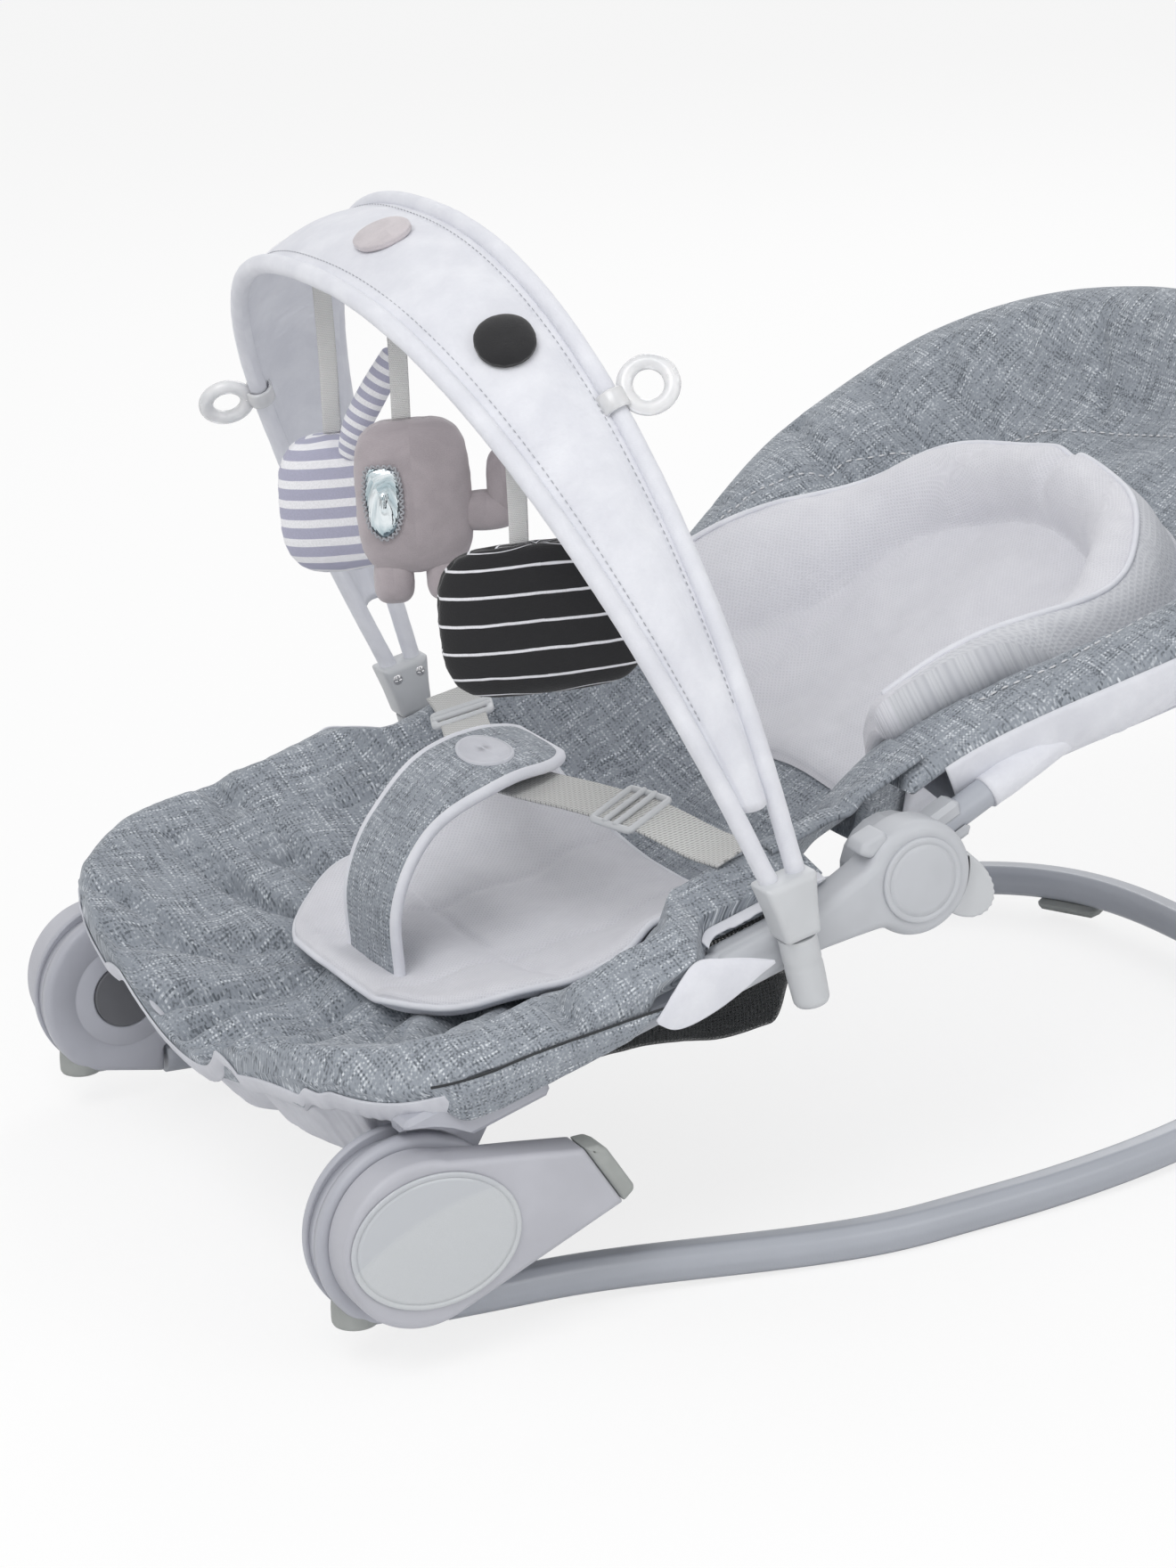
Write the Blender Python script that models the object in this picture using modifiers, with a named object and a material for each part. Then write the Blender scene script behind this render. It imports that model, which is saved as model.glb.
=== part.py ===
"""Baby bouncer: a rocking tube base, a hinged seat, a reclining back, a toy bar and three toys.

X runs across the bouncer (+X is the sitter's left), Y from the feet to the head, Z up.
All lengths are metres and all angles degrees unless a name says otherwise.
"""

import math

import bmesh
import bpy
import numpy as np
from mathutils import Matrix, Vector

# Clearances
FIT_GAP = 0.0003
TURN_GAP = 0.0006
CLOTH_GAP = 0.0008

# Hubs, measured across the bouncer from its middle plane and from the hub axis
SHELL_INNER_X = 0.2075
SHELL_THICKNESS = 0.028
SHELL_RADIUS = 0.058
SHELL_CENTRE_Y = 0.004
SHELL_WALL = 0.0027
SHELL_DROP_FRONT = 0.0475
SHELL_DROP_REAR = 0.0580
SLOT_X = 0.2165
SLOT_WIDTH = 0.011
SLOT_FROM_ANGLE = 11.0
SLOT_TO_ANGLE = 88.0
EYE_RADIUS = 0.042
BUTTON_BOSS_WALL = 0.0030
AXLE_BOSS_RADIUS = 0.0135
FIN_THICKNESS = 0.0239
FIN_RADIUS = 0.0492
FIN_CENTRE_Z = 0.003
FIN_WALL = 0.0025
FIN_OPENING_RADIUS = 0.040
FIN_TIP_SLANT = 32.6
FIN_TIP_REACH = 0.1145
FIN_SEAM_REACH = 0.1040
FIN_SEAM_LOW = -0.0640
FIN_SEAM_HIGH = -0.0202
FIN_TIP_RIM = 0.0006
BADGE_THICKNESS = 0.0020
BADGE_HALF_LENGTH = 0.0514
BADGE_HALF_HEIGHT = 0.0395
AXLE_RADIUS = 0.008
BUTTON_RADIUS = 0.021
BUTTON_DEPTH = 0.0055
BUTTON_PROUD = 0.001
BUTTON_TRAVEL = 0.003
FOOT_RADIUS = 0.0135
FOOT_HEIGHT = 0.022
FOOT_REACH = -0.0286
FOOT_DROP = 0.0512

# Rocking base: its underside is one long arc, with a flat under the empty bouncer's weight
ROCKER_RADIUS = 3.78
ROCKER_LOW_REACH = 0.200
ROCKER_LOW_DROP = 0.0653
BALANCE_REACH = 0.339
BALANCE_FLAT = 0.100
ROCKER_WIDTH = 0.0235
ROCKER_HEIGHT = 0.0215
ROCKER_WALL = 0.0018
ROCKER_START = 0.0268
ROCKER_SPIGOT = 0.034
BASE_NARROW_HALF = SHELL_INNER_X + SHELL_THICKNESS / 2 - 0.0015
BASE_HALF_WIDTH = 0.2628
BASE_REACH = 0.689
SPREAD_START = 0.085
BOW_START = 0.320
BOW_POWER = 3.0
REAR_PAD_X = 0.134
REAR_PAD_LENGTH = 0.048
REAR_PAD_WIDTH = 0.016
REAR_PAD_THICKNESS = 0.008

# Seat frame: a line along the side tubes, above the hub axis and rising to the rear
SEAT_LINE_RISE = 0.0587
SEAT_SLOPE = 16.43
SEAT_TUBE_RADIUS = 0.010
SEAT_TUBE_WALL = 0.0012
SEAT_TUBE_X = 0.2363
FOLD_RANGE = 14.0
HOLDER_X = 0.2240
HOLDER_THICKNESS = 0.0246
HOLDER_START = -0.002
HOLDER_END = 0.085
HOLDER_RISE = 0.014
HOLDER_DROP = 0.0125
HOLDER_CLEARANCE = 0.0625
HOLDER_STEP_CLEARANCE = 0.0680
TUBE_START = 0.036
ARM_X = 0.2240
ARM_THICKNESS = 0.0256
ARM_START = 0.2047
ARM_HALF_HEIGHT = 0.0125
ARM_BORE_DEPTH = 0.030
RECLINE_AT = 0.3367
HOUSING_RADIUS = 0.0345
CAP_RADIUS = 0.0255
CAP_THICKNESS = 0.0022
CROSS_BAR_AT = 0.104
CROSS_BAR_RADIUS = 0.006
CROSS_BAR_CLEARANCE = 0.004

# Backrest, along its own plane from the recline axis
BACK_ANGLE = 26.5
BACK_LENGTH = 0.487
BACK_HALF_WIDTH = 0.284
BACK_ROOT_HALF_WIDTH = 0.208
BACK_WIDEST = 0.30
BACK_TOP_POWER = 2.45
BACK_TUBE_RADIUS = 0.009
BACK_TUBE_WALL = 0.0012
BACK_TUBE_INSET = 0.020
KNUCKLE_RADIUS = 0.030
KNUCKLE_THICKNESS = 0.0176
KNUCKLE_REACH = 0.052
KNUCKLE_STUB_WIDTH = 0.025
BOLT_RADIUS = 0.006

# Release levers behind the recline housings
LEVER_TOP_ANGLE = 12.0
LEVER_BOTTOM_ANGLE = -50.0
LEVER_RADIUS = 0.060
LEVER_THICKNESS = 0.0155

# Toy bar
POST_AT = 0.2466
POST_TILT = 12.6
POST_X = 0.2617
POST_RADIUS = 0.0112
POST_LENGTH_DOWN = 0.030
POST_LENGTH_UP = 0.0125
SPIGOT_RADIUS = 0.0062
SPIGOT_LENGTH = 0.020
STUD_RADIUS = 0.0045
STUD_REACH = 0.003
CLAMP_HEIGHT = 0.0375
CLAMP_TOP_HALF = 0.0172
CLAMP_THICKNESS = 0.0235
HOOP_HALF_WIDTH = 0.2602
HOOP_POWER = 2.4
HOOP_RADIUS = 0.0058
HOOP_SOCKET = 0.012
FRONT_HOOP_LENGTH = 0.3565
FRONT_HOOP_LEAN = 13.0
FRONT_HOOP_OFFSET = -0.0088
REAR_HOOP_LENGTH = 0.360
REAR_HOOP_LEAN = 2.5
REAR_HOOP_OFFSET = 0.0088
BAND_THICKNESS = 0.0022
BAND_CROWN = 0.006
BAND_GAP = 0.0040

# Padding
PAD_THICKNESS = 0.022
SEAT_PAD_FRONT = -0.0432
SEAT_PAD_REAR = 0.2908
SEAT_PAD_INNER_HALF = 0.2215
SEAT_SLIM_START = 0.165
SKIRT_X = SEAT_TUBE_X + SEAT_TUBE_RADIUS + 0.0037
SEAT_PAD_HALF_WIDTH = SKIRT_X + 0.012
SKIRT_DROP = 0.018
SKIRT_START = 0.050
SKIRT_END = 0.140
SKIRT_RAMP = 0.024
SKIRT_SHARE = 0.86
SEAT_CORNER_START = 0.081
SEAT_CREST = 0.0371
SEAT_SAG_FRONT = 0.000
SEAT_SAG_REAR = 0.050
BACK_CREST = 0.0374
BACK_SAG_ROOT = 0.0416
BACK_SAG_TOP = 0.0076
CREASE_DEPTH = 0.006
LINER_HALF_WIDTH = 0.150
POUCH_FRONT = 0.131
POUCH_REAR = 0.274
LINER_FRONT = 0.053
LINER_REAR = 0.284
LINER_THICKNESS = 0.012
HEAD_CUSHION_START = 0.048
HEAD_CUSHION_END = 0.322
HEAD_CUSHION_HALF_WIDTH = 0.176
HEAD_ROLL_HEIGHT = 0.046
HEAD_ROLL_WIDTH = 0.058
HEAD_DISH_THICKNESS = 0.010

# Harness
CROTCH_STRAP_WIDTH = 0.070
TAB_WIDTH = 0.090
STRAP_THICKNESS = 0.009
WEBBING_WIDTH = 0.030
WEBBING_THICKNESS = 0.0022
SLIDER_LENGTH = 0.034
SLIDER_WIDTH = 0.041
SLIDER_THICKNESS = 0.005
SLIDER_WINDOW = 0.008

# Toys, each hung from the middle of the band
RIBBON_WIDTH = 0.011
RIBBON_THICKNESS = 0.0012
RIBBON_GAP = 0.0045
RIBBON_PINCH_LENGTH = 0.008
STRIPE_TOY_X = -0.085
MAUVE_TOY_X = 0.030
BLACK_TOY_X = 0.155
STRIPE_RIBBON = 0.122
MAUVE_RIBBON = 0.100
BLACK_RIBBON = 0.110
TOY_DEPTH = 0.036
STRIPE_TOY_HALF_WIDTH = 0.037
STRIPE_TOY_HALF_HEIGHT = 0.043
MAUVE_TOY_HALF_WIDTH = 0.034
MAUVE_TOY_HALF_HEIGHT = 0.046
BLACK_TOY_HALF_WIDTH = 0.060
BLACK_TOY_HALF_HEIGHT = 0.044
TAIL_RADIUS = 0.0085
DISC_RADIUS = 0.017
DISC_THICKNESS = 0.009
NEAR_RING_ANGLE = 0.80
FAR_RING_ANGLE = 0.62
RING_RADIUS = 0.0133
RING_SECTION = 0.0046
RING_COLLAR_LENGTH = 0.012
RING_COLLAR_WALL = 0.0020

ROUND_SIDES = 20
SMALL_SIDES = 12

# Where the chain of sizes puts each layer
SHELL_OUTER_X = SHELL_INNER_X + SHELL_THICKNESS
FIN_X = SHELL_OUTER_X + TURN_GAP
FIN_OUTER_X = FIN_X + FIN_THICKNESS
EYE_X = SLOT_X + TURN_GAP
EYE_OUTER_X = SLOT_X + SLOT_WIDTH - TURN_GAP
HOLDER_OUTER_X = HOLDER_X + HOLDER_THICKNESS
AXLE_END_X = FIN_OUTER_X - FIN_WALL - FIT_GAP
BUTTON_FLOOR_X = SHELL_INNER_X - BUTTON_PROUD + BUTTON_DEPTH + BUTTON_TRAVEL + FIT_GAP
ARM_OUTER_X = ARM_X + ARM_THICKNESS
BOLT_END_X = ARM_OUTER_X - CAP_THICKNESS - FIT_GAP
KNUCKLE_X = ARM_X - TURN_GAP - KNUCKLE_THICKNESS
BACK_TUBE_X = KNUCKLE_X + KNUCKLE_THICKNESS / 2


def rocker_bottom(reach):
    """Height over the hub axis of the rocker's underside, one long arc."""
    return (reach - ROCKER_LOW_REACH) ** 2 / (2 * ROCKER_RADIUS) - ROCKER_LOW_DROP


def seat_line_point(along, off=0.0):
    """A point on or over the seat line, as (rearward, upward) from the hub axis."""
    slope = math.radians(SEAT_SLOPE)
    rearward = along * math.cos(slope) - off * math.sin(slope)
    return rearward, SEAT_LINE_RISE + along * math.sin(slope) + off * math.cos(slope)


# The empty bouncer leans back until the flat of its rockers lies on the floor
REST_LEAN = math.degrees(math.atan((BALANCE_REACH - ROCKER_LOW_REACH) / ROCKER_RADIUS))
LEAN_COS, LEAN_SIN = math.cos(math.radians(REST_LEAN)), math.sin(math.radians(REST_LEAN))
FLAT_CENTRE = BALANCE_REACH + BALANCE_FLAT / 2
HUB_HEIGHT = (
    FLAT_CENTRE * LEAN_SIN
    - (rocker_bottom(FLAT_CENTRE) + ROCKER_HEIGHT / 2) * LEAN_COS
    + ROCKER_HEIGHT / 2
)
RECLINE_Y, RECLINE_Z = seat_line_point(RECLINE_AT)
BACK_SLOPE = math.radians(BACK_ANGLE)
CROWN_REACH = RECLINE_Y + BACK_LENGTH * math.cos(BACK_SLOPE)
CROWN_RISE = RECLINE_Z + BACK_LENGTH * math.sin(BACK_SLOPE)
REAR_REACH = CROWN_REACH * LEAN_COS + CROWN_RISE * LEAN_SIN
HUB_Y = -(REAR_REACH - (SHELL_RADIUS - SHELL_CENTRE_Y)) / 2

FINISHES = {
    "frame_grey": ((0.40, 0.41, 0.47), 0.38, 0.0),
    "shell_grey": ((0.50, 0.51, 0.57), 0.42, 0.0),
    "arm_grey": ((0.53, 0.54, 0.56), 0.45, 0.0),
    "light_grey": ((0.62, 0.63, 0.64), 0.45, 0.0),
    "badge_silver": ((0.62, 0.65, 0.66), 0.25, 0.0),
    "soft_rubber": ((0.30, 0.32, 0.32), 0.80, 0.0),
    "dark_plastic": ((0.13, 0.13, 0.14), 0.50, 0.0),
    "steel": ((0.60, 0.60, 0.60), 0.25, 1.0),
    "melange": ((0.25, 0.27, 0.30), 0.90, 0.0),
    "pale_cloth": ((0.72, 0.73, 0.78), 0.85, 0.0),
    "mesh_cloth": ((0.78, 0.79, 0.82), 0.90, 0.0),
    "black_mesh": ((0.015, 0.015, 0.018), 0.80, 0.0),
    "webbing": ((0.55, 0.55, 0.52), 0.80, 0.0),
    "stripe_cloth": ((0.62, 0.62, 0.72), 0.85, 0.0),
    "mauve_cloth": ((0.50, 0.44, 0.46), 0.85, 0.0),
    "black_cloth": ((0.012, 0.012, 0.014), 0.80, 0.0),
    "mirror_foil": ((0.80, 0.84, 0.86), 0.08, 1.0),
    "clear_plastic": ((0.85, 0.85, 0.86), 0.20, 0.0),
}


def clear_scene():
    for obj in list(bpy.data.objects):
        bpy.data.objects.remove(obj, do_unlink=True)


def new_collection(name):
    collection = bpy.data.collections.new(name)
    bpy.context.scene.collection.children.link(collection)
    return collection


def material(name):
    """The Principled material of one finish, made on first use."""
    if name in bpy.data.materials:
        return bpy.data.materials[name]
    colour, roughness, metallic = FINISHES[name]
    made = bpy.data.materials.new(name)
    made.use_nodes = True
    shader = made.node_tree.nodes["Principled BSDF"]
    shader.inputs["Base Color"].default_value = (*colour, 1.0)
    shader.inputs["Roughness"].default_value = roughness
    shader.inputs["Metallic"].default_value = metallic
    return made


def pivot(name, place, tilt=0.0, turn=0.0, parent=None):
    """An empty on a joint's axis, tilted about X and turned about Z, that its pieces hang from."""
    empty = bpy.data.objects.new(name, None)
    empty.empty_display_size = 0.03
    empty.location = place
    empty.rotation_euler = (math.radians(tilt), 0.0, math.radians(turn))
    empty.parent = parent
    PARTS.objects.link(empty)
    return empty


def piece(name, mesh, finish, parent):
    """Adds a mesh, written in its pivot's own frame, as one named piece."""
    mesh.name = name
    mesh.materials.clear()
    mesh.materials.append(material(finish))
    obj = bpy.data.objects.new(name, mesh)
    obj.parent = parent
    PARTS.objects.link(obj)
    mesh.shade_smooth()
    mesh.set_sharp_from_angle(angle=math.radians(35))
    return obj


def both_sides(name, mesh, finish, parent):
    """A left piece and its mirror image on the right."""
    left = piece(f"{name}_left", mesh, finish, parent)
    right = piece(f"{name}_right", mirrored(mesh), finish, parent)
    return left, right


def mirrored(mesh):
    bm = bmesh.new()
    bm.from_mesh(mesh)
    bm.transform(Matrix.Diagonal((-1, 1, 1, 1)))
    bmesh.ops.reverse_faces(bm, faces=bm.faces)
    return taken(bm)


def taken(bm):
    """The mesh of a bmesh, which is freed."""
    mesh = bpy.data.meshes.new("shape")
    bm.to_mesh(mesh)
    bm.free()
    return mesh


def face_out(bm):
    """Turns the faces of a closed shape outwards."""
    bmesh.ops.recalc_face_normals(bm, faces=bm.faces)
    if bm.calc_volume(signed=True) < 0:
        bmesh.ops.reverse_faces(bm, faces=bm.faces)


def moved(mesh, matrix):
    mesh.transform(matrix)
    return mesh


def combine(mesh, operation, *others):
    """The mesh with others cut out of it (DIFFERENCE) or grown onto it (UNION)."""
    body = bpy.data.objects.new("body", mesh)
    TOOLS.objects.link(body)
    body.hide_render = True
    body.display_type = "WIRE"
    for other in others:
        tool = bpy.data.objects.new("cutter", other)
        TOOLS.objects.link(tool)
        tool.hide_render = True
        tool.display_type = "WIRE"
        step = body.modifiers.new(operation.lower(), "BOOLEAN")
        step.operation = operation
        step.solver = "EXACT"
        step.object = tool
    bpy.context.view_layer.update()
    return evaluated(body)


def evaluated(obj):
    graph = bpy.context.evaluated_depsgraph_get()
    return bpy.data.meshes.new_from_object(obj.evaluated_get(graph))


def cut(mesh, *cutters):
    return combine(mesh, "DIFFERENCE", *cutters)


def fuse(mesh, *others):
    return combine(mesh, "UNION", *others)


def curve_mesh(curve, turn=None):
    """The welded mesh of a curve, placed by an optional matrix."""
    obj = bpy.data.objects.new("guide", curve)
    TOOLS.objects.link(obj)
    if curve.bevel_mode == "OBJECT" or curve.dimensions == "3D":
        obj.data.use_fill_caps = True
    bpy.context.view_layer.update()
    mesh = evaluated(obj)
    bpy.data.objects.remove(obj)
    bm = bmesh.new()
    bm.from_mesh(mesh)
    bmesh.ops.remove_doubles(bm, verts=bm.verts, dist=1e-6)
    if turn:
        bm.transform(turn)
    face_out(bm)
    return taken(bm)


SIDEWAYS = Matrix.Rotation(math.pi / 2, 4, "Z") @ Matrix.Rotation(math.pi / 2, 4, "X")


def plate(outline, x_from, x_to, rounding=0.0, segments=1):
    """A flat plate: an outline of (y, z) points, thick along X, with its rims rounded."""
    curve = bpy.data.curves.new("outline", "CURVE")
    curve.dimensions = "2D"
    curve.fill_mode = "BOTH"
    curve.extrude = (x_to - x_from) / 2
    spline = curve.splines.new("POLY")
    spline.points.add(len(outline) - 1)
    for point, (y, z) in zip(spline.points, outline):
        point.co = (y, z, 0.0, 1.0)
    spline.use_cyclic_u = True
    middle = Matrix.Translation(((x_from + x_to) / 2, 0, 0))
    mesh = curve_mesh(curve, middle @ SIDEWAYS)
    return rounded(mesh, rounding, segments) if rounding else mesh


def rounded(mesh, width, segments=1, steepest=50.0):
    """Bevels every edge that turns more than the given angle."""
    bm = bmesh.new()
    bm.from_mesh(mesh)
    bmesh.ops.dissolve_limit(
        bm, angle_limit=math.radians(0.5), verts=bm.verts, edges=bm.edges
    )
    sharp = [
        edge
        for edge in bm.edges
        if len(edge.link_faces) == 2 and edge.calc_face_angle() > math.radians(steepest)
    ]
    bmesh.ops.bevel(
        bm,
        geom=sharp,
        offset=width,
        segments=segments,
        profile=0.6,
        affect="EDGES",
        clamp_overlap=True,
    )
    face_out(bm)
    return taken(bm)


def disc(y, z, radius, x_from, x_to, sides=ROUND_SIDES, rounding=0.0):
    """A round plate or pin that lies along X."""
    return rod((x_from, y, z), (x_to, y, z), radius, sides, rounding)


def rod(start, end, radius, sides=SMALL_SIDES, rounding=0.0, end_radius=None):
    """A round bar between two points, tapering to end_radius if that is given."""
    start, end = Vector(start), Vector(end)
    along = end - start
    turn = Vector((0, 0, 1)).rotation_difference(along).to_matrix().to_4x4()
    bm = bmesh.new()
    bmesh.ops.create_cone(
        bm,
        cap_ends=True,
        segments=sides,
        radius1=radius,
        radius2=radius if end_radius is None else end_radius,
        depth=along.length,
        matrix=Matrix.Translation((start + end) / 2) @ turn,
    )
    mesh = taken(bm)
    return rounded(mesh, rounding) if rounding else mesh


def block(centre, size, rounding=0.0, turn=None):
    """A rounded block of the given full sizes."""
    bm = bmesh.new()
    bmesh.ops.create_cube(bm, size=1.0)
    bm.transform(Matrix.Diagonal((*size, 1.0)))
    mesh = taken(bm)
    if rounding:
        mesh = rounded(mesh, rounding)
    return moved(mesh, Matrix.Translation(centre) @ (turn or Matrix.Identity(4)))


def polyline(points):
    curve = bpy.data.curves.new("run", "CURVE")
    curve.dimensions = "3D"
    spline = curve.splines.new("POLY")
    spline.points.add(len(points) - 1)
    for point, place in zip(spline.points, points):
        point.co = (*place, 1.0)
    return curve


def pipe(points, radius, sides=8):
    """A solid round bar along a run of points, with flat ends."""
    curve = polyline(points)
    curve.bevel_depth = radius
    curve.bevel_resolution = (sides - 4) // 2
    curve.use_fill_caps = True
    return curve_mesh(curve)


def arc(centre, radius, from_degrees, to_degrees, steps):
    """Points on a circle, as (y, z), both ends included."""
    angles = np.radians(np.linspace(from_degrees, to_degrees, steps + 1))
    return [(centre[0] + radius * math.cos(a), centre[1] + radius * math.sin(a)) for a in angles]


def smooth_step(value):
    """0 below 0, 1 above 1, and a smooth rise between."""
    value = min(max(value, 0.0), 1.0)
    return value * value * (3 - 2 * value)


def power_arc(value, power):
    """The height of the superellipse |x|^p + |y|^p = 1 at x = value."""
    return (1 - min(abs(value), 1.0) ** power) ** (1 / power)


def padded(columns, rows, top, under):
    """A closed pad between two surfaces of the same (across, along), each from -1 to 1."""
    bm = bmesh.new()
    layers = []
    for surface in (top, under):
        made = bmesh.ops.create_grid(bm, x_segments=columns, y_segments=rows, size=1.0)
        for vert in made["verts"]:
            vert.co = surface(vert.co.x, vert.co.y)
        layers.append(made["verts"])
    below = dict(zip(*layers))
    rim = [edge.verts[:] for edge in bm.edges if edge.is_boundary and edge.verts[0] in below]
    for first, second in rim:
        bm.faces.new((first, second, below[second], below[first]))
    face_out(bm)
    return taken(bm)


def sheet(columns, rows, surface, thickness):
    """A skin of even thickness, half to each side of a surface of (across, along)."""
    step = 1e-4

    def offset(across, along, distance):
        here = Vector(surface(across, along))
        side = Vector(surface(across + step, along)) - Vector(surface(across - step, along))
        run = Vector(surface(across, along + step)) - Vector(surface(across, along - step))
        return here + side.cross(run).normalized() * distance

    return padded(
        columns,
        rows,
        lambda a, b: offset(a, b, thickness / 2),
        lambda a, b: offset(a, b, -thickness / 2),
    )


def stuffed(centre, half_sizes, fullness=2.6, columns=12, rows=8):
    """A sewn, filled shape: a ball squared off by its fullness and sized along each axis."""
    bm = bmesh.new()
    bmesh.ops.create_uvsphere(bm, u_segments=columns, v_segments=rows, radius=1.0)
    for vert in bm.verts:
        spread = sum(abs(value) ** fullness for value in vert.co) ** (1 / fullness)
        vert.co = Vector(
            centre[axis] + half_sizes[axis] * vert.co[axis] / spread for axis in range(3)
        )
    return taken(bm)


def rocker_half_width(reach):
    """Half width of the rocker's middle line: narrow by the hubs, spreading, then the rear bow."""
    if reach < BOW_START:
        spread = smooth_step((reach - SPREAD_START) / (BOW_START - SPREAD_START))
        return BASE_NARROW_HALF + (BASE_HALF_WIDTH - BASE_NARROW_HALF) * spread
    return BASE_HALF_WIDTH * power_arc((reach - BOW_START) / (BASE_REACH - BOW_START), BOW_POWER)


def rocker_point(reach, side=1):
    return side * rocker_half_width(reach), reach, rocker_bottom(reach) + ROCKER_HEIGHT / 2


def rocker_run():
    """The middle line of the U-shaped rocker, from the left hub round the rear to the right."""
    flat_start, flat_end = BALANCE_REACH - BALANCE_FLAT / 2, BALANCE_REACH + BALANCE_FLAT / 2
    reaches = list(np.linspace(ROCKER_START, flat_start, 6)) + [flat_end]
    reaches += [
        BOW_START + (BASE_REACH - BOW_START) * math.sin(angle) ** (2 / BOW_POWER)
        for angle in np.linspace(0, math.pi / 2, 10)
    ]
    left = [rocker_point(reach) for reach in reaches if not flat_start < reach < flat_end]
    right = [(-x, y, z) for x, y, z in reversed(left[:-1])]
    return left + right


def rocker_section(grow=0.0):
    """The rocker's section: upright sides with a ridge, a crowned top and a flat underside."""
    half_width, half_height = ROCKER_WIDTH / 2 + grow, ROCKER_HEIGHT / 2 + grow
    flat, shoulder = 0.45 * half_width, 0.62 * half_height
    right = [
        (flat, -half_height),
        (0.86 * half_width, -shoulder),
        (half_width, 0.0),
        (0.86 * half_width, shoulder),
        (flat, half_height),
    ]
    return right + [(-x, y) for x, y in reversed(right)]


def rocker_sweep(points, grow=0.0, wall=0.0):
    """The rocker's section carried along a run, upright all the way."""
    profile = bpy.data.curves.new("rocker_section", "CURVE")
    profile.dimensions = "2D"
    spline = profile.splines.new("POLY")
    section = rocker_section(grow)[::-1]
    spline.points.add(len(section) - 1)
    for point, (x, y) in zip(spline.points, section):
        point.co = (x, y, 0.0, 1.0)
    spline.use_cyclic_u = True
    guide = bpy.data.objects.new("rocker_section", profile)
    TOOLS.objects.link(guide)
    guide.hide_render = True
    guide.display_type = "WIRE"
    curve = polyline(points)
    curve.twist_mode = "Z_UP"
    curve.bevel_mode = "OBJECT"
    curve.bevel_object = guide
    return hollowed(curve, wall) if wall else curve_mesh(curve)


def hollowed(curve, wall):
    """A tube open at both ends, its wall grown inwards from the curve's skin."""
    obj = bpy.data.objects.new("guide", curve)
    TOOLS.objects.link(obj)
    curve.use_fill_caps = False
    shell = obj.modifiers.new("wall", "SOLIDIFY")
    shell.thickness = wall
    shell.offset = -1.0
    shell.use_even_offset = True
    bpy.context.view_layer.update()
    mesh = evaluated(obj)
    bpy.data.objects.remove(obj)
    bm = bmesh.new()
    bm.from_mesh(mesh)
    face_out(bm)
    return taken(bm)


def hollow_pipe(points, radius, wall, sides=10):
    curve = polyline(points)
    curve.bevel_depth = radius
    curve.bevel_resolution = (sides - 4) // 2
    return hollowed(curve, wall)


def shell_outline(inset=0.0):
    """The hub shell seen from the side, or that outline drawn in by its wall."""
    centre, radius = (SHELL_CENTRE_Y, 0.0), SHELL_RADIUS - inset
    rear_drop = -rocker_bottom(ROCKER_START) - ROCKER_HEIGHT - CLOTH_GAP - inset
    front_drop = SHELL_DROP_FRONT - inset
    rear_angle = math.degrees(math.asin(-rear_drop / radius))
    front_angle = 180.0 + math.degrees(math.asin(front_drop / radius))
    corner = ROCKER_START - 3 * CLOTH_GAP - inset
    return arc(centre, radius, rear_angle, front_angle, 18) + [
        (corner, inset - SHELL_DROP_REAR),
        (corner, -rear_drop),
    ]


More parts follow.
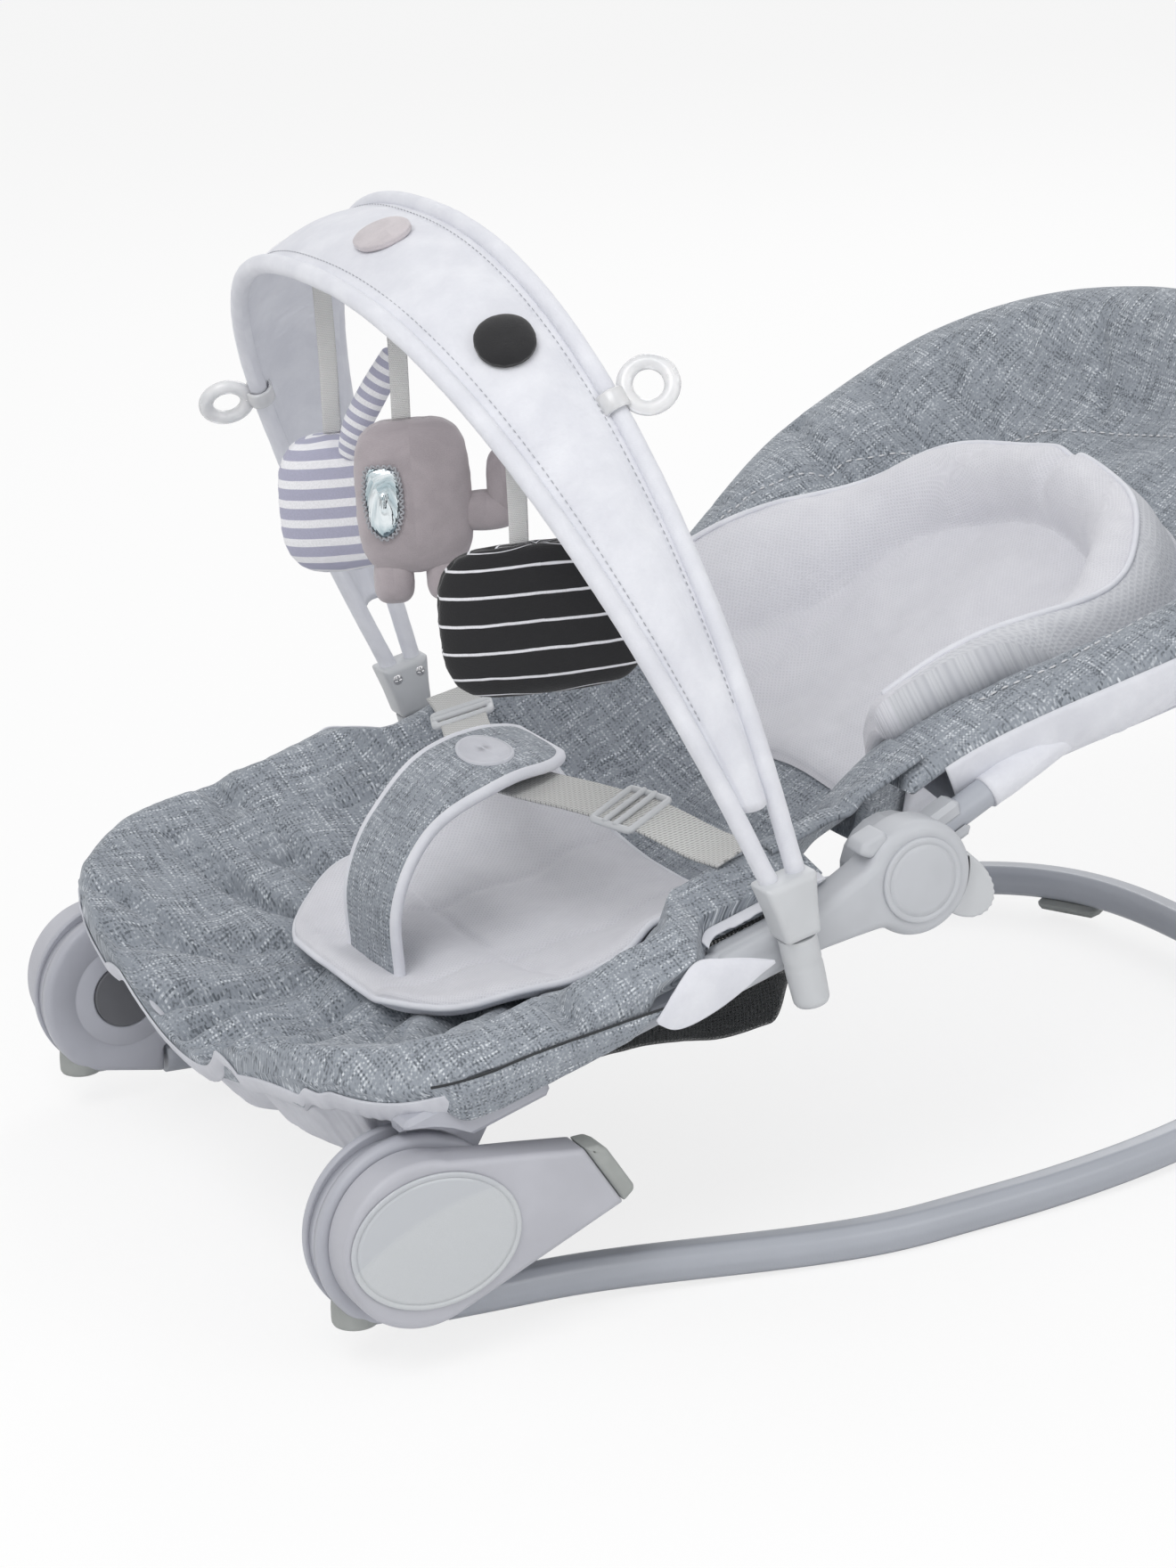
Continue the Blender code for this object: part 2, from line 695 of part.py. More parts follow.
def make_base(hub):
    """The rocking base: tube, hub shells with their spigots, axles, front feet and rear pads."""
    run = rocker_run()
    piece("rocker_tube", rocker_sweep(run, wall=ROCKER_WALL), "frame_grey", hub)

    shell = plate(shell_outline(), SHELL_INNER_X, SHELL_OUTER_X, rounding=0.003)
    boss_radius = BUTTON_RADIUS + BUTTON_BOSS_WALL
    cavity = cut(
        plate(shell_outline(SHELL_WALL), SHELL_INNER_X + SHELL_WALL, SHELL_OUTER_X - SHELL_WALL),
        disc(0, 0, boss_radius, SHELL_INNER_X, SLOT_X, 16),
        disc(0, 0, AXLE_BOSS_RADIUS, SLOT_X + SLOT_WIDTH, SHELL_OUTER_X, SMALL_SIDES),
    )
    opening = plate(
        [(0, 0)] + arc((0, 0), SHELL_RADIUS * 1.5, SLOT_FROM_ANGLE, SLOT_TO_ANGLE, 4),
        SLOT_X,
        SLOT_X + SLOT_WIDTH,
    )
    pocket = disc(0, 0, BUTTON_RADIUS + FIT_GAP, SHELL_INNER_X - 0.01, BUTTON_FLOOR_X)
    bore = disc(0, 0, AXLE_RADIUS + FIT_GAP, SHELL_INNER_X, SHELL_OUTER_X + 0.01, SMALL_SIDES)
    reaches = np.linspace(ROCKER_START - 0.003, ROCKER_START + ROCKER_SPIGOT, 3)
    spigot = rocker_sweep([rocker_point(reach) for reach in reaches], grow=-ROCKER_WALL - FIT_GAP)
    shell = fuse(cut(shell, cavity, opening, pocket, bore), spigot)
    both_sides("hub_shell", shell, "shell_grey", hub)

    axle = disc(0, 0, AXLE_RADIUS, BUTTON_FLOOR_X + FIT_GAP, AXLE_END_X, SMALL_SIDES)
    both_sides("hub_axle", axle, "steel", hub)

    foot_x = SHELL_INNER_X + SHELL_THICKNESS / 2
    low, high = (foot_x, FOOT_REACH, -FOOT_DROP), (foot_x, FOOT_REACH, FOOT_HEIGHT - FOOT_DROP)
    foot = rod(low, high, FOOT_RADIUS, 16, rounding=0.002)
    socket = plate(shell_outline(-FIT_GAP), SHELL_INNER_X - 0.02, SHELL_OUTER_X + 0.02)
    both_sides("front_foot", cut(foot, socket), "soft_rubber", hub)

    bow = np.linspace(BOW_START, BASE_REACH, 200)
    reach = min(bow, key=lambda y: abs(rocker_half_width(y) - REAR_PAD_X))
    step = 0.002
    along = Vector(rocker_point(reach - step)) - Vector(rocker_point(reach + step))
    across = Vector((along.y, -along.x, 0)).normalized()
    along.normalize()
    upward = along.cross(across)
    upward *= math.copysign(1, upward.z)
    frame = Matrix((along, upward.cross(along), upward)).transposed().to_4x4()
    drop = ROCKER_HEIGHT / 2 + REAR_PAD_THICKNESS / 2 + 2 * FIT_GAP
    pad = block((0, 0, -drop), (REAR_PAD_LENGTH, REAR_PAD_WIDTH, REAR_PAD_THICKNESS), rounding=0.003)
    pad = moved(pad, Matrix.Translation(rocker_point(reach)) @ frame)
    tube = rocker_sweep([point for point in run if point[0] > 0], grow=FIT_GAP)
    both_sides("rear_pad", cut(pad, tube), "soft_rubber", hub)


def make_buttons(hub):
    """The round buttons on the inner faces of the hubs that let the seat fold."""
    start = SHELL_INNER_X - BUTTON_PROUD
    button = disc(0, 0, BUTTON_RADIUS, start, start + BUTTON_DEPTH, rounding=0.0012)
    both_sides("fold_button", button, "dark_plastic", hub)


def fin_end(across, short=0.0):
    """A point of the fin's slanted end: across runs up along it, short is the way back to the hub."""
    slant = math.radians(FIN_TIP_SLANT)
    reach = FIN_TIP_REACH - short
    return (
        reach * math.cos(slant) - across * math.sin(slant),
        reach * math.sin(slant) + across * math.cos(slant),
    )


def fin_outline(inset=0.0):
    """The fin without its soft tip: round over the hub axle, straight below, gently arched above."""
    short = FIN_TIP_REACH - FIN_SEAM_REACH + inset
    body = arc((0.0, FIN_CENTRE_Z), FIN_RADIUS - inset, 70, 290, 14)
    body += [fin_end(FIN_SEAM_LOW + inset, short), fin_end(FIN_SEAM_HIGH - inset, short)]
    return body + [(0.0635, 0.0435 - inset), (0.036, 0.0467 - inset)]


def make_fins(hub):
    """The two selector fins, hollow behind, with their oval badges and rubber tips."""
    shell = plate(fin_outline(), FIN_X, FIN_OUTER_X, rounding=0.004)
    hollow = fuse(
        plate(fin_outline(FIN_WALL), FIN_X + FIN_WALL, FIN_OUTER_X - FIN_WALL),
        disc(0, 0, FIN_OPENING_RADIUS, FIN_X - 0.01, FIN_X + 2 * FIN_WALL),
    )
    boss = disc(0, 0, AXLE_BOSS_RADIUS, FIN_X, FIN_OUTER_X, SMALL_SIDES)
    bore = disc(0, 0, AXLE_RADIUS + FIT_GAP, FIN_X - 0.01, AXLE_END_X + FIT_GAP, SMALL_SIDES)
    both_sides("fin", cut(shell, cut(hollow, boss), bore), "shell_grey", hub)

    short = FIN_TIP_REACH - FIN_SEAM_REACH - FIT_GAP
    tip = [fin_end(FIN_SEAM_LOW, short), fin_end(FIN_SEAM_LOW + 0.0012, 0.0019)]
    tip += [fin_end(FIN_SEAM_LOW + 0.0036), fin_end(FIN_SEAM_HIGH - 0.0100)]
    tip += [fin_end(FIN_SEAM_HIGH - 0.0043, 0.0030), fin_end(FIN_SEAM_HIGH, short)]
    rubber = plate(tip, FIN_X + FIN_TIP_RIM, FIN_OUTER_X - FIN_TIP_RIM, rounding=0.0025)
    both_sides("fin_tip", rubber, "soft_rubber", hub)

    oval = [
        (0.0057 + BADGE_HALF_LENGTH * math.cos(a), 0.0052 + BADGE_HALF_HEIGHT * math.sin(a))
        for a in np.linspace(0, 2 * math.pi, 28, endpoint=False)
    ]
    badge_x = FIN_OUTER_X + FIT_GAP
    badge = plate(oval, badge_x, badge_x + BADGE_THICKNESS, rounding=0.0009)
    both_sides("fin_badge", badge, "badge_silver", hub)


def make_seat_frame(hub, seat):
    """The eyes that turn in the hubs, side tubes, cross bar and recline arms with their studs."""
    corners = [(HOLDER_START, HOLDER_RISE), (HOLDER_END, HOLDER_RISE)]
    corners += [(HOLDER_END, -HOLDER_DROP), (HOLDER_START, -HOLDER_DROP)]
    block_outline = [seat_line_point(along, off) for along, off in corners]
    holder = plate(block_outline, HOLDER_X, HOLDER_OUTER_X, rounding=0.003)
    clear_shell = disc(0, 0, HOLDER_CLEARANCE, HOLDER_X - 0.01, FIN_X, 36)
    step_x = FIN_X - TURN_GAP
    clear_fin = disc(0, 0, HOLDER_STEP_CLEARANCE, step_x, HOLDER_OUTER_X + 0.01, 36)
    eye = disc(0, 0, EYE_RADIUS, EYE_X, EYE_OUTER_X)
    low, high = SLOT_FROM_ANGLE + FOLD_RANGE + 2, SLOT_TO_ANGLE - 2
    root = EYE_RADIUS - 0.004
    neck_outline = [
        (root * math.cos(math.radians(high)), root * math.sin(math.radians(high))),
        (root * math.cos(math.radians(low)), root * math.sin(math.radians(low))),
        seat_line_point(HOLDER_END - 0.022, -HOLDER_DROP + 0.002),
        seat_line_point(HOLDER_END - 0.022, 0.0),
        seat_line_point(0.010, HOLDER_RISE - 0.003),
    ]
    neck = plate(neck_outline, EYE_X, EYE_OUTER_X)
    axle_bore = disc(0, 0, AXLE_RADIUS + FIT_GAP, EYE_X - 0.01, EYE_OUTER_X + 0.01, SMALL_SIDES)
    tube_from, tube_to = seat_line_point(TUBE_START - FIT_GAP), seat_line_point(HOLDER_END + 0.01)
    bore_radius = SEAT_TUBE_RADIUS + FIT_GAP
    tube_bore = rod((SEAT_TUBE_X, *tube_from), (SEAT_TUBE_X, *tube_to), bore_radius, 16)
    seat_hub = fuse(cut(holder, clear_shell, clear_fin), eye, neck)
    both_sides("seat_hub", cut(seat_hub, axle_bore, tube_bore), "shell_grey", hub)

    tube_end = ARM_START + ARM_BORE_DEPTH
    tube_ends = [(SEAT_TUBE_X, TUBE_START, 0), (SEAT_TUBE_X, tube_end, 0)]
    tube = hollow_pipe(tube_ends, SEAT_TUBE_RADIUS, SEAT_TUBE_WALL, 14)
    both_sides("side_tube", tube, "frame_grey", seat)

    bar_end = SEAT_TUBE_X - SEAT_TUBE_RADIUS - 3 * FIT_GAP
    bar = [(bar_end, CROSS_BAR_AT, 0.0), (bar_end - 0.010, CROSS_BAR_AT, -0.004)]
    for x in np.linspace(bar_end - 0.022, 0.0, 6):
        near = [(x + dx, CROSS_BAR_AT + dy) for dx in (-0.012, 0.012) for dy in (-0.012, 0.012)]
        low = min(seat_under(*place) for place in near)
        bar.append((x, CROSS_BAR_AT, min(low - CROSS_BAR_RADIUS - CROSS_BAR_CLEARANCE, -0.012)))
    bar += [(-x, y, z) for x, y, z in reversed(bar[:-1])]
    piece("cross_bar", pipe(bar, CROSS_BAR_RADIUS, 8), "frame_grey", seat)

    arm = [(ARM_START, -ARM_HALF_HEIGHT), (ARM_START + 0.062, -ARM_HALF_HEIGHT)]
    arm += [(ARM_START + 0.085, -ARM_HALF_HEIGHT - 0.003)]
    arm += arc((RECLINE_AT, 0), HOUSING_RADIUS, -148, 142, 18)
    arm += [(ARM_START + 0.088, ARM_HALF_HEIGHT + 0.005), (ARM_START + 0.066, ARM_HALF_HEIGHT)]
    arm += [(ARM_START, ARM_HALF_HEIGHT)]
    body = plate(arm, ARM_X, ARM_OUTER_X, rounding=0.003)
    bore_ends = (SEAT_TUBE_X, ARM_START - 0.01, 0), (SEAT_TUBE_X, tube_end + FIT_GAP, 0)
    tube_bore = rod(*bore_ends, bore_radius, 16)
    bolt_bore = disc(
        RECLINE_AT, 0, BOLT_RADIUS + FIT_GAP, ARM_X - 0.01, BOLT_END_X + FIT_GAP, SMALL_SIDES
    )
    stud = disc(POST_AT, 0, STUD_RADIUS, ARM_OUTER_X - 0.002, POST_X + STUD_REACH, SMALL_SIDES)
    cap_end = ARM_OUTER_X + CAP_THICKNESS
    cap = disc(RECLINE_AT, 0, CAP_RADIUS, ARM_OUTER_X - 0.002, cap_end, rounding=0.001)
    both_sides("recline_arm", fuse(cut(body, tube_bore, bolt_bore), stud, cap), "arm_grey", seat)


def seat_half_width(along):
    """Half width of the seat pad: a rounded front, full over the tubes, slimmer between the arms."""
    if along < SEAT_CORNER_START:
        share = (SEAT_CORNER_START - along) / (SEAT_CORNER_START - SEAT_PAD_FRONT)
        return SEAT_PAD_HALF_WIDTH * power_arc(0.97 * share, 2.2)
    slim = smooth_step((along - SEAT_SLIM_START) / (ARM_START - 0.008 - SEAT_SLIM_START))
    return SEAT_PAD_HALF_WIDTH + (SEAT_PAD_INNER_HALF - SEAT_PAD_HALF_WIDTH) * slim


def seat_top(x, along):
    """Height of the seat pad's top over the seat line: a crest above each tube and a sag between."""
    share = (along - SEAT_PAD_FRONT) / (SEAT_PAD_REAR - SEAT_PAD_FRONT)
    sag = SEAT_SAG_FRONT + (SEAT_SAG_REAR - SEAT_SAG_FRONT) * smooth_step(1.15 * share)
    half = min(seat_half_width(along), SEAT_PAD_HALF_WIDTH) - 0.030
    inward = min(abs(x) / max(half, 0.02), 1.0)
    front = smooth_step((along - SEAT_PAD_FRONT) / 0.09)
    crest = 0.024 + (SEAT_CREST - 0.024) * front
    crease = CREASE_DEPTH * math.cos(2 * math.pi * along / 0.062) * (1 - inward) * front
    outward = max(abs(x) - half, 0.0) / 0.030
    return crest - (crest + sag) * (1 - inward**2.4) - 0.012 * outward**2 + 0.5 * crease


def seat_under(x, along):
    """Height of the seat pad's underside, kept clear of the hubs, holders and side tubes."""
    plain = seat_top(x, along) - PAD_THICKNESS
    over_holder = 1 - smooth_step((along - HOLDER_END - 0.022) / 0.012)
    tube_clear = SEAT_TUBE_RADIUS + (HOLDER_RISE - SEAT_TUBE_RADIUS) * over_holder + 3 * CLOTH_GAP
    over_tube = smooth_step((abs(x) - (HOLDER_X - 0.036)) / 0.014)
    over_hub = smooth_step((abs(x) - (SHELL_INNER_X - 0.036)) / 0.010) * over_holder
    hub_clear = SHELL_RADIUS - SEAT_LINE_RISE * math.cos(math.radians(SEAT_SLOPE)) + 0.004
    height = plain + (max(hub_clear, plain) - plain) * over_hub
    return height + (max(tube_clear, height) - height) * over_tube


def skirt_drop(along):
    """How far the pad's side hangs below its crest's edge, outside the tube, at a place along."""
    start = smooth_step((along - SKIRT_START) / SKIRT_RAMP)
    return SKIRT_DROP * start * (1 - smooth_step((along - SKIRT_END) / SKIRT_RAMP))


def make_seat_pads(seat):
    """The seat pad, its liner, the light panel under its front and the black mesh pouch."""

    def place(across, along, height, inset=0.0):
        """A point of the pad; past the skirt's share it runs down outside the side tube."""
        run = SEAT_PAD_FRONT + (SEAT_PAD_REAR - SEAT_PAD_FRONT) * (along + 1) / 2
        share = min(abs(across) / SKIRT_SHARE, 1.0)
        down = max(abs(across) - SKIRT_SHARE, 0.0) / (1 - SKIRT_SHARE)
        x = math.copysign(share * (seat_half_width(run) - inset), across)
        return Vector((x, run, height(x, run) - skirt_drop(run) * down))

    def rim(across, along):
        return min(1 - abs(across), 1 - abs(along), 0.12) / 0.12

    def top(across, along):
        flat = place(across, along, seat_top)
        low = place(across, along, seat_under)
        return low + (flat - low) * (0.35 + 0.65 * math.sqrt(rim(across, along)))

    def under(across, along):
        run = SEAT_PAD_FRONT + (SEAT_PAD_REAR - SEAT_PAD_FRONT) * (along + 1) / 2
        wide = smooth_step((seat_half_width(run) - SKIRT_X) / (SEAT_PAD_HALF_WIDTH - SKIRT_X))
        return place(across, along, seat_under, inset=(SEAT_PAD_HALF_WIDTH - SKIRT_X) * wide)

    pad = padded(16, 14, top, under)
    piece("seat_pad", pad, "melange", seat)

    def liner_place(across, along, lift):
        run = LINER_FRONT + (LINER_REAR - LINER_FRONT) * (along + 1) / 2
        half = LINER_HALF_WIDTH * power_arc(min(along, 0.0) * 0.93, 2.2)
        x = across * half
        puff = math.sqrt(rim(across, along))
        return Vector((x, run, seat_top(x, run) - 0.003 + (lift + 0.003) * (0.45 + 0.55 * puff)))

    liner = padded(
        8, 8, lambda a, b: liner_place(a, b, LINER_THICKNESS), lambda a, b: liner_place(a, b, 0.0)
    )
    piece("seat_liner", cut(liner, grown(pad, 2 * CLOTH_GAP)), "mesh_cloth", seat)

    def panel(across, along):
        run = SEAT_PAD_FRONT + 0.006 + 0.118 * (along + 1) / 2
        x = across * min(seat_half_width(run) - 0.020, SHELL_INNER_X - 0.014)
        share = (along + 1) / 2
        hang = 0.0088 + 0.010 * math.sin(math.pi * share) + 0.012 * smooth_step(share)
        return Vector((x, run, seat_under(x, run) - hang))

    piece("under_panel", sheet(10, 6, panel, 0.002), "pale_cloth", seat)

    def pouch(across, along):
        run = POUCH_FRONT + (POUCH_REAR - POUCH_FRONT) * (along + 1) / 2
        x = across * (SEAT_PAD_INNER_HALF - 0.022)
        edge = (1 - across**4) * (1 - along**4)
        return Vector((x, run, seat_top(x, run) - PAD_THICKNESS - 0.008 - 0.014 * edge))

    piece("mesh_pouch", sheet(10, 8, pouch, 0.003), "black_mesh", seat)


def flap_outline():
    """A triangular side flap, as (along, off) points of the seat line."""
    return [
        (0.1525, 0.0020),
        (0.2120, 0.0160),
        (0.2200, 0.0135),
        (0.2310, -0.0080),
        (0.2080, -0.0115),
        (0.1750, -0.0075),
    ]


def make_flaps(seat):
    """The light cloth flap that hangs outside the pad at each side."""
    outer = SEAT_PAD_HALF_WIDTH + CLOTH_GAP
    both_sides("side_flap", plate(flap_outline(), outer, outer + 0.0016), "pale_cloth", seat)


def smooth_run(points, steps):
    """A smooth run through a few points, by Catmull-Rom pieces."""
    ends = [2 * Vector(points[0]) - Vector(points[1])]
    ends += [Vector(point) for point in points]
    ends += [2 * Vector(points[-1]) - Vector(points[-2])]
    run = []
    for index in range(1, len(ends) - 2):
        before, start, finish, after = ends[index - 1 : index + 3]
        for t in np.linspace(0, 1, steps, endpoint=False):
            run.append(
                0.5
                * (
                    2 * start
                    + (finish - before) * t
                    + (2 * before - 5 * start + 4 * finish - after) * t**2
                    + (3 * start - before - 3 * finish + after) * t**3
                )
            )
    run.append(ends[-2])
    return run


def strap(run, widths, thickness, facing):
    """A flat strap along a run, one width for each point, its broad side turned to face a direction."""
    facing = Vector(facing)
    halves = []
    for before, after, width in zip(run[:1] + run[:-1], run[1:] + run[-1:], widths):
        halves.append((after - before).cross(facing).normalized() * (width / 2))

    def surface(across, along):
        place = (along + 1) / 2 * (len(run) - 1)
        index = min(max(int(place), 0), len(run) - 2)
        share = place - index
        sideways = halves[index].lerp(halves[index + 1], share)
        return run[index].lerp(run[index + 1], share) + sideways * across

    return sheet(2, len(run) - 1, surface, thickness)


CROTCH_ROUTE = [
    (0, 0.091, -0.004),
    (0, 0.099, 0.026),
    (0, 0.121, 0.054),
    (0, 0.153, 0.072),
    (0, 0.191, 0.077),
    (0, 0.231, 0.070),
]


def waist_route():
    """The waist strap's middle line, from the seat's left side behind the tab to its right side."""
    end_x = 0.196
    left = [
        (end_x, 0.253, seat_top(end_x, 0.253) + 0.0045),
        (0.170, 0.247, 0.043),
        (0.130, 0.235, 0.055),
        (0.085, 0.219, 0.062),
        (0.040, 0.205, 0.0645),
    ]
    return left + [(0.0, 0.199, 0.0645)] + [(-x, y, z) for x, y, z in reversed(left)]


def make_harness(seat):
    """The padded crotch strap with its tab, the waist strap behind it and the strap's two sliders."""
    run = smooth_run(CROTCH_ROUTE, 3)
    widths = [
        CROTCH_STRAP_WIDTH + (TAB_WIDTH - CROTCH_STRAP_WIDTH) * smooth_step((point.y - 0.13) / 0.05)
        for point in run
    ]
    widths[-1] *= 0.72
    piece("crotch_strap", strap(run, widths, STRAP_THICKNESS, (0, -1, 0.3)), "melange", seat)

    web = smooth_run(waist_route(), 3)
    belt = strap(web, [WEBBING_WIDTH] * len(web), WEBBING_THICKNESS, (0, 0, 1))
    piece("waist_strap", belt, "webbing", seat)

    middle = 7
    along = (web[middle + 1] - web[middle - 1]).normalized()
    sideways = along.cross(Vector((0, 0, 1))).normalized()
    turn = Matrix((along, sideways, along.cross(sideways))).transposed().to_4x4()
    lug = block((0, 0, 0), (SLIDER_LENGTH, SLIDER_WIDTH, SLIDER_THICKNESS), rounding=0.0018)
    slot_size = (SLIDER_LENGTH * 2, WEBBING_WIDTH + 2 * CLOTH_GAP, WEBBING_THICKNESS + 4 * FIT_GAP)
    slot = block((0, 0, 0), slot_size)
    window_size = (SLIDER_WINDOW, WEBBING_WIDTH, SLIDER_THICKNESS)
    windows = [
        block((side * SLIDER_LENGTH * 0.22, 0, SLIDER_THICKNESS / 2), window_size)
        for side in (-1, 1)
    ]
    slider = moved(cut(lug, slot, *windows), Matrix.Translation(web[middle]) @ turn)
    both_sides("strap_slider", slider, "light_grey", seat)


def back_half_width(reach):
    """Half width of the back pad, widest at the shoulders and closing in a round top."""
    if reach > BACK_WIDEST:
        share = (reach - BACK_WIDEST) / (BACK_LENGTH - BACK_WIDEST)
        return BACK_HALF_WIDTH * power_arc(share, BACK_TOP_POWER)
    growth = smooth_step((reach - 0.05) / (BACK_WIDEST - 0.08))
    return BACK_ROOT_HALF_WIDTH + (BACK_HALF_WIDTH - BACK_ROOT_HALF_WIDTH) * growth


def back_tube_run():
    """The back tube's middle line from the left knuckle over the top to the right one."""
    inner = BACK_LENGTH - BACK_TUBE_INSET
    left = [(BACK_TUBE_X, reach, 0.0) for reach in (0.024, 0.080)]
    for reach in np.linspace(0.12, BACK_WIDEST, 5):
        left.append((max(back_half_width(reach) - BACK_TUBE_INSET, BACK_TUBE_X), reach, 0.0))
    for angle in np.linspace(0.12, math.pi / 2, 8):
        x = (BACK_HALF_WIDTH - BACK_TUBE_INSET) * math.cos(angle) ** (2 / BACK_TOP_POWER)
        reach = BACK_WIDEST + (inner - BACK_WIDEST) * math.sin(angle) ** (2 / BACK_TOP_POWER)
        left.append((x, reach, 0.0))
    return left + [(-x, y, z) for x, y, z in reversed(left[:-1])]


def back_surface(x, reach):
    """How far a point of the pad lies from its rim, and the height of the pad's top there."""
    side = back_half_width(min(reach, BACK_WIDEST)) - abs(x)
    span = max(BACK_LENGTH - BACK_WIDEST, 0.01)
    beyond = max(reach - BACK_WIDEST, 0.0) / span
    spread = (abs(x) / BACK_HALF_WIDTH) ** BACK_TOP_POWER + beyond**BACK_TOP_POWER
    round_off = (1 - spread ** (1 / BACK_TOP_POWER)) * BACK_HALF_WIDTH
    inward = max(min(side, round_off if reach > BACK_WIDEST else side), 0.0)
    sag = BACK_SAG_ROOT + (BACK_SAG_TOP - BACK_SAG_ROOT) * smooth_step((reach - 0.03) / 0.36)
    fall = smooth_step((inward - 0.034) / 0.110)
    channel = CREASE_DEPTH * math.cos(2 * math.pi * x / 0.115) * fall
    return inward, BACK_CREST - (BACK_CREST + sag) * fall + 0.4 * channel


def back_under(x, reach):
    inward, top = back_surface(x, reach)
    plain = top - PAD_THICKNESS
    clear = BACK_TUBE_RADIUS + CLOTH_GAP
    over_tube = 1 - smooth_step((inward - 0.034) / 0.012)
    if reach < 0.085:
        over_tube = 0.0
    return plain + (max(clear, plain) - plain) * over_tube


def make_backrest(back):
    """The back tube, its knuckles, the back pad and the cushion for the head."""
    tube = hollow_pipe(back_tube_run(), BACK_TUBE_RADIUS, BACK_TUBE_WALL, 8)
    piece("back_frame", tube, "frame_grey", back)

    wheel_ends = KNUCKLE_X, KNUCKLE_X + KNUCKLE_THICKNESS
    wheel = disc(0, 0, KNUCKLE_RADIUS, *wheel_ends, rounding=0.0015)
    stub_size = (KNUCKLE_THICKNESS, KNUCKLE_REACH, KNUCKLE_STUB_WIDTH)
    stub = block((BACK_TUBE_X, KNUCKLE_REACH / 2, 0), stub_size, rounding=0.003)
    bolt = disc(0, 0, BOLT_RADIUS, KNUCKLE_X + 0.004, BOLT_END_X, SMALL_SIDES)
    bore_ends = (BACK_TUBE_X, 0.024 - FIT_GAP, 0), (BACK_TUBE_X, KNUCKLE_REACH + 0.01, 0)
    bore = rod(*bore_ends, BACK_TUBE_RADIUS + 3 * FIT_GAP, 12)
    knuckle = cut(fuse(wheel, stub, bolt), bore)
    both_sides("recline_knuckle", knuckle, "arm_grey", back)

    root = 0.032

    def place(across, along, height):
        reach = root + (BACK_LENGTH - 0.003 - root) * (along + 1) / 2
        x = across * back_half_width(reach)
        return Vector((x, reach, height(x, reach)))

    def top(across, along):
        high = place(across, along, lambda x, reach: back_surface(x, reach)[1])
        low = place(across, along, back_under)
        inward = min(back_surface(high.x, high.y)[0], (1 + along) * 0.2)
        return low + (high - low) * (0.35 + 0.65 * math.sqrt(min(inward / 0.030, 1.0)))

    pad = padded(14, 16, top, lambda a, b: place(a, b, back_under))
    piece("back_pad", pad, "melange", back)
    make_head_cushion(back, pad)


def make_head_cushion(back, pad):
    """A horseshoe roll round a thin dished middle, lying on the back pad."""
    length = HEAD_CUSHION_END - HEAD_CUSHION_START

    def outline(along):
        """Half width at a share from 0 (hips) to 1 (crown)."""
        if along < 0.45:
            return HEAD_CUSHION_HALF_WIDTH * (0.92 + 0.08 * along / 0.45)
        return HEAD_CUSHION_HALF_WIDTH * power_arc((along - 0.45) / 0.55 * 0.985, 2.3)

    def point(across, along, upper):
        share = (along + 1) / 2
        reach = HEAD_CUSHION_START + length * share
        x = across * outline(share)
        spread = (abs(x) / HEAD_CUSHION_HALF_WIDTH) ** 2.3 + max((share - 0.45) / 0.55, 0.0) ** 2.3
        inward = (1 - spread ** (1 / 2.3)) * HEAD_CUSHION_HALF_WIDTH
        base = back_surface(x, reach)[1] - 0.004
        if not upper:
            return Vector((x, reach, base))
        hump = inward / HEAD_ROLL_WIDTH
        roll = HEAD_ROLL_HEIGHT * math.sqrt(max(1 - (2 * hump - 1) ** 2, 0.0)) if hump < 1 else 0.0
        taper = 0.55 + 0.45 * smooth_step(share / 0.5)
        dish = HEAD_DISH_THICKNESS if hump > 0.5 else 0.0
        return Vector((x, reach, base + 0.008 + max(roll * taper, dish)))

    cushion = padded(14, 12, lambda a, b: point(a, b, True), lambda a, b: point(a, b, False))
    piece("head_cushion", cut(cushion, grown(pad, 2 * CLOTH_GAP)), "mesh_cloth", back)


def make_levers(seat_recline):
    """The paddles behind the recline housings that release the backrest."""
    inner = HOUSING_RADIUS + 0.0005
    outline = arc((0, 0), inner, LEVER_TOP_ANGLE, LEVER_BOTTOM_ANGLE, 8)
    outer = []
    for share in np.linspace(1, 0, 9):
        angle = LEVER_TOP_ANGLE + (LEVER_BOTTOM_ANGLE - LEVER_TOP_ANGLE) * share
        swell = max(math.sin(math.pi * min(share * 1.05, 1.0) ** 1.6), 0.0) ** 0.8
        radius = inner + 0.003 + (LEVER_RADIUS - inner - 0.003) * swell
        outer.append((radius * math.cos(math.radians(angle)), radius * math.sin(math.radians(angle))))
    lever = plate(outline + outer, ARM_X + 0.0014, ARM_X + 0.0014 + LEVER_THICKNESS, rounding=0.002)
    both_sides("release_lever", lever, "light_grey", seat_recline)


def make_posts(bar):
    """The posts that turn on the arms' studs and carry the toy bar."""
    low, high = (POST_X, 0, -POST_LENGTH_DOWN), (POST_X, 0, POST_LENGTH_UP)
    post = rod(low, high, POST_RADIUS - 0.0006, 18, rounding=0.0018, end_radius=POST_RADIUS)
    foot, tip = (POST_X, 0, POST_LENGTH_UP - 0.004), (POST_X, 0, POST_LENGTH_UP + SPIGOT_LENGTH)
    spigot = rod(foot, tip, SPIGOT_RADIUS)
    bore_end = POST_X + STUD_REACH + FIT_GAP
    bore = disc(0, 0, STUD_RADIUS + FIT_GAP, ARM_OUTER_X - 0.02, bore_end, SMALL_SIDES)
    both_sides("bar_post", cut(fuse(post, spigot), bore), "light_grey", bar)


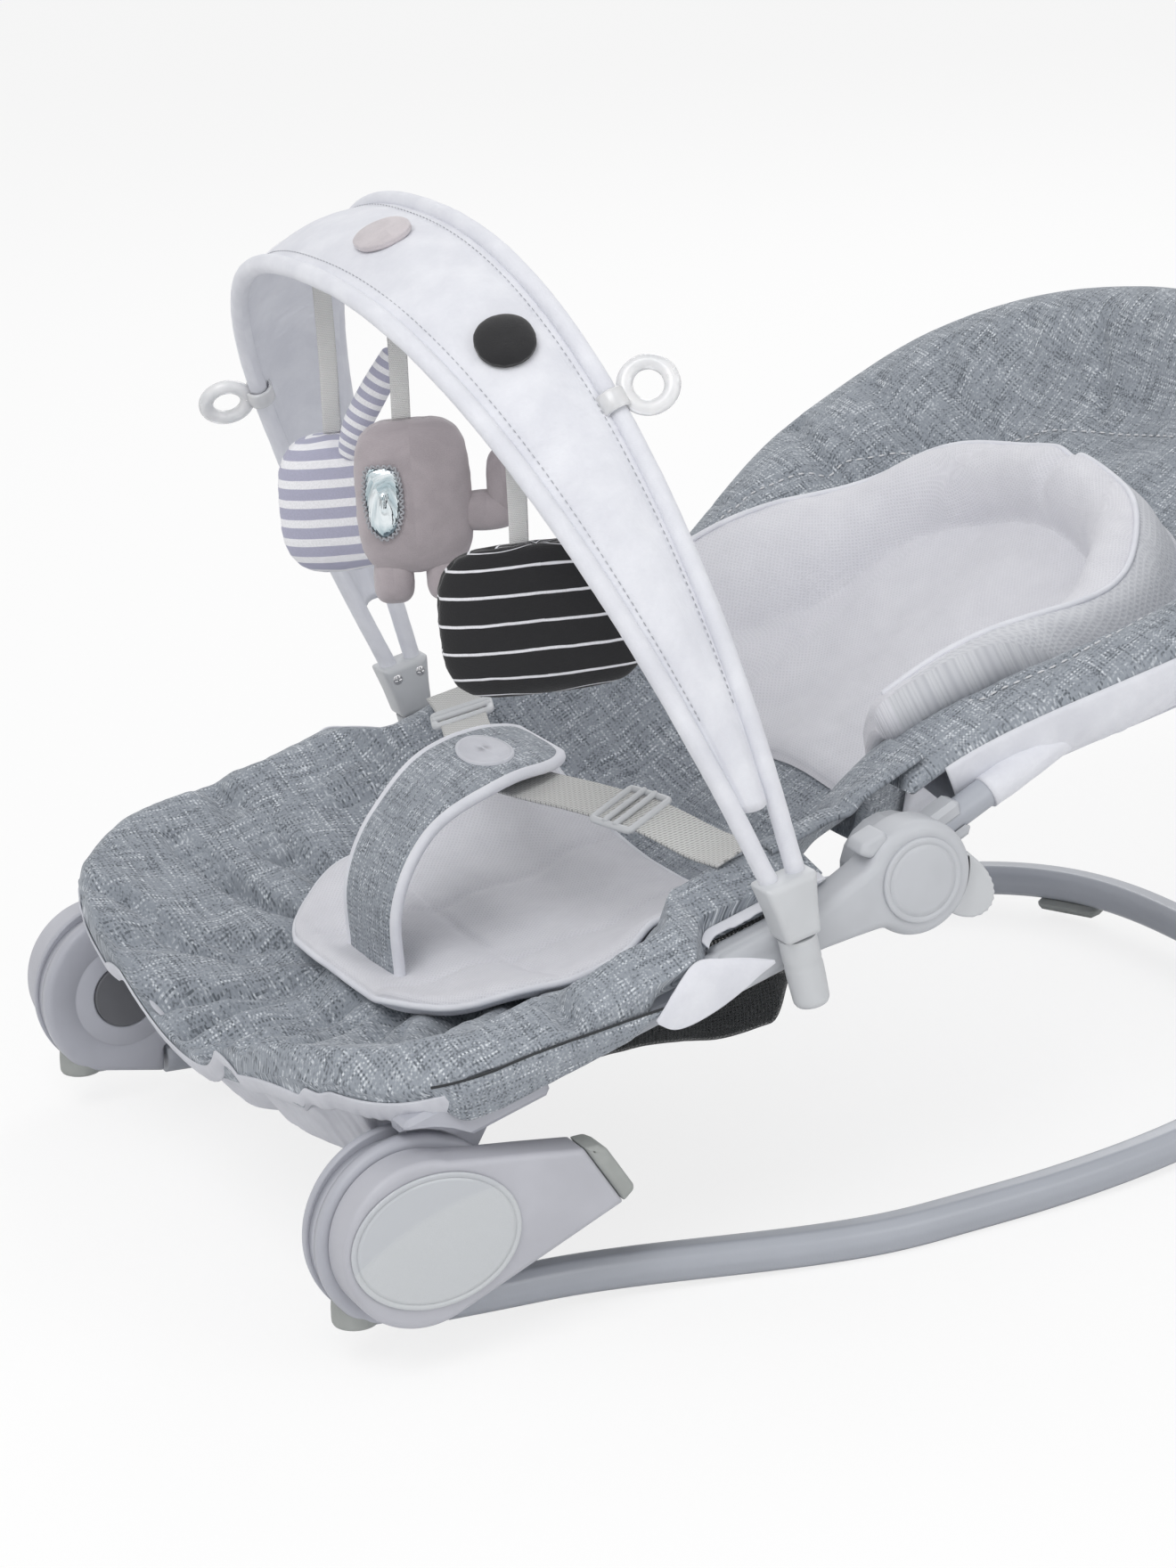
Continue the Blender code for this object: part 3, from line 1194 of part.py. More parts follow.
def hoop_point(angle, length, lean, offset, inset=0.0, lift=0.0):
    """A point of a hoop; the angle runs from 0 at its left foot to pi at its right foot."""
    spread = abs(math.cos(angle)) ** (2 / HOOP_POWER)
    x = math.copysign(spread, math.cos(angle)) * (HOOP_HALF_WIDTH - inset)
    rise = math.sin(angle) ** (2 / HOOP_POWER) * (length - inset)
    tilt = math.radians(lean)
    base = POST_LENGTH_UP + CLAMP_HEIGHT
    return Vector((x, offset - rise * math.sin(tilt), base + rise * math.cos(tilt) + lift))


def hoop_angles(steps):
    """Angles spaced so that the hoop's points lie about evenly along it."""
    shares = np.linspace(0, 1, steps + 1)
    return [math.pi * (share + 0.055 * math.sin(4 * math.pi * share)) for share in shares]


FRONT_HOOP = (FRONT_HOOP_LENGTH, FRONT_HOOP_LEAN, FRONT_HOOP_OFFSET)
REAR_HOOP = (REAR_HOOP_LENGTH, REAR_HOOP_LEAN, REAR_HOOP_OFFSET)


def hoop_run(hoop):
    """A hoop's middle line, with a straight foot let into each clamp."""
    length, lean, offset = hoop
    run = [hoop_point(angle, length, lean, offset) for angle in hoop_angles(22)]
    tilt = math.radians(lean)
    foot = Vector((0, math.sin(tilt), -math.cos(tilt))) * (HOOP_SOCKET - FIT_GAP)
    return [run[0] + foot] + run + [run[-1] + foot]


def band_point(across, along, side_gap=HOOP_RADIUS + BAND_GAP):
    """A point of the cloth between the hoops; across runs -1 front to 1 rear, along left to right."""
    share = (along + 1) / 2
    angle = 0.10 + (math.pi - 0.20) * share
    angle = math.pi * (angle / math.pi + 0.055 * math.sin(4 * angle))
    front, rear = hoop_point(angle, *FRONT_HOOP), hoop_point(angle, *REAR_HOOP)
    span = rear - front
    edge = min(side_gap / span.length, 0.45)
    mix = edge + (1 - 2 * edge) * (across + 1) / 2
    outward = Vector((math.cos(angle), 0, math.sin(angle)))
    return front + span * mix + outward * BAND_CROWN * (1 - across**2)


def make_toy_bar(bar):
    """The two hoops in their sleeves, the cloth band with its discs, and the clamps."""
    piece("hoop_front", pipe(hoop_run(FRONT_HOOP), HOOP_RADIUS), "pale_cloth", bar)
    piece("hoop_rear", pipe(hoop_run(REAR_HOOP), HOOP_RADIUS), "pale_cloth", bar)
    discs = []
    for x in (STRIPE_TOY_X, MAUVE_TOY_X, BLACK_TOY_X):
        centre, outward = band_frame(x)
        turn = Vector((0, 0, 1)).rotation_difference(outward).to_matrix().to_4x4()
        disc_shape = stuffed((0, 0, 0), (DISC_RADIUS, DISC_RADIUS, DISC_THICKNESS / 2), 2.2, 10, 4)
        lift = DISC_THICKNESS / 2 - 1.5 * BAND_THICKNESS
        discs.append(moved(disc_shape, Matrix.Translation(centre + outward * lift) @ turn))
    piece("arch_band", fuse(sheet(3, 26, band_point, BAND_THICKNESS), *discs), "pale_cloth", bar)

    low, high = POST_LENGTH_UP + FIT_GAP, POST_LENGTH_UP + CLAMP_HEIGHT
    middle_x = HOOP_HALF_WIDTH + 0.0015
    outline = [(-POST_RADIUS, low), (POST_RADIUS, low)]
    outline += [(CLAMP_TOP_HALF, high), (-CLAMP_TOP_HALF, high)]
    clamp_ends = middle_x - CLAMP_THICKNESS / 2, middle_x + CLAMP_THICKNESS / 2
    clamp = plate(outline, *clamp_ends, rounding=0.003)
    bore_ends = (POST_X, 0, low - 0.01), (POST_X, 0, POST_LENGTH_UP + SPIGOT_LENGTH + FIT_GAP)
    spigot_bore = rod(*bore_ends, SPIGOT_RADIUS + FIT_GAP)
    feet = []
    for hoop in (FRONT_HOOP, REAR_HOOP):
        run = hoop_run(hoop)
        down = (run[0] - run[1]).normalized()
        feet.append(rod(run[1] - down * 0.006, run[0] + down * FIT_GAP, HOOP_RADIUS + FIT_GAP, 12))
    both_sides("hoop_clamp", cut(clamp, spigot_bore, *feet), "light_grey", bar)


def band_frame(x):
    """The band's middle point over x and its outward normal."""
    along = min(np.linspace(-1, 1, 401), key=lambda share: abs(band_point(0.0, share).x - x))
    step = 0.01
    run = band_point(0.0, along + step) - band_point(0.0, along - step)
    side = band_point(0.2, along) - band_point(-0.2, along)
    outward = run.cross(side).normalized()
    return band_point(0.0, along), outward if outward.z > 0 else -outward


def ring_place(hoop, angle):
    """A place on a hoop and the hoop's direction there."""
    here = hoop_point(angle, *hoop)
    run = (hoop_point(angle + 0.02, *hoop) - hoop_point(angle - 0.02, *hoop)).normalized()
    return here, run


def make_ring(name, bar, hoop, angle, outward):
    """A ring on a short collar that turns on a hoop's sleeve; outward is the way it stands out."""
    here, run = ring_place(hoop, angle)
    outward = Vector(outward)
    outward = (outward - run * outward.dot(run)).normalized()
    face = run.cross(outward)
    frame = Matrix((run, outward, face)).transposed().to_4x4()
    bore = HOOP_RADIUS + 2 * TURN_GAP
    collar_radius = bore + RING_COLLAR_WALL
    bpy.ops.mesh.primitive_torus_add(
        major_radius=RING_RADIUS, minor_radius=RING_SECTION, major_segments=16, minor_segments=6
    )
    maker = bpy.context.object
    ring = maker.data.copy()
    bpy.data.objects.remove(maker)
    ring = moved(ring, Matrix.Translation((0, collar_radius + RING_RADIUS - 0.0005, 0)))
    half = RING_COLLAR_LENGTH / 2
    collar = rod((-half, 0, 0), (half, 0, 0), collar_radius, 16)
    hole = rod((-half * 2, 0, 0), (half * 2, 0, 0), bore, 16)
    shape = cut(fuse(collar, ring), hole)
    holder = pivot(f"{name}_pivot", here, parent=bar)
    return piece(name, moved(shape, frame), "clear_plastic", holder)


def ribbon_outline(drop):
    """A ribbon seen on its broad side: gathered to a point in the band's seam, then full width."""
    half, pinch = RIBBON_WIDTH / 2, RIBBON_WIDTH / 8
    left = [(-pinch, 0.0), (-half, -RIBBON_PINCH_LENGTH), (-half, -drop)]
    return left + [(-y, z) for y, z in reversed(left)]


def make_toys(bar):
    """Three stuffed toys on ribbons from the band, each swinging where its ribbon meets the band."""
    tilt = Matrix.Rotation(-math.radians(POST_TILT), 4, "X")
    toys = {}
    for name, x, drop, turn in (
        ("stripe", STRIPE_TOY_X, STRIPE_RIBBON, -22.0),
        ("mauve", MAUVE_TOY_X, MAUVE_RIBBON, -24.0),
        ("black", BLACK_TOY_X, BLACK_RIBBON, -18.0),
    ):
        centre, outward = band_frame(x)
        under = centre - outward * (BAND_THICKNESS / 2 + RIBBON_GAP)
        holder = pivot(f"{name}_toy_pivot", under, parent=bar)
        upright = pivot(f"{name}_toy_upright", (0, 0, 0), tilt=REST_LEAN - POST_TILT, parent=holder)
        hang = pivot(f"{name}_toy_hang", (0, 0, 0), turn=turn, parent=upright)
        ribbon = plate(ribbon_outline(drop), -RIBBON_THICKNESS / 2, RIBBON_THICKNESS / 2)
        piece(f"{name}_ribbon", ribbon, "webbing", hang)
        toys[name] = (hang, -drop - CLOTH_GAP)

    hang, top = toys["stripe"]
    half = (TOY_DEPTH / 2, STRIPE_TOY_HALF_WIDTH, STRIPE_TOY_HALF_HEIGHT)
    body = stuffed((0, 0, top - half[2]), half, 3.0)
    piece("stripe_toy_body", body, "stripe_cloth", hang)
    tail_route = [(0.013, 0.012, top - 0.006), (0.016, 0.020, top + 0.016), (0.018, 0.040, top + 0.048)]
    tail = pipe(smooth_run(tail_route, 3), TAIL_RADIUS)
    piece("stripe_toy_tail", cut(tail, grown(body)), "stripe_cloth", hang)

    hang, top = toys["mauve"]
    half = (TOY_DEPTH / 2, MAUVE_TOY_HALF_WIDTH, MAUVE_TOY_HALF_HEIGHT)
    body = stuffed((0, 0.004, top - half[2]), half, 3.4)
    piece("mauve_toy_body", body, "mauve_cloth", hang)
    arm_y, arm_z = MAUVE_TOY_HALF_WIDTH + 0.012, top - MAUVE_TOY_HALF_HEIGHT - 0.012
    arm = stuffed((0, arm_y, arm_z), (0.012, 0.018, 0.012), 3.0, 10, 6)
    hand = stuffed((0, arm_y + 0.010, arm_z + 0.013), (0.011, 0.009, 0.023), 3.0, 10, 6)
    piece("mauve_toy_arm", cut(fuse(arm, hand), grown(body)), "mauve_cloth", hang)
    for side, y in (("front", -0.011), ("rear", 0.020)):
        foot_z = top - 2 * MAUVE_TOY_HALF_HEIGHT - 0.004
        foot = stuffed((0, y, foot_z), (0.012, 0.012, 0.014), 3.0, 10, 6)
        piece(f"mauve_toy_foot_{side}", cut(foot, grown(body)), "mauve_cloth", hang)

    hang, top = toys["black"]
    half = (TOY_DEPTH / 2 - 0.003, BLACK_TOY_HALF_WIDTH, BLACK_TOY_HALF_HEIGHT)
    piece("black_toy", stuffed((0, 0.010, top - half[2]), half, 4.0, 16, 10), "black_cloth", hang)


def grown(mesh, by=CLOTH_GAP):
    """A copy of a closed shape with its skin moved out a little."""
    bm = bmesh.new()
    bm.from_mesh(mesh)
    bm.normal_update()
    places = [vert.co + vert.normal * by for vert in bm.verts]
    for vert, place in zip(bm.verts, places):
        vert.co = place
    return taken(bm)


def make_bouncer():
    hub = pivot("hub_axis", (0, HUB_Y, HUB_HEIGHT), tilt=-REST_LEAN)
    seat = pivot("seat_line", (0, 0, SEAT_LINE_RISE), tilt=SEAT_SLOPE, parent=hub)
    recline = pivot("recline_axis", (0, RECLINE_Y, RECLINE_Z), parent=hub)
    back = pivot("back_plane", (0, 0, 0), tilt=BACK_ANGLE, parent=recline)
    bar = pivot("bar_axis", (0, *seat_line_point(POST_AT)), tilt=POST_TILT, parent=hub)

    make_base(hub)
    make_buttons(hub)
    make_fins(hub)
    make_seat_frame(hub, seat)
    make_seat_pads(seat)
    make_flaps(seat)
    make_harness(seat)
    make_backrest(back)
    make_levers(recline)
    make_posts(bar)
    make_toy_bar(bar)
    make_ring("ring_near", bar, REAR_HOOP, NEAR_RING_ANGLE, (0.2, 1.0, 0.25))
    make_ring("ring_far", bar, FRONT_HOOP, math.pi - FAR_RING_ANGLE, (-0.3, -1.0, 0.1))
    make_toys(bar)


clear_scene()
PARTS = new_collection("baby_bouncer")
TOOLS = new_collection("cutters")
make_bouncer()
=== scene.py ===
import math

import bpy
import numpy as np
from mathutils import Matrix, Vector


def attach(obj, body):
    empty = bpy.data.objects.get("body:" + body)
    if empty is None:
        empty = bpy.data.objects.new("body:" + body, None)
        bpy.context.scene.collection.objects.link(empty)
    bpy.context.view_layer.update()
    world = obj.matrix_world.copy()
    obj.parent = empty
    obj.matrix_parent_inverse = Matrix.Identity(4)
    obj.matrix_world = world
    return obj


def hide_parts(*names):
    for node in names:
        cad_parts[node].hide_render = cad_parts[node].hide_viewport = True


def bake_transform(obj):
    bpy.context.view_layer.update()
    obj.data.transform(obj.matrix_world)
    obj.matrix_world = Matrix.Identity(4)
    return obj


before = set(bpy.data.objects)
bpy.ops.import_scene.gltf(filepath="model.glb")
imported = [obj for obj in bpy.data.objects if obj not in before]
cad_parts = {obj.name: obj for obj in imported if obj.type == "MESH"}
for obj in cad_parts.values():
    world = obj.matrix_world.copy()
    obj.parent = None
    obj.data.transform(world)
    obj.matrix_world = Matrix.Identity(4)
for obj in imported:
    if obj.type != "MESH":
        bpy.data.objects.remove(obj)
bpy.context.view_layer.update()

# X runs across the bouncer, +X on the camera's side; Y from the feet to the head; lengths in metres, angles in
# degrees.
pi = math.pi


# v * v * (3 - 2 v) between 0 and 1
def smoothStep(value):
    value = np.clip(value, 0.0, 1.0)
    return value * value * (3 - 2 * value)


# the height of the curve |x|^p + |y|^p = 1 at x = value
def powerArc(value, power):
    return (1 - np.clip(np.abs(value), 0, 1) ** power) ** (1 / power)


# first at share 0, second at share 1
def mix(first, second, share):
    return first + (second - first) * share


# a quarter circle's height over its base: 0 at 0, 1 at 1, upright at the start
def roundUp(share):
    return np.sqrt(1 - (1 - share) ** 2)


# |value|^power with the sign of value
def signedPower(value, power):
    return np.sign(value) * np.abs(value) ** power


def fullTurn(count):
    return np.linspace(0, 2 * pi, count, endpoint=False)


# a grid of two even spreads, each (first, last, count)
def spread(across, along):
    return np.meshgrid(np.linspace(*across), np.linspace(*along))


def unit(vectors):
    return vectors / np.linalg.norm(vectors, axis=-1, keepdims=True)


# how far each point of a run lies along it
def distances(run):
    return np.concatenate(([0], np.cumsum(np.linalg.norm(np.diff(run, axis=0), axis=1))))


# the mean length of a grid along its rows and along its columns
def gridSize(surface):
    return [float(np.linalg.norm(np.diff(surface, axis=k), axis=2).sum(k).mean()) for k in (1, 0)]


# reach from start to end, spaced for an even run round the bow |x|^p + |y|^p = 1
def bowReach(start, end, power, first, count):
    return mix(start, end, np.sin(np.linspace(first, pi / 2, count)) ** (2 / power))


# exp(-(value / width)^2)
def bell(value, width):
    return np.exp(-((value / width) ** 2))


# smooth noise on a plane: a seeded lattice of numbers from -1 to 1, blended between its corners, in octaves
def softNoise(u, v, cell, seed=0, octaves=3):
    total, gain = 0.0, 1.0
    for octave in range(octaves):
        lattice = np.random.default_rng(seed + octave).uniform(-1, 1, (64, 64))
        a, b = np.asarray(u) / cell * 2**octave, np.asarray(v) / cell * 2**octave
        i, j = np.floor(a).astype(int), np.floor(b).astype(int)
        s, t = smoothStep(a - i), smoothStep(b - j)
        near = lattice[i % 64, j % 64] * (1 - t) + lattice[i % 64, (j + 1) % 64] * t
        far = lattice[(i + 1) % 64, j % 64] * (1 - t) + lattice[(i + 1) % 64, (j + 1) % 64] * t
        total = total + gain * (near * (1 - s) + far * s)
        gain *= 0.5
    return total / 1.75


# creases that run out from a centre: each sinks by its depth times exp(-(distance from its ray / width)^2)
def rayCreases(x, y, centre, creases):
    dx, dy = x - centre[0], y - centre[1]
    sunk = np.zeros_like(dx)
    for angle, start, end, depth, width in creases:
        c, s = math.cos(math.radians(angle)), math.sin(math.radians(angle))
        along, off = dx * c + dy * s, -dx * s + dy * c
        off = off + 0.006 * np.sin(along * 38 + angle)
        reach = smoothStep((along - start) / 0.03) * (1 - smoothStep((along - end) / 0.02))
        sunk -= depth * reach * bell(off, width)
    return sunk


class Place:
    # an origin with a tilt about X and then a turn about Z; at() takes local arrays to the world
    def __init__(self, origin, turn):
        self.origin, self.turn = np.asarray(origin, float), turn

    def at(self, x, y, z):
        local = np.stack(np.broadcast_arrays(np.asarray(x, float), y, z), -1)
        return self.of(local)

    def of(self, points):
        return points @ self.turn.T + self.origin

    def inside(self, origin, tilt=0.0, spin=0.0):
        a, b = math.radians(tilt), math.radians(spin)
        about = np.array(((1, 0, 0), (0, math.cos(a), -math.sin(a)), (0, math.sin(a), math.cos(a))))
        upright = np.array(((math.cos(b), -math.sin(b), 0), (math.sin(b), math.cos(b), 0), (0, 0, 1)))
        return Place(self.origin + self.turn @ np.asarray(origin, float), self.turn @ about @ upright)


bouncer = {
    "lean": 2.105959, "hubY": -0.358957, "hubHeight": 0.074836,
    "seatRise": 0.0587, "seatSlope": 16.43, "reclineAt": 0.3367, "backAngle": 26.5,
    "postAt": 0.2466, "postTilt": 12.6,
}


# a point of the seat line from the hub axis: rearward along the slope, off it upwards
def seatLine(along, off=0.0):
    slope = math.radians(bouncer["seatSlope"])
    rise = bouncer["seatRise"] + along * math.sin(slope) + off * math.cos(slope)
    return along * math.cos(slope) - off * math.sin(slope), rise


world = Place((0, 0, 0), np.eye(3))
hub = world.inside((0, bouncer["hubY"], bouncer["hubHeight"]), -bouncer["lean"])
seat = hub.inside((0, 0, bouncer["seatRise"]), bouncer["seatSlope"])
recline = hub.inside((0, *seatLine(bouncer["reclineAt"])))
back = hub.inside((0, *seatLine(bouncer["reclineAt"])), bouncer["backAngle"])
bar = hub.inside((0, *seatLine(bouncer["postAt"])), bouncer["postTilt"])


class Shape:
    # points, four-sided faces and flat caps gathered from whole arrays, with a cloth place for every face
    # corner
    def __init__(self):
        self.points, self.faces, self.places, self.count = [], [], [], 0

    # a grid of points (rows, columns, 3); wrap joins the last column to the first; places run in metres along
    # the skin
    def grid(self, surface, wrap=False, places=None):
        rows, columns = surface.shape[:2]
        index = np.arange(rows * columns).reshape(rows, columns) + self.count
        shown = surface
        if wrap:
            index = np.hstack((index, index[:, :1]))
            shown = np.concatenate((surface, surface[:, :1]), 1)
        if places is None:
            places = clothPlaces(shown)
        corners = lambda grid: np.stack((grid[:-1, :-1], grid[:-1, 1:], grid[1:, 1:], grid[1:, :-1]), 2)
        self.points.append(surface.reshape(-1, 3))
        self.faces.append(corners(index).reshape(-1, 4))
        self.places.append(corners(places).reshape(-1, 4, 2))
        self.count += rows * columns
        return index

    # one flat face over a ring of points
    def cap(self, ring):
        points = np.concatenate(self.points)[ring]
        flat = points[:, 1:] if np.ptp(points[:, 0]) < np.ptp(points[:, 2]) else points[:, :2]
        self.faces.append(np.asarray(ring)[None, :])
        self.places.append(flat[None, :, :])

    # turns a closed shape's faces outwards: the sum of its corners' triple products is six times its volume
    def outward(self):
        points, total = np.concatenate(self.points), 0.0
        middle = points.mean(0)
        for faces in self.faces:
            corners = points[faces] - middle
            for k in range(1, faces.shape[1] - 1):
                total += np.einsum("ij,ij->i", corners[:, 0], np.cross(corners[:, k], corners[:, k + 1])).sum()
        if total < 0:
            self.faces = [faces[:, ::-1] for faces in self.faces]
            self.places = [places[:, ::-1] for places in self.places]
        return self

    def add(self, other):
        self.points += other.points
        self.faces += [faces + self.count for faces in other.faces]
        self.places += other.places
        self.count += other.count
        return self

    def mirrored(self):
        other = Shape()
        other.points = [points * (-1, 1, 1) for points in self.points]
        other.faces = [faces[:, ::-1] for faces in self.faces]
        other.places = [places[:, ::-1] * (-1, 1) for places in self.places]
        other.count = self.count
        return other


# how far each point lies along its row and its column of the skin, from the middle ones
def clothPlaces(surface):
    return np.stack([fromMiddle(np.linalg.norm(np.diff(surface, axis=k), axis=2), k) for k in (1, 0)], -1)


# running sums of steps, counted from the middle one
def fromMiddle(steps, axis):
    lead = np.zeros_like(np.take(steps, [0], axis))
    along = np.concatenate((lead, np.cumsum(steps, axis)), axis)
    return along - np.take(along, [along.shape[axis] // 2], axis)


# cloth places of a pad laid out straight: row and column lengths that leave the other way out
def padPlaces(x, run, high):
    spots = []
    for way, axis in ((x, 1), (run, 0)):
        ahead, rise = np.diff(way, axis=axis), np.diff(high, axis=axis)
        spots.append(fromMiddle(np.hypot(ahead, rise) * np.sign(ahead + 1e-12), axis))
    return np.stack(spots, -1)


# an object of a shape, riding on a body, standing for a CAD node, with its finish
def addPiece(name, shape, finish, body=None, stands=None):
    points = np.concatenate(shape.points)
    mesh = bpy.data.meshes.new(name)
    sizes = np.concatenate([np.full(len(faces), faces.shape[1]) for faces in shape.faces])
    corners = np.concatenate([faces.ravel() for faces in shape.faces])
    mesh.vertices.add(len(points))
    mesh.vertices.foreach_set("co", points.astype(np.float32).ravel())
    mesh.loops.add(len(corners))
    mesh.loops.foreach_set("vertex_index", corners.astype(np.int32))
    mesh.polygons.add(len(sizes))
    starts = np.concatenate(([0], np.cumsum(sizes)[:-1]))
    mesh.polygons.foreach_set("loop_start", starts.astype(np.int32))
    mesh.polygons.foreach_set("use_smooth", sizes == 4)  # flat caps stay flat
    layer = mesh.uv_layers.new(name="cloth")
    places = np.concatenate([part.reshape(-1, 2) for part in shape.places])
    layer.data.foreach_set("uv", places.astype(np.float32).ravel())
    mesh.update(calc_edges=True)
    mesh.validate()
    mesh.materials.append(finishes[finish])
    piece = bpy.data.objects.new(name, mesh)
    bpy.context.scene.collection.objects.link(piece)
    if body:
        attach(piece, body)
    if stands:
        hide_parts(stands)
    return piece


# a left piece and its mirror image; {side} in the words becomes left and right
def addPair(name, shape, finish, body, stands=None):
    made = []
    for side, form in (("left", shape), ("right", shape.mirrored())):
        replaced = stands and stands.format(side=side)
        made.append(
            addPiece(name + side.capitalize(), form, finish, body.format(side=side), replaced)
        )
    return made


# a closed outline through corners, softened by a running mean, as evenly spaced (y, z) points
def loopThrough(corners, count, soft=0.0):
    corners = np.asarray(corners, float)
    closed = np.vstack((corners, corners[:1]))
    at = distances(closed)
    total = 2400
    dense = np.linspace(0, at[-1], total, endpoint=False)
    fine = np.stack([np.interp(dense, at, closed[:, k]) for k in range(2)], 1)
    if soft:
        half = int(3 * soft / (at[-1] / total))
        kernel = np.exp(-0.5 * (np.arange(-half, half + 1) * at[-1] / total / soft) ** 2)
        kernel /= kernel.sum()
        ring = np.concatenate((fine[-half:], fine, fine[:half]))
        fine = np.stack([np.convolve(ring[:, k], kernel, "valid") for k in range(2)], 1)
    return fine[np.linspace(0, total, count, endpoint=False).astype(int)]


# unit normals that point out of a closed outline
def outwardNormals(outline):
    along = np.roll(outline, -1, 0) - np.roll(outline, 1, 0)
    along /= np.maximum(np.linalg.norm(along, axis=1, keepdims=True), 1e-9)
    y, z = outline.T
    turning = np.sign(np.sum(y * np.roll(z, -1) - np.roll(y, -1) * z))
    return turning * np.stack((along[:, 1], -along[:, 0]), 1)


# the outline moved inwards along its own normals; a long way goes in short steps, evened out so that no corner
# folds
def drawnIn(outline, by):
    steps = max(1, int(abs(by) / 0.0004))
    for _ in range(steps):
        outline = outline - outwardNormals(outline) * by / steps
        if steps > 1:
            outline = (np.roll(outline, 1, 0) + 2 * outline + np.roll(outline, -1, 0)) / 4
            outline = evenly(np.vstack((outline, outline[:1])), len(outline) + 1)[:-1]
    return outline


# the outline drawn towards a point, to a share of its size
def shrunk(outline, centre, share):
    return np.asarray(centre) + (outline - np.asarray(centre)) * share


# a circle with one point towards each point of an outline
def roundFor(outline, centre, radius):
    off = outline - np.asarray(centre)
    return np.asarray(centre) + radius * off / np.linalg.norm(off, axis=1, keepdims=True)


# rings of points joined to a solid, capped flat at both ends; turn -1 lists the caps the other way round
def capped(rings, turn=1):
    shape = Shape()
    index = shape.grid(np.stack(rings), wrap=True)
    shape.cap(index[0, :-1][::-turn])
    shape.cap(index[-1, :-1][::turn])
    return shape.outward()


# a solid through rings (x, outline) that lie across X
def loft(place, rings):
    return capped([place.at(x, *ring.T) for x, ring in rings])


# the rings of one rounded rim: a quarter circle from the flat face at x to the side
def rimRings(outline, x, radius, inwards, steps=5):
    rings = [(x, drawnIn(outline, radius + 0.0006))]
    for angle in np.linspace(0, pi / 2, steps + 1):
        rings.append(
            (x + inwards * radius * (1 - math.cos(angle)), drawnIn(outline, radius * (1 - math.sin(angle))))
        )
    return rings


# the rings of an edge that rises by high from x while its outline draws in by wide
def edgeRings(outline, x, high, wide, steps=5):
    angles = np.linspace(0.2, pi / 2, steps)
    return [(x + high * math.sin(a), drawnIn(outline, wide * (1 - math.cos(a)))) for a in angles]


# a plate between two faces across X with both rims rounded
def plate(place, outline, low, high, rim):
    return loft(place, rimRings(outline, low, rim, 1) + rimRings(outline, high, rim, -1)[::-1])


# directions along a run, by central differences
def runDirections(run):
    along = np.gradient(run, axis=0)
    return unit(along)


# a round bar along a run: circles across its direction, with domed ends
def tube(run, radius, upwards=(0, 0, 1), sides=24, dome=True, swell=None):
    along = runDirections(run)
    across = np.cross(along, np.asarray(upwards, float))
    across = unit(across)
    over = np.cross(across, along)
    radii = np.full(len(run), float(radius)) if np.isscalar(radius) else np.asarray(radius, float)
    turns = fullTurn(sides)
    ring = np.cos(turns)[None, :, None] * across[:, None] + np.sin(turns)[None, :, None] * over[:, None]
    size = radii[:, None, None] * (1 if swell is None else swell[..., None])
    body = run[:, None] + ring * size
    if dome:
        for end, sign in ((0, -1), (-1, 1)):
            rings = [
                (
                    run[end] + along[end] * sign * radii[end] * 0.6 * math.sin(a)
                )[None, :] + ring[end] * radii[end] * math.cos(a)
                for a in np.linspace(0.25, 1.45, 5)
            ]
            rings = np.stack(rings)
            body = np.concatenate((rings[::-1], body)) if end == 0 else np.concatenate((body, rings))
    return capped(body)


# a run through a few points by Catmull-Rom pieces, evenly spaced
def smoothRun(points, count):
    points = np.asarray(points, float)
    ends = np.vstack((2 * points[0] - points[1], points, 2 * points[-1] - points[-2]))
    t = np.linspace(0, 1, 24, endpoint=False)[:, None]
    parts = []
    for k in range(1, len(ends) - 2):
        a, b, c, d = ends[k - 1 : k + 3]
        parts.append(
            0.5 * (2 * b + (c - a) * t + (2 * a - 5 * b + 4 * c - d) * t**2 + (3 * b - a - 3 * c + d) * t**3)
        )
    fine = np.concatenate(parts + [points[-1:]])
    return evenly(fine, count)


def evenly(run, count):
    at = distances(run)
    return np.stack([np.interp(np.linspace(0, at[-1], count), at, run[:, k]) for k in range(run.shape[1])], 1)


# a grid's outer ring
def rimOf(grid):
    return np.concatenate((grid[0, :-1], grid[:-1, -1], grid[-1, :0:-1], grid[:0:-1, 0]))


# a closed pad between two grids that share their rim: the top and the underside meet in the middle there
def closedPad(top, under, fullness, places=None):
    middle = (top + under) / 2
    top, under = (mix(middle, face, fullness[..., None]) for face in (top, under))
    shape = Shape()
    places = clothPlaces(top) if places is None else places
    upper = shape.grid(top, places=places)
    lower = shape.grid(under, places=places)
    shape.faces[1] = shape.faces[1][:, ::-1]
    shape.places[1] = shape.places[1][:, ::-1]
    first, second = rimOf(lower), rimOf(upper)
    faces = np.stack((first, np.roll(first, -1), np.roll(second, -1), second), 1)
    flat = places.reshape(-1, 2)
    spots = flat[second - second.min()]
    shape.faces.append(faces)
    shape.places.append(np.stack((spots, np.roll(spots, -1, 0), np.roll(spots, -1, 0), spots), 1))
    return shape.outward()


# a skin of even thickness: the surface moved half of it to each side along its normals, closed round the rim
def closedSheet(surface, thickness):
    across, along = np.gradient(surface, axis=1), np.gradient(surface, axis=0)
    normal = np.cross(across, along)
    normal /= np.linalg.norm(normal, axis=2, keepdims=True) + 1e-12
    half = normal * thickness / 2
    return closedPad(surface + half, surface - half, np.ones(surface.shape[:2]))


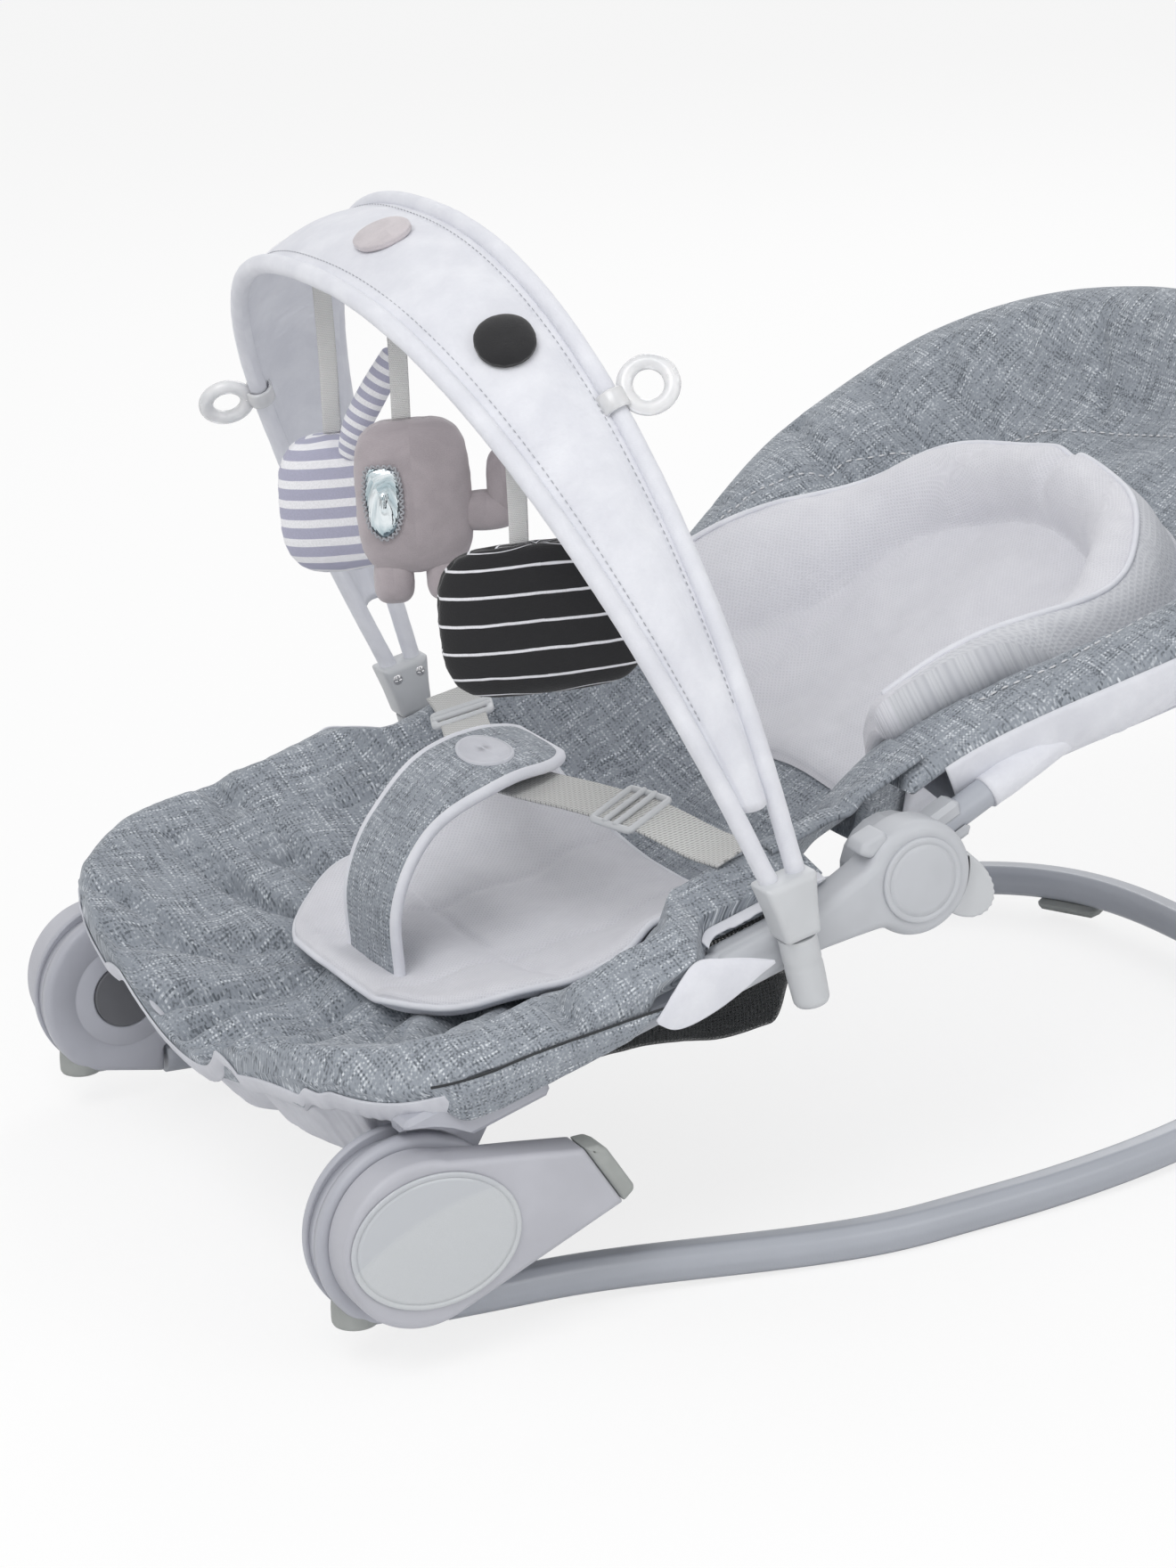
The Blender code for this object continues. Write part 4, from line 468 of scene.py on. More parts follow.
# stitches: short rounded dashes along a run, each a small four-sided bar of three rings
def stitches(run, outwards, length=0.0032, gap=0.0018, thick=0.00035):
    number = max(int(distances(run)[-1] / (length + gap)), 2)
    spots = evenly(run, number * 2 + 1)
    middle, along = spots[1::2], spots[2::2] - spots[:-2:2]
    along = unit(along)
    outwards = np.broadcast_to(np.asarray(outwards, float), middle.shape)
    across = np.cross(along, outwards)
    across = unit(across)
    over = np.cross(across, along)
    rings = []
    for share, size in ((-0.5, 0.3), (-0.25, 1.0), (0.25, 1.0), (0.5, 0.3)):
        centre = middle + along * share * length + over * thick * 0.2
        for a, b in ((1, 0), (0, 1), (-1, 0), (0, -1)):
            rings.append(centre + (across * a + over * b) * thick * size)
    points = np.stack(rings, 1)
    base = (np.arange(len(middle)) * 16)[:, None, None]
    face = [
        (r * 4 + k, r * 4 + (k + 1) % 4, (r + 1) * 4 + (k + 1) % 4, (r + 1) * 4 + k)
        for r in range(3) for k in range(4)
    ]
    face += [(3, 2, 1, 0), (12, 13, 14, 15)]
    shape = Shape()
    shape.points.append(points.reshape(-1, 3))
    shape.faces.append((base + np.array(face)[None]).reshape(-1, 4))
    shape.places.append(points[..., :2].reshape(-1, 2)[shape.faces[0]])
    shape.count = len(middle) * 16
    return shape.outward()


class Wire:
    # a shader value that takes part in sums with other values and with numbers
    def __init__(self, finish, socket):
        self.finish, self.socket = finish, socket

    def sum(self, operation, *others, **settings):
        inputs = {k: v for k, v in enumerate((self, *others))}
        return self.finish.node("ShaderNodeMath", {"operation": operation, **settings}, inputs)

    def __add__(self, other): return self.sum("ADD", other)
    def __sub__(self, other): return self.sum("SUBTRACT", other)
    def __mul__(self, other): return self.sum("MULTIPLY", other)
    def __truediv__(self, other): return self.sum("DIVIDE", other)
    def __radd__(self, other): return self + other
    def __rmul__(self, other): return self * other
    def __rsub__(self, other): return self.finish.number(other).sum("SUBTRACT", self)
    def __pow__(self, power): return self.sum("POWER", power)
    def sine(self): return self.sum("SINE")
    def fraction(self): return self.sum("FRACT")
    def size(self): return self.sum("ABSOLUTE")
    def above(self, level): return self.sum("GREATER_THAN", level)
    def least(self, other): return self.sum("MINIMUM", other)
    def most(self, other): return self.sum("MAXIMUM", other)

    # 0 at low, 1 at high, smooth between
    def between(self, low, high):
        settings = {"interpolation_type": "SMOOTHSTEP"}
        return self.finish.node(
            "ShaderNodeMapRange", settings, {"Value": self, "From Min": low, "From Max": high}
        )


class Finish:
    # one material: node() makes any node from its type, its settings and the values or wires of its sockets
    def __init__(self, name):
        self.material = bpy.data.materials.new(name)
        self.material.use_nodes = True
        self.tree = self.material.node_tree
        self.shader = self.tree.nodes["Principled BSDF"]

    def node(self, kind, settings, sockets, output=0):
        made = self.tree.nodes.new(kind)
        for key, value in settings.items():
            setattr(made, key, value)
        for key, value in sockets.items():
            self.put(made.inputs[key], value)
        return Wire(self, made.outputs[output])

    def put(self, socket, value):
        if isinstance(value, Wire):
            self.tree.links.new(value.socket, socket)
        elif isinstance(value, tuple) and socket.type == "RGBA":
            socket.default_value = (*value, 1.0)
        else:
            socket.default_value = value

    def number(self, value):
        return self.node("ShaderNodeMath", {"operation": "ADD"}, {0: float(value), 1: 0.0})

    def where(self, scale=(1, 1, 1), cloth=True):
        spot = self.node("ShaderNodeTexCoord", {}, {}, "UV" if cloth else "Object")
        return self.node("ShaderNodeMapping", {}, {"Vector": spot, "Scale": scale})

    def parts(self, vector):
        made = self.tree.nodes.new("ShaderNodeSeparateXYZ")
        self.put(made.inputs[0], vector)
        return [Wire(self, made.outputs[k]) for k in range(3)]

    def noise(self, vector, scale, detail=3.0, rough=0.55):
        sockets = {"Vector": vector, "Scale": scale, "Detail": detail, "Roughness": rough}
        return self.node("ShaderNodeTexNoise", {}, sockets)

    # noise over the cloth, or over the solid, with a scale for each way
    def grain(self, scale, detail, rough=0.55, cloth=True):
        return self.noise(self.where(scale, cloth), 1.0, detail, rough)

    # the tone of the thread that runs along a point: noise read at the thread's number and far less often along
    # it
    def threadTones(self, across, along, pitch, often):
        index = across / pitch - (across / pitch).fraction()
        spot = self.node("ShaderNodeCombineXYZ", {}, {0: index * 3.71, 1: along * often, 2: 0.0})
        return self.noise(spot, 1.0, 2.0, 0.7), index

    def blendColours(self, share, first, second):
        return self.node("ShaderNodeMix", {"data_type": "RGBA"}, {0: share, 6: first, 7: second}, 2)

    def relief(self, height, distance, strength=1.0):
        return self.node("ShaderNodeBump", {}, {"Height": height, "Distance": distance, "Strength": strength})

    def done(self, **sockets):
        for key, value in sockets.items():
            words = "".join(" " + c if c.isupper() else c for c in key).strip().title()
            self.put(self.shader.inputs[words.replace("Ior", "IOR")], value)
        return self.material


# a colour made lighter or darker
def toned(colour, share):
    return tuple(min(c * share, 1) for c in colour)


# grey mottled linen: a plain weave in which each thread has its own tone, changing slowly along its length
def mottledLinen(name, base, pale, dark, contrast=1.0):
    f = Finish(name)
    u, v, _ = f.parts(f.where())
    shake = (f.grain((45, 45, 1), 2.0) - 0.5) * 0.0010
    warp, warpIndex = f.threadTones(u + shake, v, 0.00120, 30)
    weft, weftIndex = f.threadTones(v + shake, u, 0.00120, 30)
    over = ((warpIndex + weftIndex) * 0.5).fraction().above(0.25)
    speck = f.grain((520, 520, 1), 2.0)
    threads = warp * over + weft * (1.0 - over) + (speck - 0.5) * 0.45
    light = threads.between(0.54, 0.74) * contrast
    deep = (1.0 - threads.between(0.32, 0.50)) * 0.85 * contrast
    colour = f.blendColours(deep, f.blendColours(light, base, pale), dark)
    height = threads * 0.5 + over * 0.3
    return f.done(baseColor=colour, roughness=0.92, normal=f.relief(height, 0.0005, 0.5), sheenWeight=0.12)


# plain cloth: fine threads, a faint cloudiness and soft small wrinkles
def plainCloth(name, base, shade, pitch=0.0009, wrinkle=0.6, rough=0.85):
    f = Finish(name)
    u, v, _ = f.parts(f.where((2 * pi / pitch, 2 * pi / pitch, 1)))
    weave = u.sine() * v.sine()
    cloud = f.grain((34, 34, 1), 4.0)
    fine = f.grain((420, 420, 1), 2.0)
    # the weave term darkens the colour a little where the thread relief sinks: faint painted shade between the threads
    share = (cloud.between(0.3, 0.75) * 0.7 + fine * 0.3 + weave * 0.08).least(1.0)
    folds = f.grain((18, 26, 1), 3.0, 0.5)
    height = folds * wrinkle * 4.0 + weave * 0.08 + fine * 0.15
    colour = f.blendColours(share, shade, base)
    return f.done(baseColor=colour, roughness=rough, normal=f.relief(height, 0.0012, 0.5), sheenWeight=0.15)


# knitted cloth: rows of small dimples set half a step apart, with painted shade in the hollows between them
def dimpledKnit(name, base, shade, pitch):
    f = Finish(name)
    u, v, _ = f.parts(f.where((pi / pitch, pi / pitch, 1)))
    holes = (u.sine() * v.sine()).size()
    slanted = ((u + v) * 0.5).sine() * ((u - v) * 0.5).sine()
    dimple = holes.between(0.15, 0.9) * 0.5 + slanted.size() * 0.5
    cloud = f.grain((40, 40, 1), 3.0)
    # painted shade: where the dimple relief sinks, the colour goes toward the darker shade tone
    colour = f.blendColours((dimple * 0.6 + cloud * 0.5).least(1.0), shade, base)
    return f.done(baseColor=colour, roughness=0.9, normal=f.relief(dimple, 0.0008, 0.5), sheenWeight=0.2)


# ribbed webbing: coarse cross ribs, each rib made of leaning threads, with painted shade in the grooves between the
# ribs
def ribbedWebbing(name, base, shade, rib=0.0022, thread=0.0016):
    f = Finish(name)
    u, v, _ = f.parts(f.where((pi / thread, pi / rib, 1)))
    ribs = v.sine().size() ** 0.6
    threads = (u + v).sine() * 0.5 + 0.5
    height = ribs * 0.7 + threads * 0.3
    fuzz = f.grain((900, 900, 1), 2.0)
    # painted shade: the lower the rib relief, the nearer the colour comes to the dark shade tone
    colour = f.blendColours((height.between(0.15, 0.85) * 0.85 + fuzz * 0.15).least(1.0), shade, base)
    return f.done(baseColor=colour, roughness=0.75, normal=f.relief(height, 0.0007, 0.8))


# open net: dark threads round small holes, the holes painted darker still as shade seen through them
def blackNet(name, base, shade, pitch=0.0024):
    f = Finish(name)
    u, v, _ = f.parts(f.where((pi / pitch, pi / pitch, 1)))
    grid = u.sine().size().least(v.sine().size())
    slanted = (u + v).sine().size().least(1.0)
    thread = 1.0 - (grid * (0.55 + slanted * 0.45)).between(0.28, 0.46)
    # painted shade: the holes between the threads take the darker shade colour
    colour = f.blendColours(thread, shade, base)
    return f.done(
        baseColor=colour, roughness=0.62, alpha=(thread * 0.45 + 0.55), normal=f.relief(thread, 0.0006, 0.7)
    )


# moulded plastic: an even tone with faint clouding, a fine grain, and paler worn spots
def mouldedPlastic(name, base, rough=0.42, grain=0.35, coat=0.0, tint=0.05):
    f = Finish(name)
    spot = f.where(cloth=False)
    cloud = f.noise(spot, 14.0, 3.0)
    fine = f.noise(spot, 2600.0, 2.0)
    scuff = f.grain((140, 900, 400), 3.0, cloth=False).between(0.68, 0.86)
    pale = tuple(min(c * (1 + tint) + 0.008, 1) for c in base)
    deep = tuple(c * (1 - tint) for c in base)
    colour = f.blendColours(cloud.between(0.3, 0.7), deep, pale)
    roughness = (cloud - 0.5) * 0.10 + scuff * 0.06 + rough
    return f.done(
        baseColor=colour, roughness=roughness, normal=f.relief(fine, 0.00025, grain), coatWeight=coat,
        coatRoughness=0.12
    )


# painted tube: satin paint with a faint orange-peel
def satinPaint(name, base):
    f = Finish(name)
    spot = f.where(cloth=False)
    cloud = f.noise(spot, 9.0, 3.0)
    peel = f.noise(spot, 850.0, 2.0)
    speck = f.noise(spot, 420.0, 2.0).between(0.70, 0.80)
    colour = f.blendColours(cloud.between(0.3, 0.7), toned(base, 0.96), toned(base, 1.04))
    colour = f.blendColours(speck * 0.12, colour, toned(base, 0.7))
    return f.done(
        baseColor=colour, roughness=0.34 + (cloud - 0.5) * 0.08, normal=f.relief(peel, 0.0004, 0.18),
        coatWeight=0.25, coatRoughness=0.2
    )


# rubber: fine tooth and grey dust in its hollows
def softRubber(name, base):
    f = Finish(name)
    spot = f.where(cloth=False)
    tooth = f.noise(spot, 1500.0, 3.0, 0.7)
    dust = f.noise(spot, 55.0, 4.0).between(0.45, 0.75)
    colour = f.blendColours(dust * 0.5, base, toned(base, 1.25))
    return f.done(baseColor=colour, roughness=0.68 + dust * 0.15, normal=f.relief(tooth, 0.0005, 0.5))


# brushed steel: streaks along the turning of the pin
def brushedSteel(name):
    f = Finish(name)
    streak = f.grain((30, 1600, 1600), 3.0, cloth=False)
    colour = f.blendColours(streak, (0.50, 0.50, 0.51), (0.66, 0.66, 0.67))
    return f.done(
        baseColor=colour, roughness=0.24 + streak * 0.12, metallic=1.0, normal=f.relief(streak, 0.0002, 0.3)
    )


# printed or knitted stripes across the cloth's second way, wavering a little, on a soft jersey
def stripedCloth(name, base, line, pitch, share, waver=0.0006, along=1, rough=0.88):
    f = Finish(name)
    u, v, _ = f.parts(f.where())
    way = v if along else u
    shake = f.grain((60, 60, 1), 2.0) - 0.5
    fold = ((way + shake * waver) / pitch).fraction()
    stripe = fold.between(0.0, 0.03) * (1.0 - fold.between(share, share + 0.03))
    knit = f.grain((1100, 700, 1), 2.0)
    cloud = f.grain((40, 40, 1), 3.0)
    ground = f.blendColours(knit.between(0.35, 0.7) * 0.6 + cloud * 0.3, toned(base, 0.86), base)
    thread = f.blendColours(knit.between(0.3, 0.7), toned(line, 0.88), line)
    colour = f.blendColours(stripe, ground, thread)
    return f.done(
        baseColor=colour, roughness=rough, normal=f.relief(knit + stripe * 0.15, 0.0006, 0.45), sheenWeight=0.2
    )


# short plush: fine fuzz over a cloudy ground
def shortPlush(name, base):
    f = Finish(name)
    fuzz = f.grain((1400, 1400, 1), 3.0, 0.7)
    cloud = f.grain((55, 55, 1), 4.0)
    share = fuzz.between(0.3, 0.7) * 0.5 + cloud.between(0.35, 0.65) * 0.5
    colour = f.blendColours(share, toned(base, 0.86), toned(base, 1.08))
    return f.done(baseColor=colour, roughness=0.95, normal=f.relief(fuzz, 0.0007, 0.5), sheenWeight=0.35)


# mirror film: bright, with the soft dents of film on cloth; a painted reflection darkens its colour to blue-grey where
# the dents sink
def mirrorFilm(name):
    f = Finish(name)
    dents = f.grain((70, 70, 1), 3.0)
    # painted reflection: the dents' low parts take the dark blue-grey, and their rises the bright silver
    colour = f.blendColours(dents.between(0.35, 0.65), (0.42, 0.52, 0.56), (0.80, 0.85, 0.87))
    return f.done(
        baseColor=colour, roughness=0.10 + dents * 0.1, metallic=1.0, normal=f.relief(dents, 0.004, 0.5)
    )


# milky plastic: partly clear, with a faint cloud inside
def milkyPlastic(name):
    f = Finish(name)
    cloud = f.noise(f.where(cloth=False), 60.0, 3.0)
    colour = f.blendColours(cloud.between(0.3, 0.7), (0.84, 0.85, 0.87), (0.94, 0.94, 0.95))
    return f.done(baseColor=colour, roughness=0.22 + cloud * 0.08, transmissionWeight=0.35, coatWeight=0.3)


finishes = {
    "linen": mottledLinen("seatLinen", (0.290, 0.317, 0.355), (0.68, 0.71, 0.75), (0.082, 0.094, 0.110)),
    "pale": plainCloth("paleCloth", (0.80, 0.81, 0.855), (0.68, 0.69, 0.745)),
    "lining": plainCloth("paleLining", (0.66, 0.67, 0.72), (0.54, 0.55, 0.60)),
    "knit": dimpledKnit("headKnit", (0.80, 0.80, 0.84), (0.60, 0.60, 0.65), 0.0016),
    "honeycomb": dimpledKnit("gussetKnit", (0.74, 0.75, 0.78), (0.46, 0.47, 0.51), 0.0030),
    "net": blackNet("pouchNet", (0.011, 0.014, 0.016), (0.004, 0.005, 0.006)),
    "trim": plainCloth("darkTrim", (0.030, 0.034, 0.038), (0.018, 0.020, 0.024)),
    "webbing": ribbedWebbing("strapWebbing", (0.66, 0.66, 0.65), (0.24, 0.24, 0.235)),
    "ribbon": ribbedWebbing("grosgrain", (0.78, 0.78, 0.77), (0.56, 0.56, 0.56), 0.0009, 0.0006),
    "thread": plainCloth("sewingThread", (0.78, 0.79, 0.81), (0.66, 0.67, 0.69), 0.0004, 0.0),
    "greyThread": plainCloth("greyThread", (0.46, 0.47, 0.50), (0.37, 0.38, 0.41), 0.0004, 0.0),
    "stripes": stripedCloth("stripedJersey", (0.44, 0.44, 0.56), (0.88, 0.88, 0.91), 0.0122, 0.42),
    "tailStripes": stripedCloth("stripedTail", (0.44, 0.44, 0.56), (0.88, 0.88, 0.91), 0.0075, 0.45),
    "mauve": shortPlush("mauvePlush", (0.42, 0.375, 0.395)),
    "mauvePale": shortPlush("palePlush", (0.60, 0.555, 0.575)),
    "black": shortPlush("blackPlush", (0.010, 0.010, 0.012)),
    "blackLines": stripedCloth("blackLined", (0.010, 0.010, 0.012), (0.80, 0.80, 0.84), 0.0163, 0.10, 0.0012),
    "paint": satinPaint("framePaint", (0.385, 0.405, 0.450)),
    "shell": mouldedPlastic("hubPlastic", (0.430, 0.440, 0.490)),
    "fin": mouldedPlastic("finPlastic", (0.475, 0.480, 0.525)),
    "arm": mouldedPlastic("armPlastic", (0.500, 0.515, 0.545), 0.46),
    "light": mouldedPlastic("lightPlastic", (0.555, 0.570, 0.590), 0.44),
    "button": mouldedPlastic("buttonPlastic", (0.115, 0.118, 0.130), 0.50, 0.5),
    "rubber": softRubber("tipRubber", (0.34, 0.355, 0.345)),
    "steel": brushedSteel("pinSteel"),
    "mirror": mirrorFilm("mirrorFilm"),
    "milky": milkyPlastic("ringPlastic"),
}


# the badge: gloss over a silver grey, frosted below a line that crosses it on a slant
def badgeFinish():
    f = Finish("badgePlastic")
    _, y, z = f.parts(f.where(cloth=False))
    level = z - y * 0.30 + ((y + 0.353) * (y + 0.353)) * 4.0
    frosted = 1.0 - level.between(0.200, 0.206)
    fine = f.noise(f.where(cloth=False), 1300.0, 3.0)
    colour = f.blendColours(
        frosted, (0.50, 0.52, 0.55), f.blendColours(fine, (0.515, 0.535, 0.56), (0.565, 0.585, 0.60))
    )
    roughness = 0.16 + frosted * 0.30
    return f.done(
        baseColor=colour, roughness=roughness, normal=f.relief(fine * frosted, 0.0003, 0.3), coatWeight=0.4,
        coatRoughness=0.08
    )


finishes["badge"] = badgeFinish()
print("finishes made")


base = {
    "bottomRadius": 3.78, "lowReach": 0.200, "lowDrop": 0.0653, "flatStart": 0.289, "flatEnd": 0.389,
    "width": 0.0235, "height": 0.0215, "start": 0.0268, "spreadStart": 0.085, "bowStart": 0.320,
    "narrowHalf": 0.2200, "halfWidth": 0.2628, "reach": 0.689, "bowPower": 3.0,
}


# the rocker's underside is an arc over the reach; its half width spreads and then bows like |x|^3 + |y|^3 = 1
def rockerRun(count):
    b = base
    straight = np.linspace(b["start"], b["bowStart"], 60)
    bow = bowReach(b["bowStart"], b["reach"], b["bowPower"], 0.02, 90)
    reach = np.concatenate((straight, bow))
    spread = smoothStep((reach - b["spreadStart"]) / (b["bowStart"] - b["spreadStart"]))
    narrow = mix(b["narrowHalf"], b["halfWidth"], spread)
    bowed = b["halfWidth"] * powerArc((reach - b["bowStart"]) / (b["reach"] - b["bowStart"]), b["bowPower"])
    x = np.where(reach < b["bowStart"], narrow, bowed)
    arc = lambda y: (y - b["lowReach"]) ** 2 / (2 * b["bottomRadius"]) - b["lowDrop"]
    first, last = b["flatStart"], b["flatEnd"]
    chord = mix(arc(first), arc(last), (reach - first) / (last - first))
    low = np.where((reach > first) & (reach < last), chord, arc(reach))
    half = np.stack((x, reach, low + b["height"] / 2), 1)
    run = np.concatenate((half, half[-2::-1] * (-1, 1, 1)))
    return evenly(run, count)


# the rocker's section carried along its run, upright all the way; a soft ridge runs along each side
def rockerShape():
    run = rockerRun(300)
    along = runDirections(run)
    across = np.stack((along[:, 1], -along[:, 0], np.zeros(len(run))), 1)
    across = unit(across)
    w, h = base["width"] / 2, base["height"] / 2
    right = [(0.45, -1), (0.86, -0.62), (1.0, 0.0), (0.86, 0.62), (0.45, 1)]
    corners = [(w * a, h * b) for a, b in right] + [(-w * a, h * b) for a, b in right[::-1]]
    section = loopThrough(corners, 48, 0.0009)
    section *= (1.002, h / np.abs(section[:, 1]).max())
    local = run[:, None] + section[None, :, :1] * across[:, None] + section[None, :, 1:] * np.array((0, 0, 1))
    return capped(hub.of(local))


addPiece("rockerTube", rockerShape(), "paint", "base", "rocker_tube")

hubs = {
    "inner": 0.2075, "outer": 0.2355, "radius": 0.058, "middleY": 0.004, "slot": (0.2165, 0.2275),
    "button": 0.021
}


def arcPoints(centre, radius, start, end, steps):
    turns = np.radians(np.linspace(start, end, steps + 1))
    return np.stack((centre[0] + radius * np.cos(turns), centre[1] + radius * np.sin(turns)), 1)


# the hub shell seen from the side: round, with a straight foot over the rocker's front end
def shellOutline(grow=0.0):
    rearDrop = 0.0653 - (0.0268 - 0.2) ** 2 / 7.56 - 0.0215 - 0.0008
    radius = hubs["radius"] + grow
    rear = math.degrees(math.asin(-rearDrop / radius))
    rounding = arcPoints((hubs["middleY"], 0), radius, rear, 180 + math.degrees(math.asin(0.0475 / radius)), 60)
    return loopThrough(np.vstack((rounding, ((0.0244, -0.0580), (0.0244, -rearDrop)))), 160, 0.0016)


# outer and inner halves and the web between them, which leaves the slot that the seat's eye turns in
def hubShellShape():
    outline = shellOutline()
    low, high = hubs["slot"]
    pocket = roundFor(outline, (0, 0), hubs["button"] + 0.0003)
    inner = [(low - 0.0005, pocket), (hubs["inner"] + 0.0006, pocket)]
    inner += [(hubs["inner"] - 0.0002, roundFor(outline, (0, 0), hubs["button"] + 0.0014))]
    inner += [(hubs["inner"], roundFor(outline, (0, 0), hubs["button"] + 0.0020))]
    for reach in (0.0335, 0.0342, 0.0349):
        inner.append((hubs["inner"] + (0.0006 if reach == 0.0342 else 0), roundFor(outline, (0, 0), reach)))
    inner += rimRings(outline, hubs["inner"], 0.0045, 1)[1:] + [(low, outline), (low, drawnIn(outline, 0.001))]
    shape = loft(hub, inner)
    outer = (
        [(high, drawnIn(outline, 0.001)), (high, outline)] + rimRings(outline, hubs["outer"], 0.0045, -1)[::-1]
    )
    shape.add(loft(hub, outer))
    turns = np.radians(np.linspace(88, 371, 90))
    reach = np.minimum(0.0555, 0.9 * hubs["radius"] / np.where(np.sin(turns) < -0.75, -np.sin(turns), 1))
    web = np.vstack(
        (np.stack((reach * np.cos(turns), reach * np.sin(turns)), 1), ((0.006, 0.004), (0.004, 0.006)))
    )
    web = loopThrough(web, 120)
    shape.add(loft(hub, [(low - 0.0005, web), (high + 0.0005, web)]))
    return shape


addPair("hubShell", hubShellShape(), "shell", "base", "hub_shell_{side}")

disk = arcPoints((0, 0), hubs["button"], 0, 360, 96)[:-1]
dome = [
    (0.2065 - 0.0009 * (1 - s * s), shrunk(disk, (0, 0), s * 0.94)) for s in (0.02, 0.2, 0.4, 0.6, 0.8, 1.0)
]
buttonRings = dome + [
    (0.2065 + 0.0011 * (1 - math.cos(a)), drawnIn(disk, 0.0011 * (1 - math.sin(a))))
    for a in np.linspace(0.2, pi / 2, 5)
]
buttonRings += [(0.2118, disk), (0.2120, drawnIn(disk, 0.0005))]
addPair("foldButton", loft(hub, buttonRings), "button", "button_{side}", "fold_button_{side}")

foot = {"x": 0.2215, "y": -0.0286, "low": -0.0512, "radius": 0.0135}
around = arcPoints((0, 0), 1.0, 0, 360, 48)[:-1]
footRings = []
for z, size in (
    (0.0, 0.6), (0.0, 0.84), (0.0006, 0.93), (0.002, 0.985), (0.004, 1.0), (0.010, 1.0), (0.016, 0.97),
    (0.021, 0.95)
):
    ring = around * foot["radius"] * size
    footRings.append(hub.at(foot["x"] + ring[:, 0], foot["y"] + ring[:, 1], foot["low"] + z))
footShape = capped(footRings, -1)
addPair("frontFoot", footShape, "rubber", "base", "front_foot_{side}")

# the CAD's own solids that stay in sight take the same finishes
kept = {
    "hub_axle": "steel", "rear_pad": "rubber", "seat_hub": "shell", "side_tube": "paint",
    "recline_knuckle": "arm"
}
kept = {f"{node}_{side}": finish for node, finish in kept.items() for side in ("left", "right")}
for node, finish in {**kept, "cross_bar": "paint"}.items():
    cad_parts[node].data.materials.clear()
    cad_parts[node].data.materials.append(finishes[finish])
print("rocking base made")


fins = {
    "inner": 0.2361, "outer": 0.2600, "radius": 0.0492, "middleZ": 0.003, "slant": 32.6,
    "reach": 0.1145, "seam": 0.1040, "seamLow": -0.0640, "seamHigh": -0.0202,
}


# a point of the fin's slanted end: across runs up along it, short is the way back to the hub
def finEnd(across, short=0.0):
    c, s = math.cos(math.radians(fins["slant"])), math.sin(math.radians(fins["slant"]))
    reach = fins["reach"] - short
    return reach * c - across * s, reach * s + across * c


def finOutline(reachBack):
    rounding = arcPoints((0, fins["middleZ"]), fins["radius"], 70, 290, 50)
    ends = [
        finEnd(fins["seamLow"], reachBack), finEnd(fins["seamHigh"], reachBack), (0.0635, 0.0435),
        (0.036, 0.0467)
    ]
    return np.vstack((rounding, ends))


body = loopThrough(finOutline(fins["reach"] - fins["seam"]), 220, 0.0011)
rings = rimRings(body, fins["inner"], 0.002, 1) + [(fins["outer"] - 0.004, body)]
rings += edgeRings(body, fins["outer"] - 0.004, 0.004, 0.004, 6)
rings += [(fins["outer"], drawnIn(body, 0.0048))]
addPair("selectorFin", loft(hub, rings), "fin", "fin_{side}_side", "fin_{side}")

short = fins["reach"] - fins["seam"] - 0.0003
tipCorners = [
    finEnd(-0.0640, short), finEnd(-0.0628, 0.0019), finEnd(-0.0604), finEnd(-0.0302), finEnd(-0.0245, 0.0030),
    finEnd(-0.0202, short)
]
tip = loopThrough(tipCorners, 120, 0.0010)
addPair(
    "finTip", plate(hub, tip, 0.2367, 0.2594, 0.0028), "rubber", "fin_{side}_side", "fin_tip_{side}",
)

badge = {"middle": (0.0057, 0.0052), "half": (0.0514, 0.0395)}
turns = fullTurn(160)
oval = np.stack(
    (
        badge["middle"][0] + badge["half"][0] * np.cos(turns),
        badge["middle"][1] + badge["half"][1] * np.sin(turns)
    ),
    1
)
oval = evenly(np.vstack((oval, oval[:1])), 161)[:-1]
face = fins["outer"] + 0.0003
rings = [(face, shrunk(oval, badge["middle"], 0.98)), (face, oval), (face + 0.0008, oval)]
rings += edgeRings(oval, face + 0.0008, 0.0008, 0.0012)
for up, inset in ((0.0016, 0.0026), (0.0011, 0.0029), (0.0011, 0.0032), (0.0016, 0.0035)):
    rings.append((face + up, drawnIn(oval, inset)))
inner = drawnIn(oval, 0.0036)
rings += [
    (face + 0.0016 + 0.0007 * (1 - s * s), shrunk(inner, badge["middle"], s))
    for s in (0.96, 0.85, 0.7, 0.5, 0.3, 0.1)
]
addPair("finBadge", loft(hub, rings), "badge", "fin_{side}_side", "fin_badge_{side}")
print("fins made")


arms = {"x": (0.2240, 0.2496), "start": 0.2047, "at": 0.3367, "housing": 0.0345, "cap": 0.0255}
outline = [(arms["start"], -0.0125), (arms["start"] + 0.062, -0.0125), (arms["start"] + 0.085, -0.0155)]
outline += [tuple(p) for p in arcPoints((arms["at"], 0), arms["housing"], -148, 142, 70)]
outline += [(arms["start"] + 0.088, 0.0175), (arms["start"] + 0.066, 0.0125), (arms["start"], 0.0125)]
armOutline = loopThrough(outline, 240, 0.0022)
armShape = loft(
    seat,
    rimRings(armOutline, arms["x"][0], 0.0035, 1) + rimRings(armOutline, arms["x"][1], 0.0060, -1, 7)[::-1]
)
collarRun = seat.at(0.2368, np.linspace(arms["start"] - 0.004, arms["start"] + 0.058, 12), 0.0)
collar = tube(collarRun, np.linspace(0.0128, 0.0131, 12), (1, 0, 0), 40)
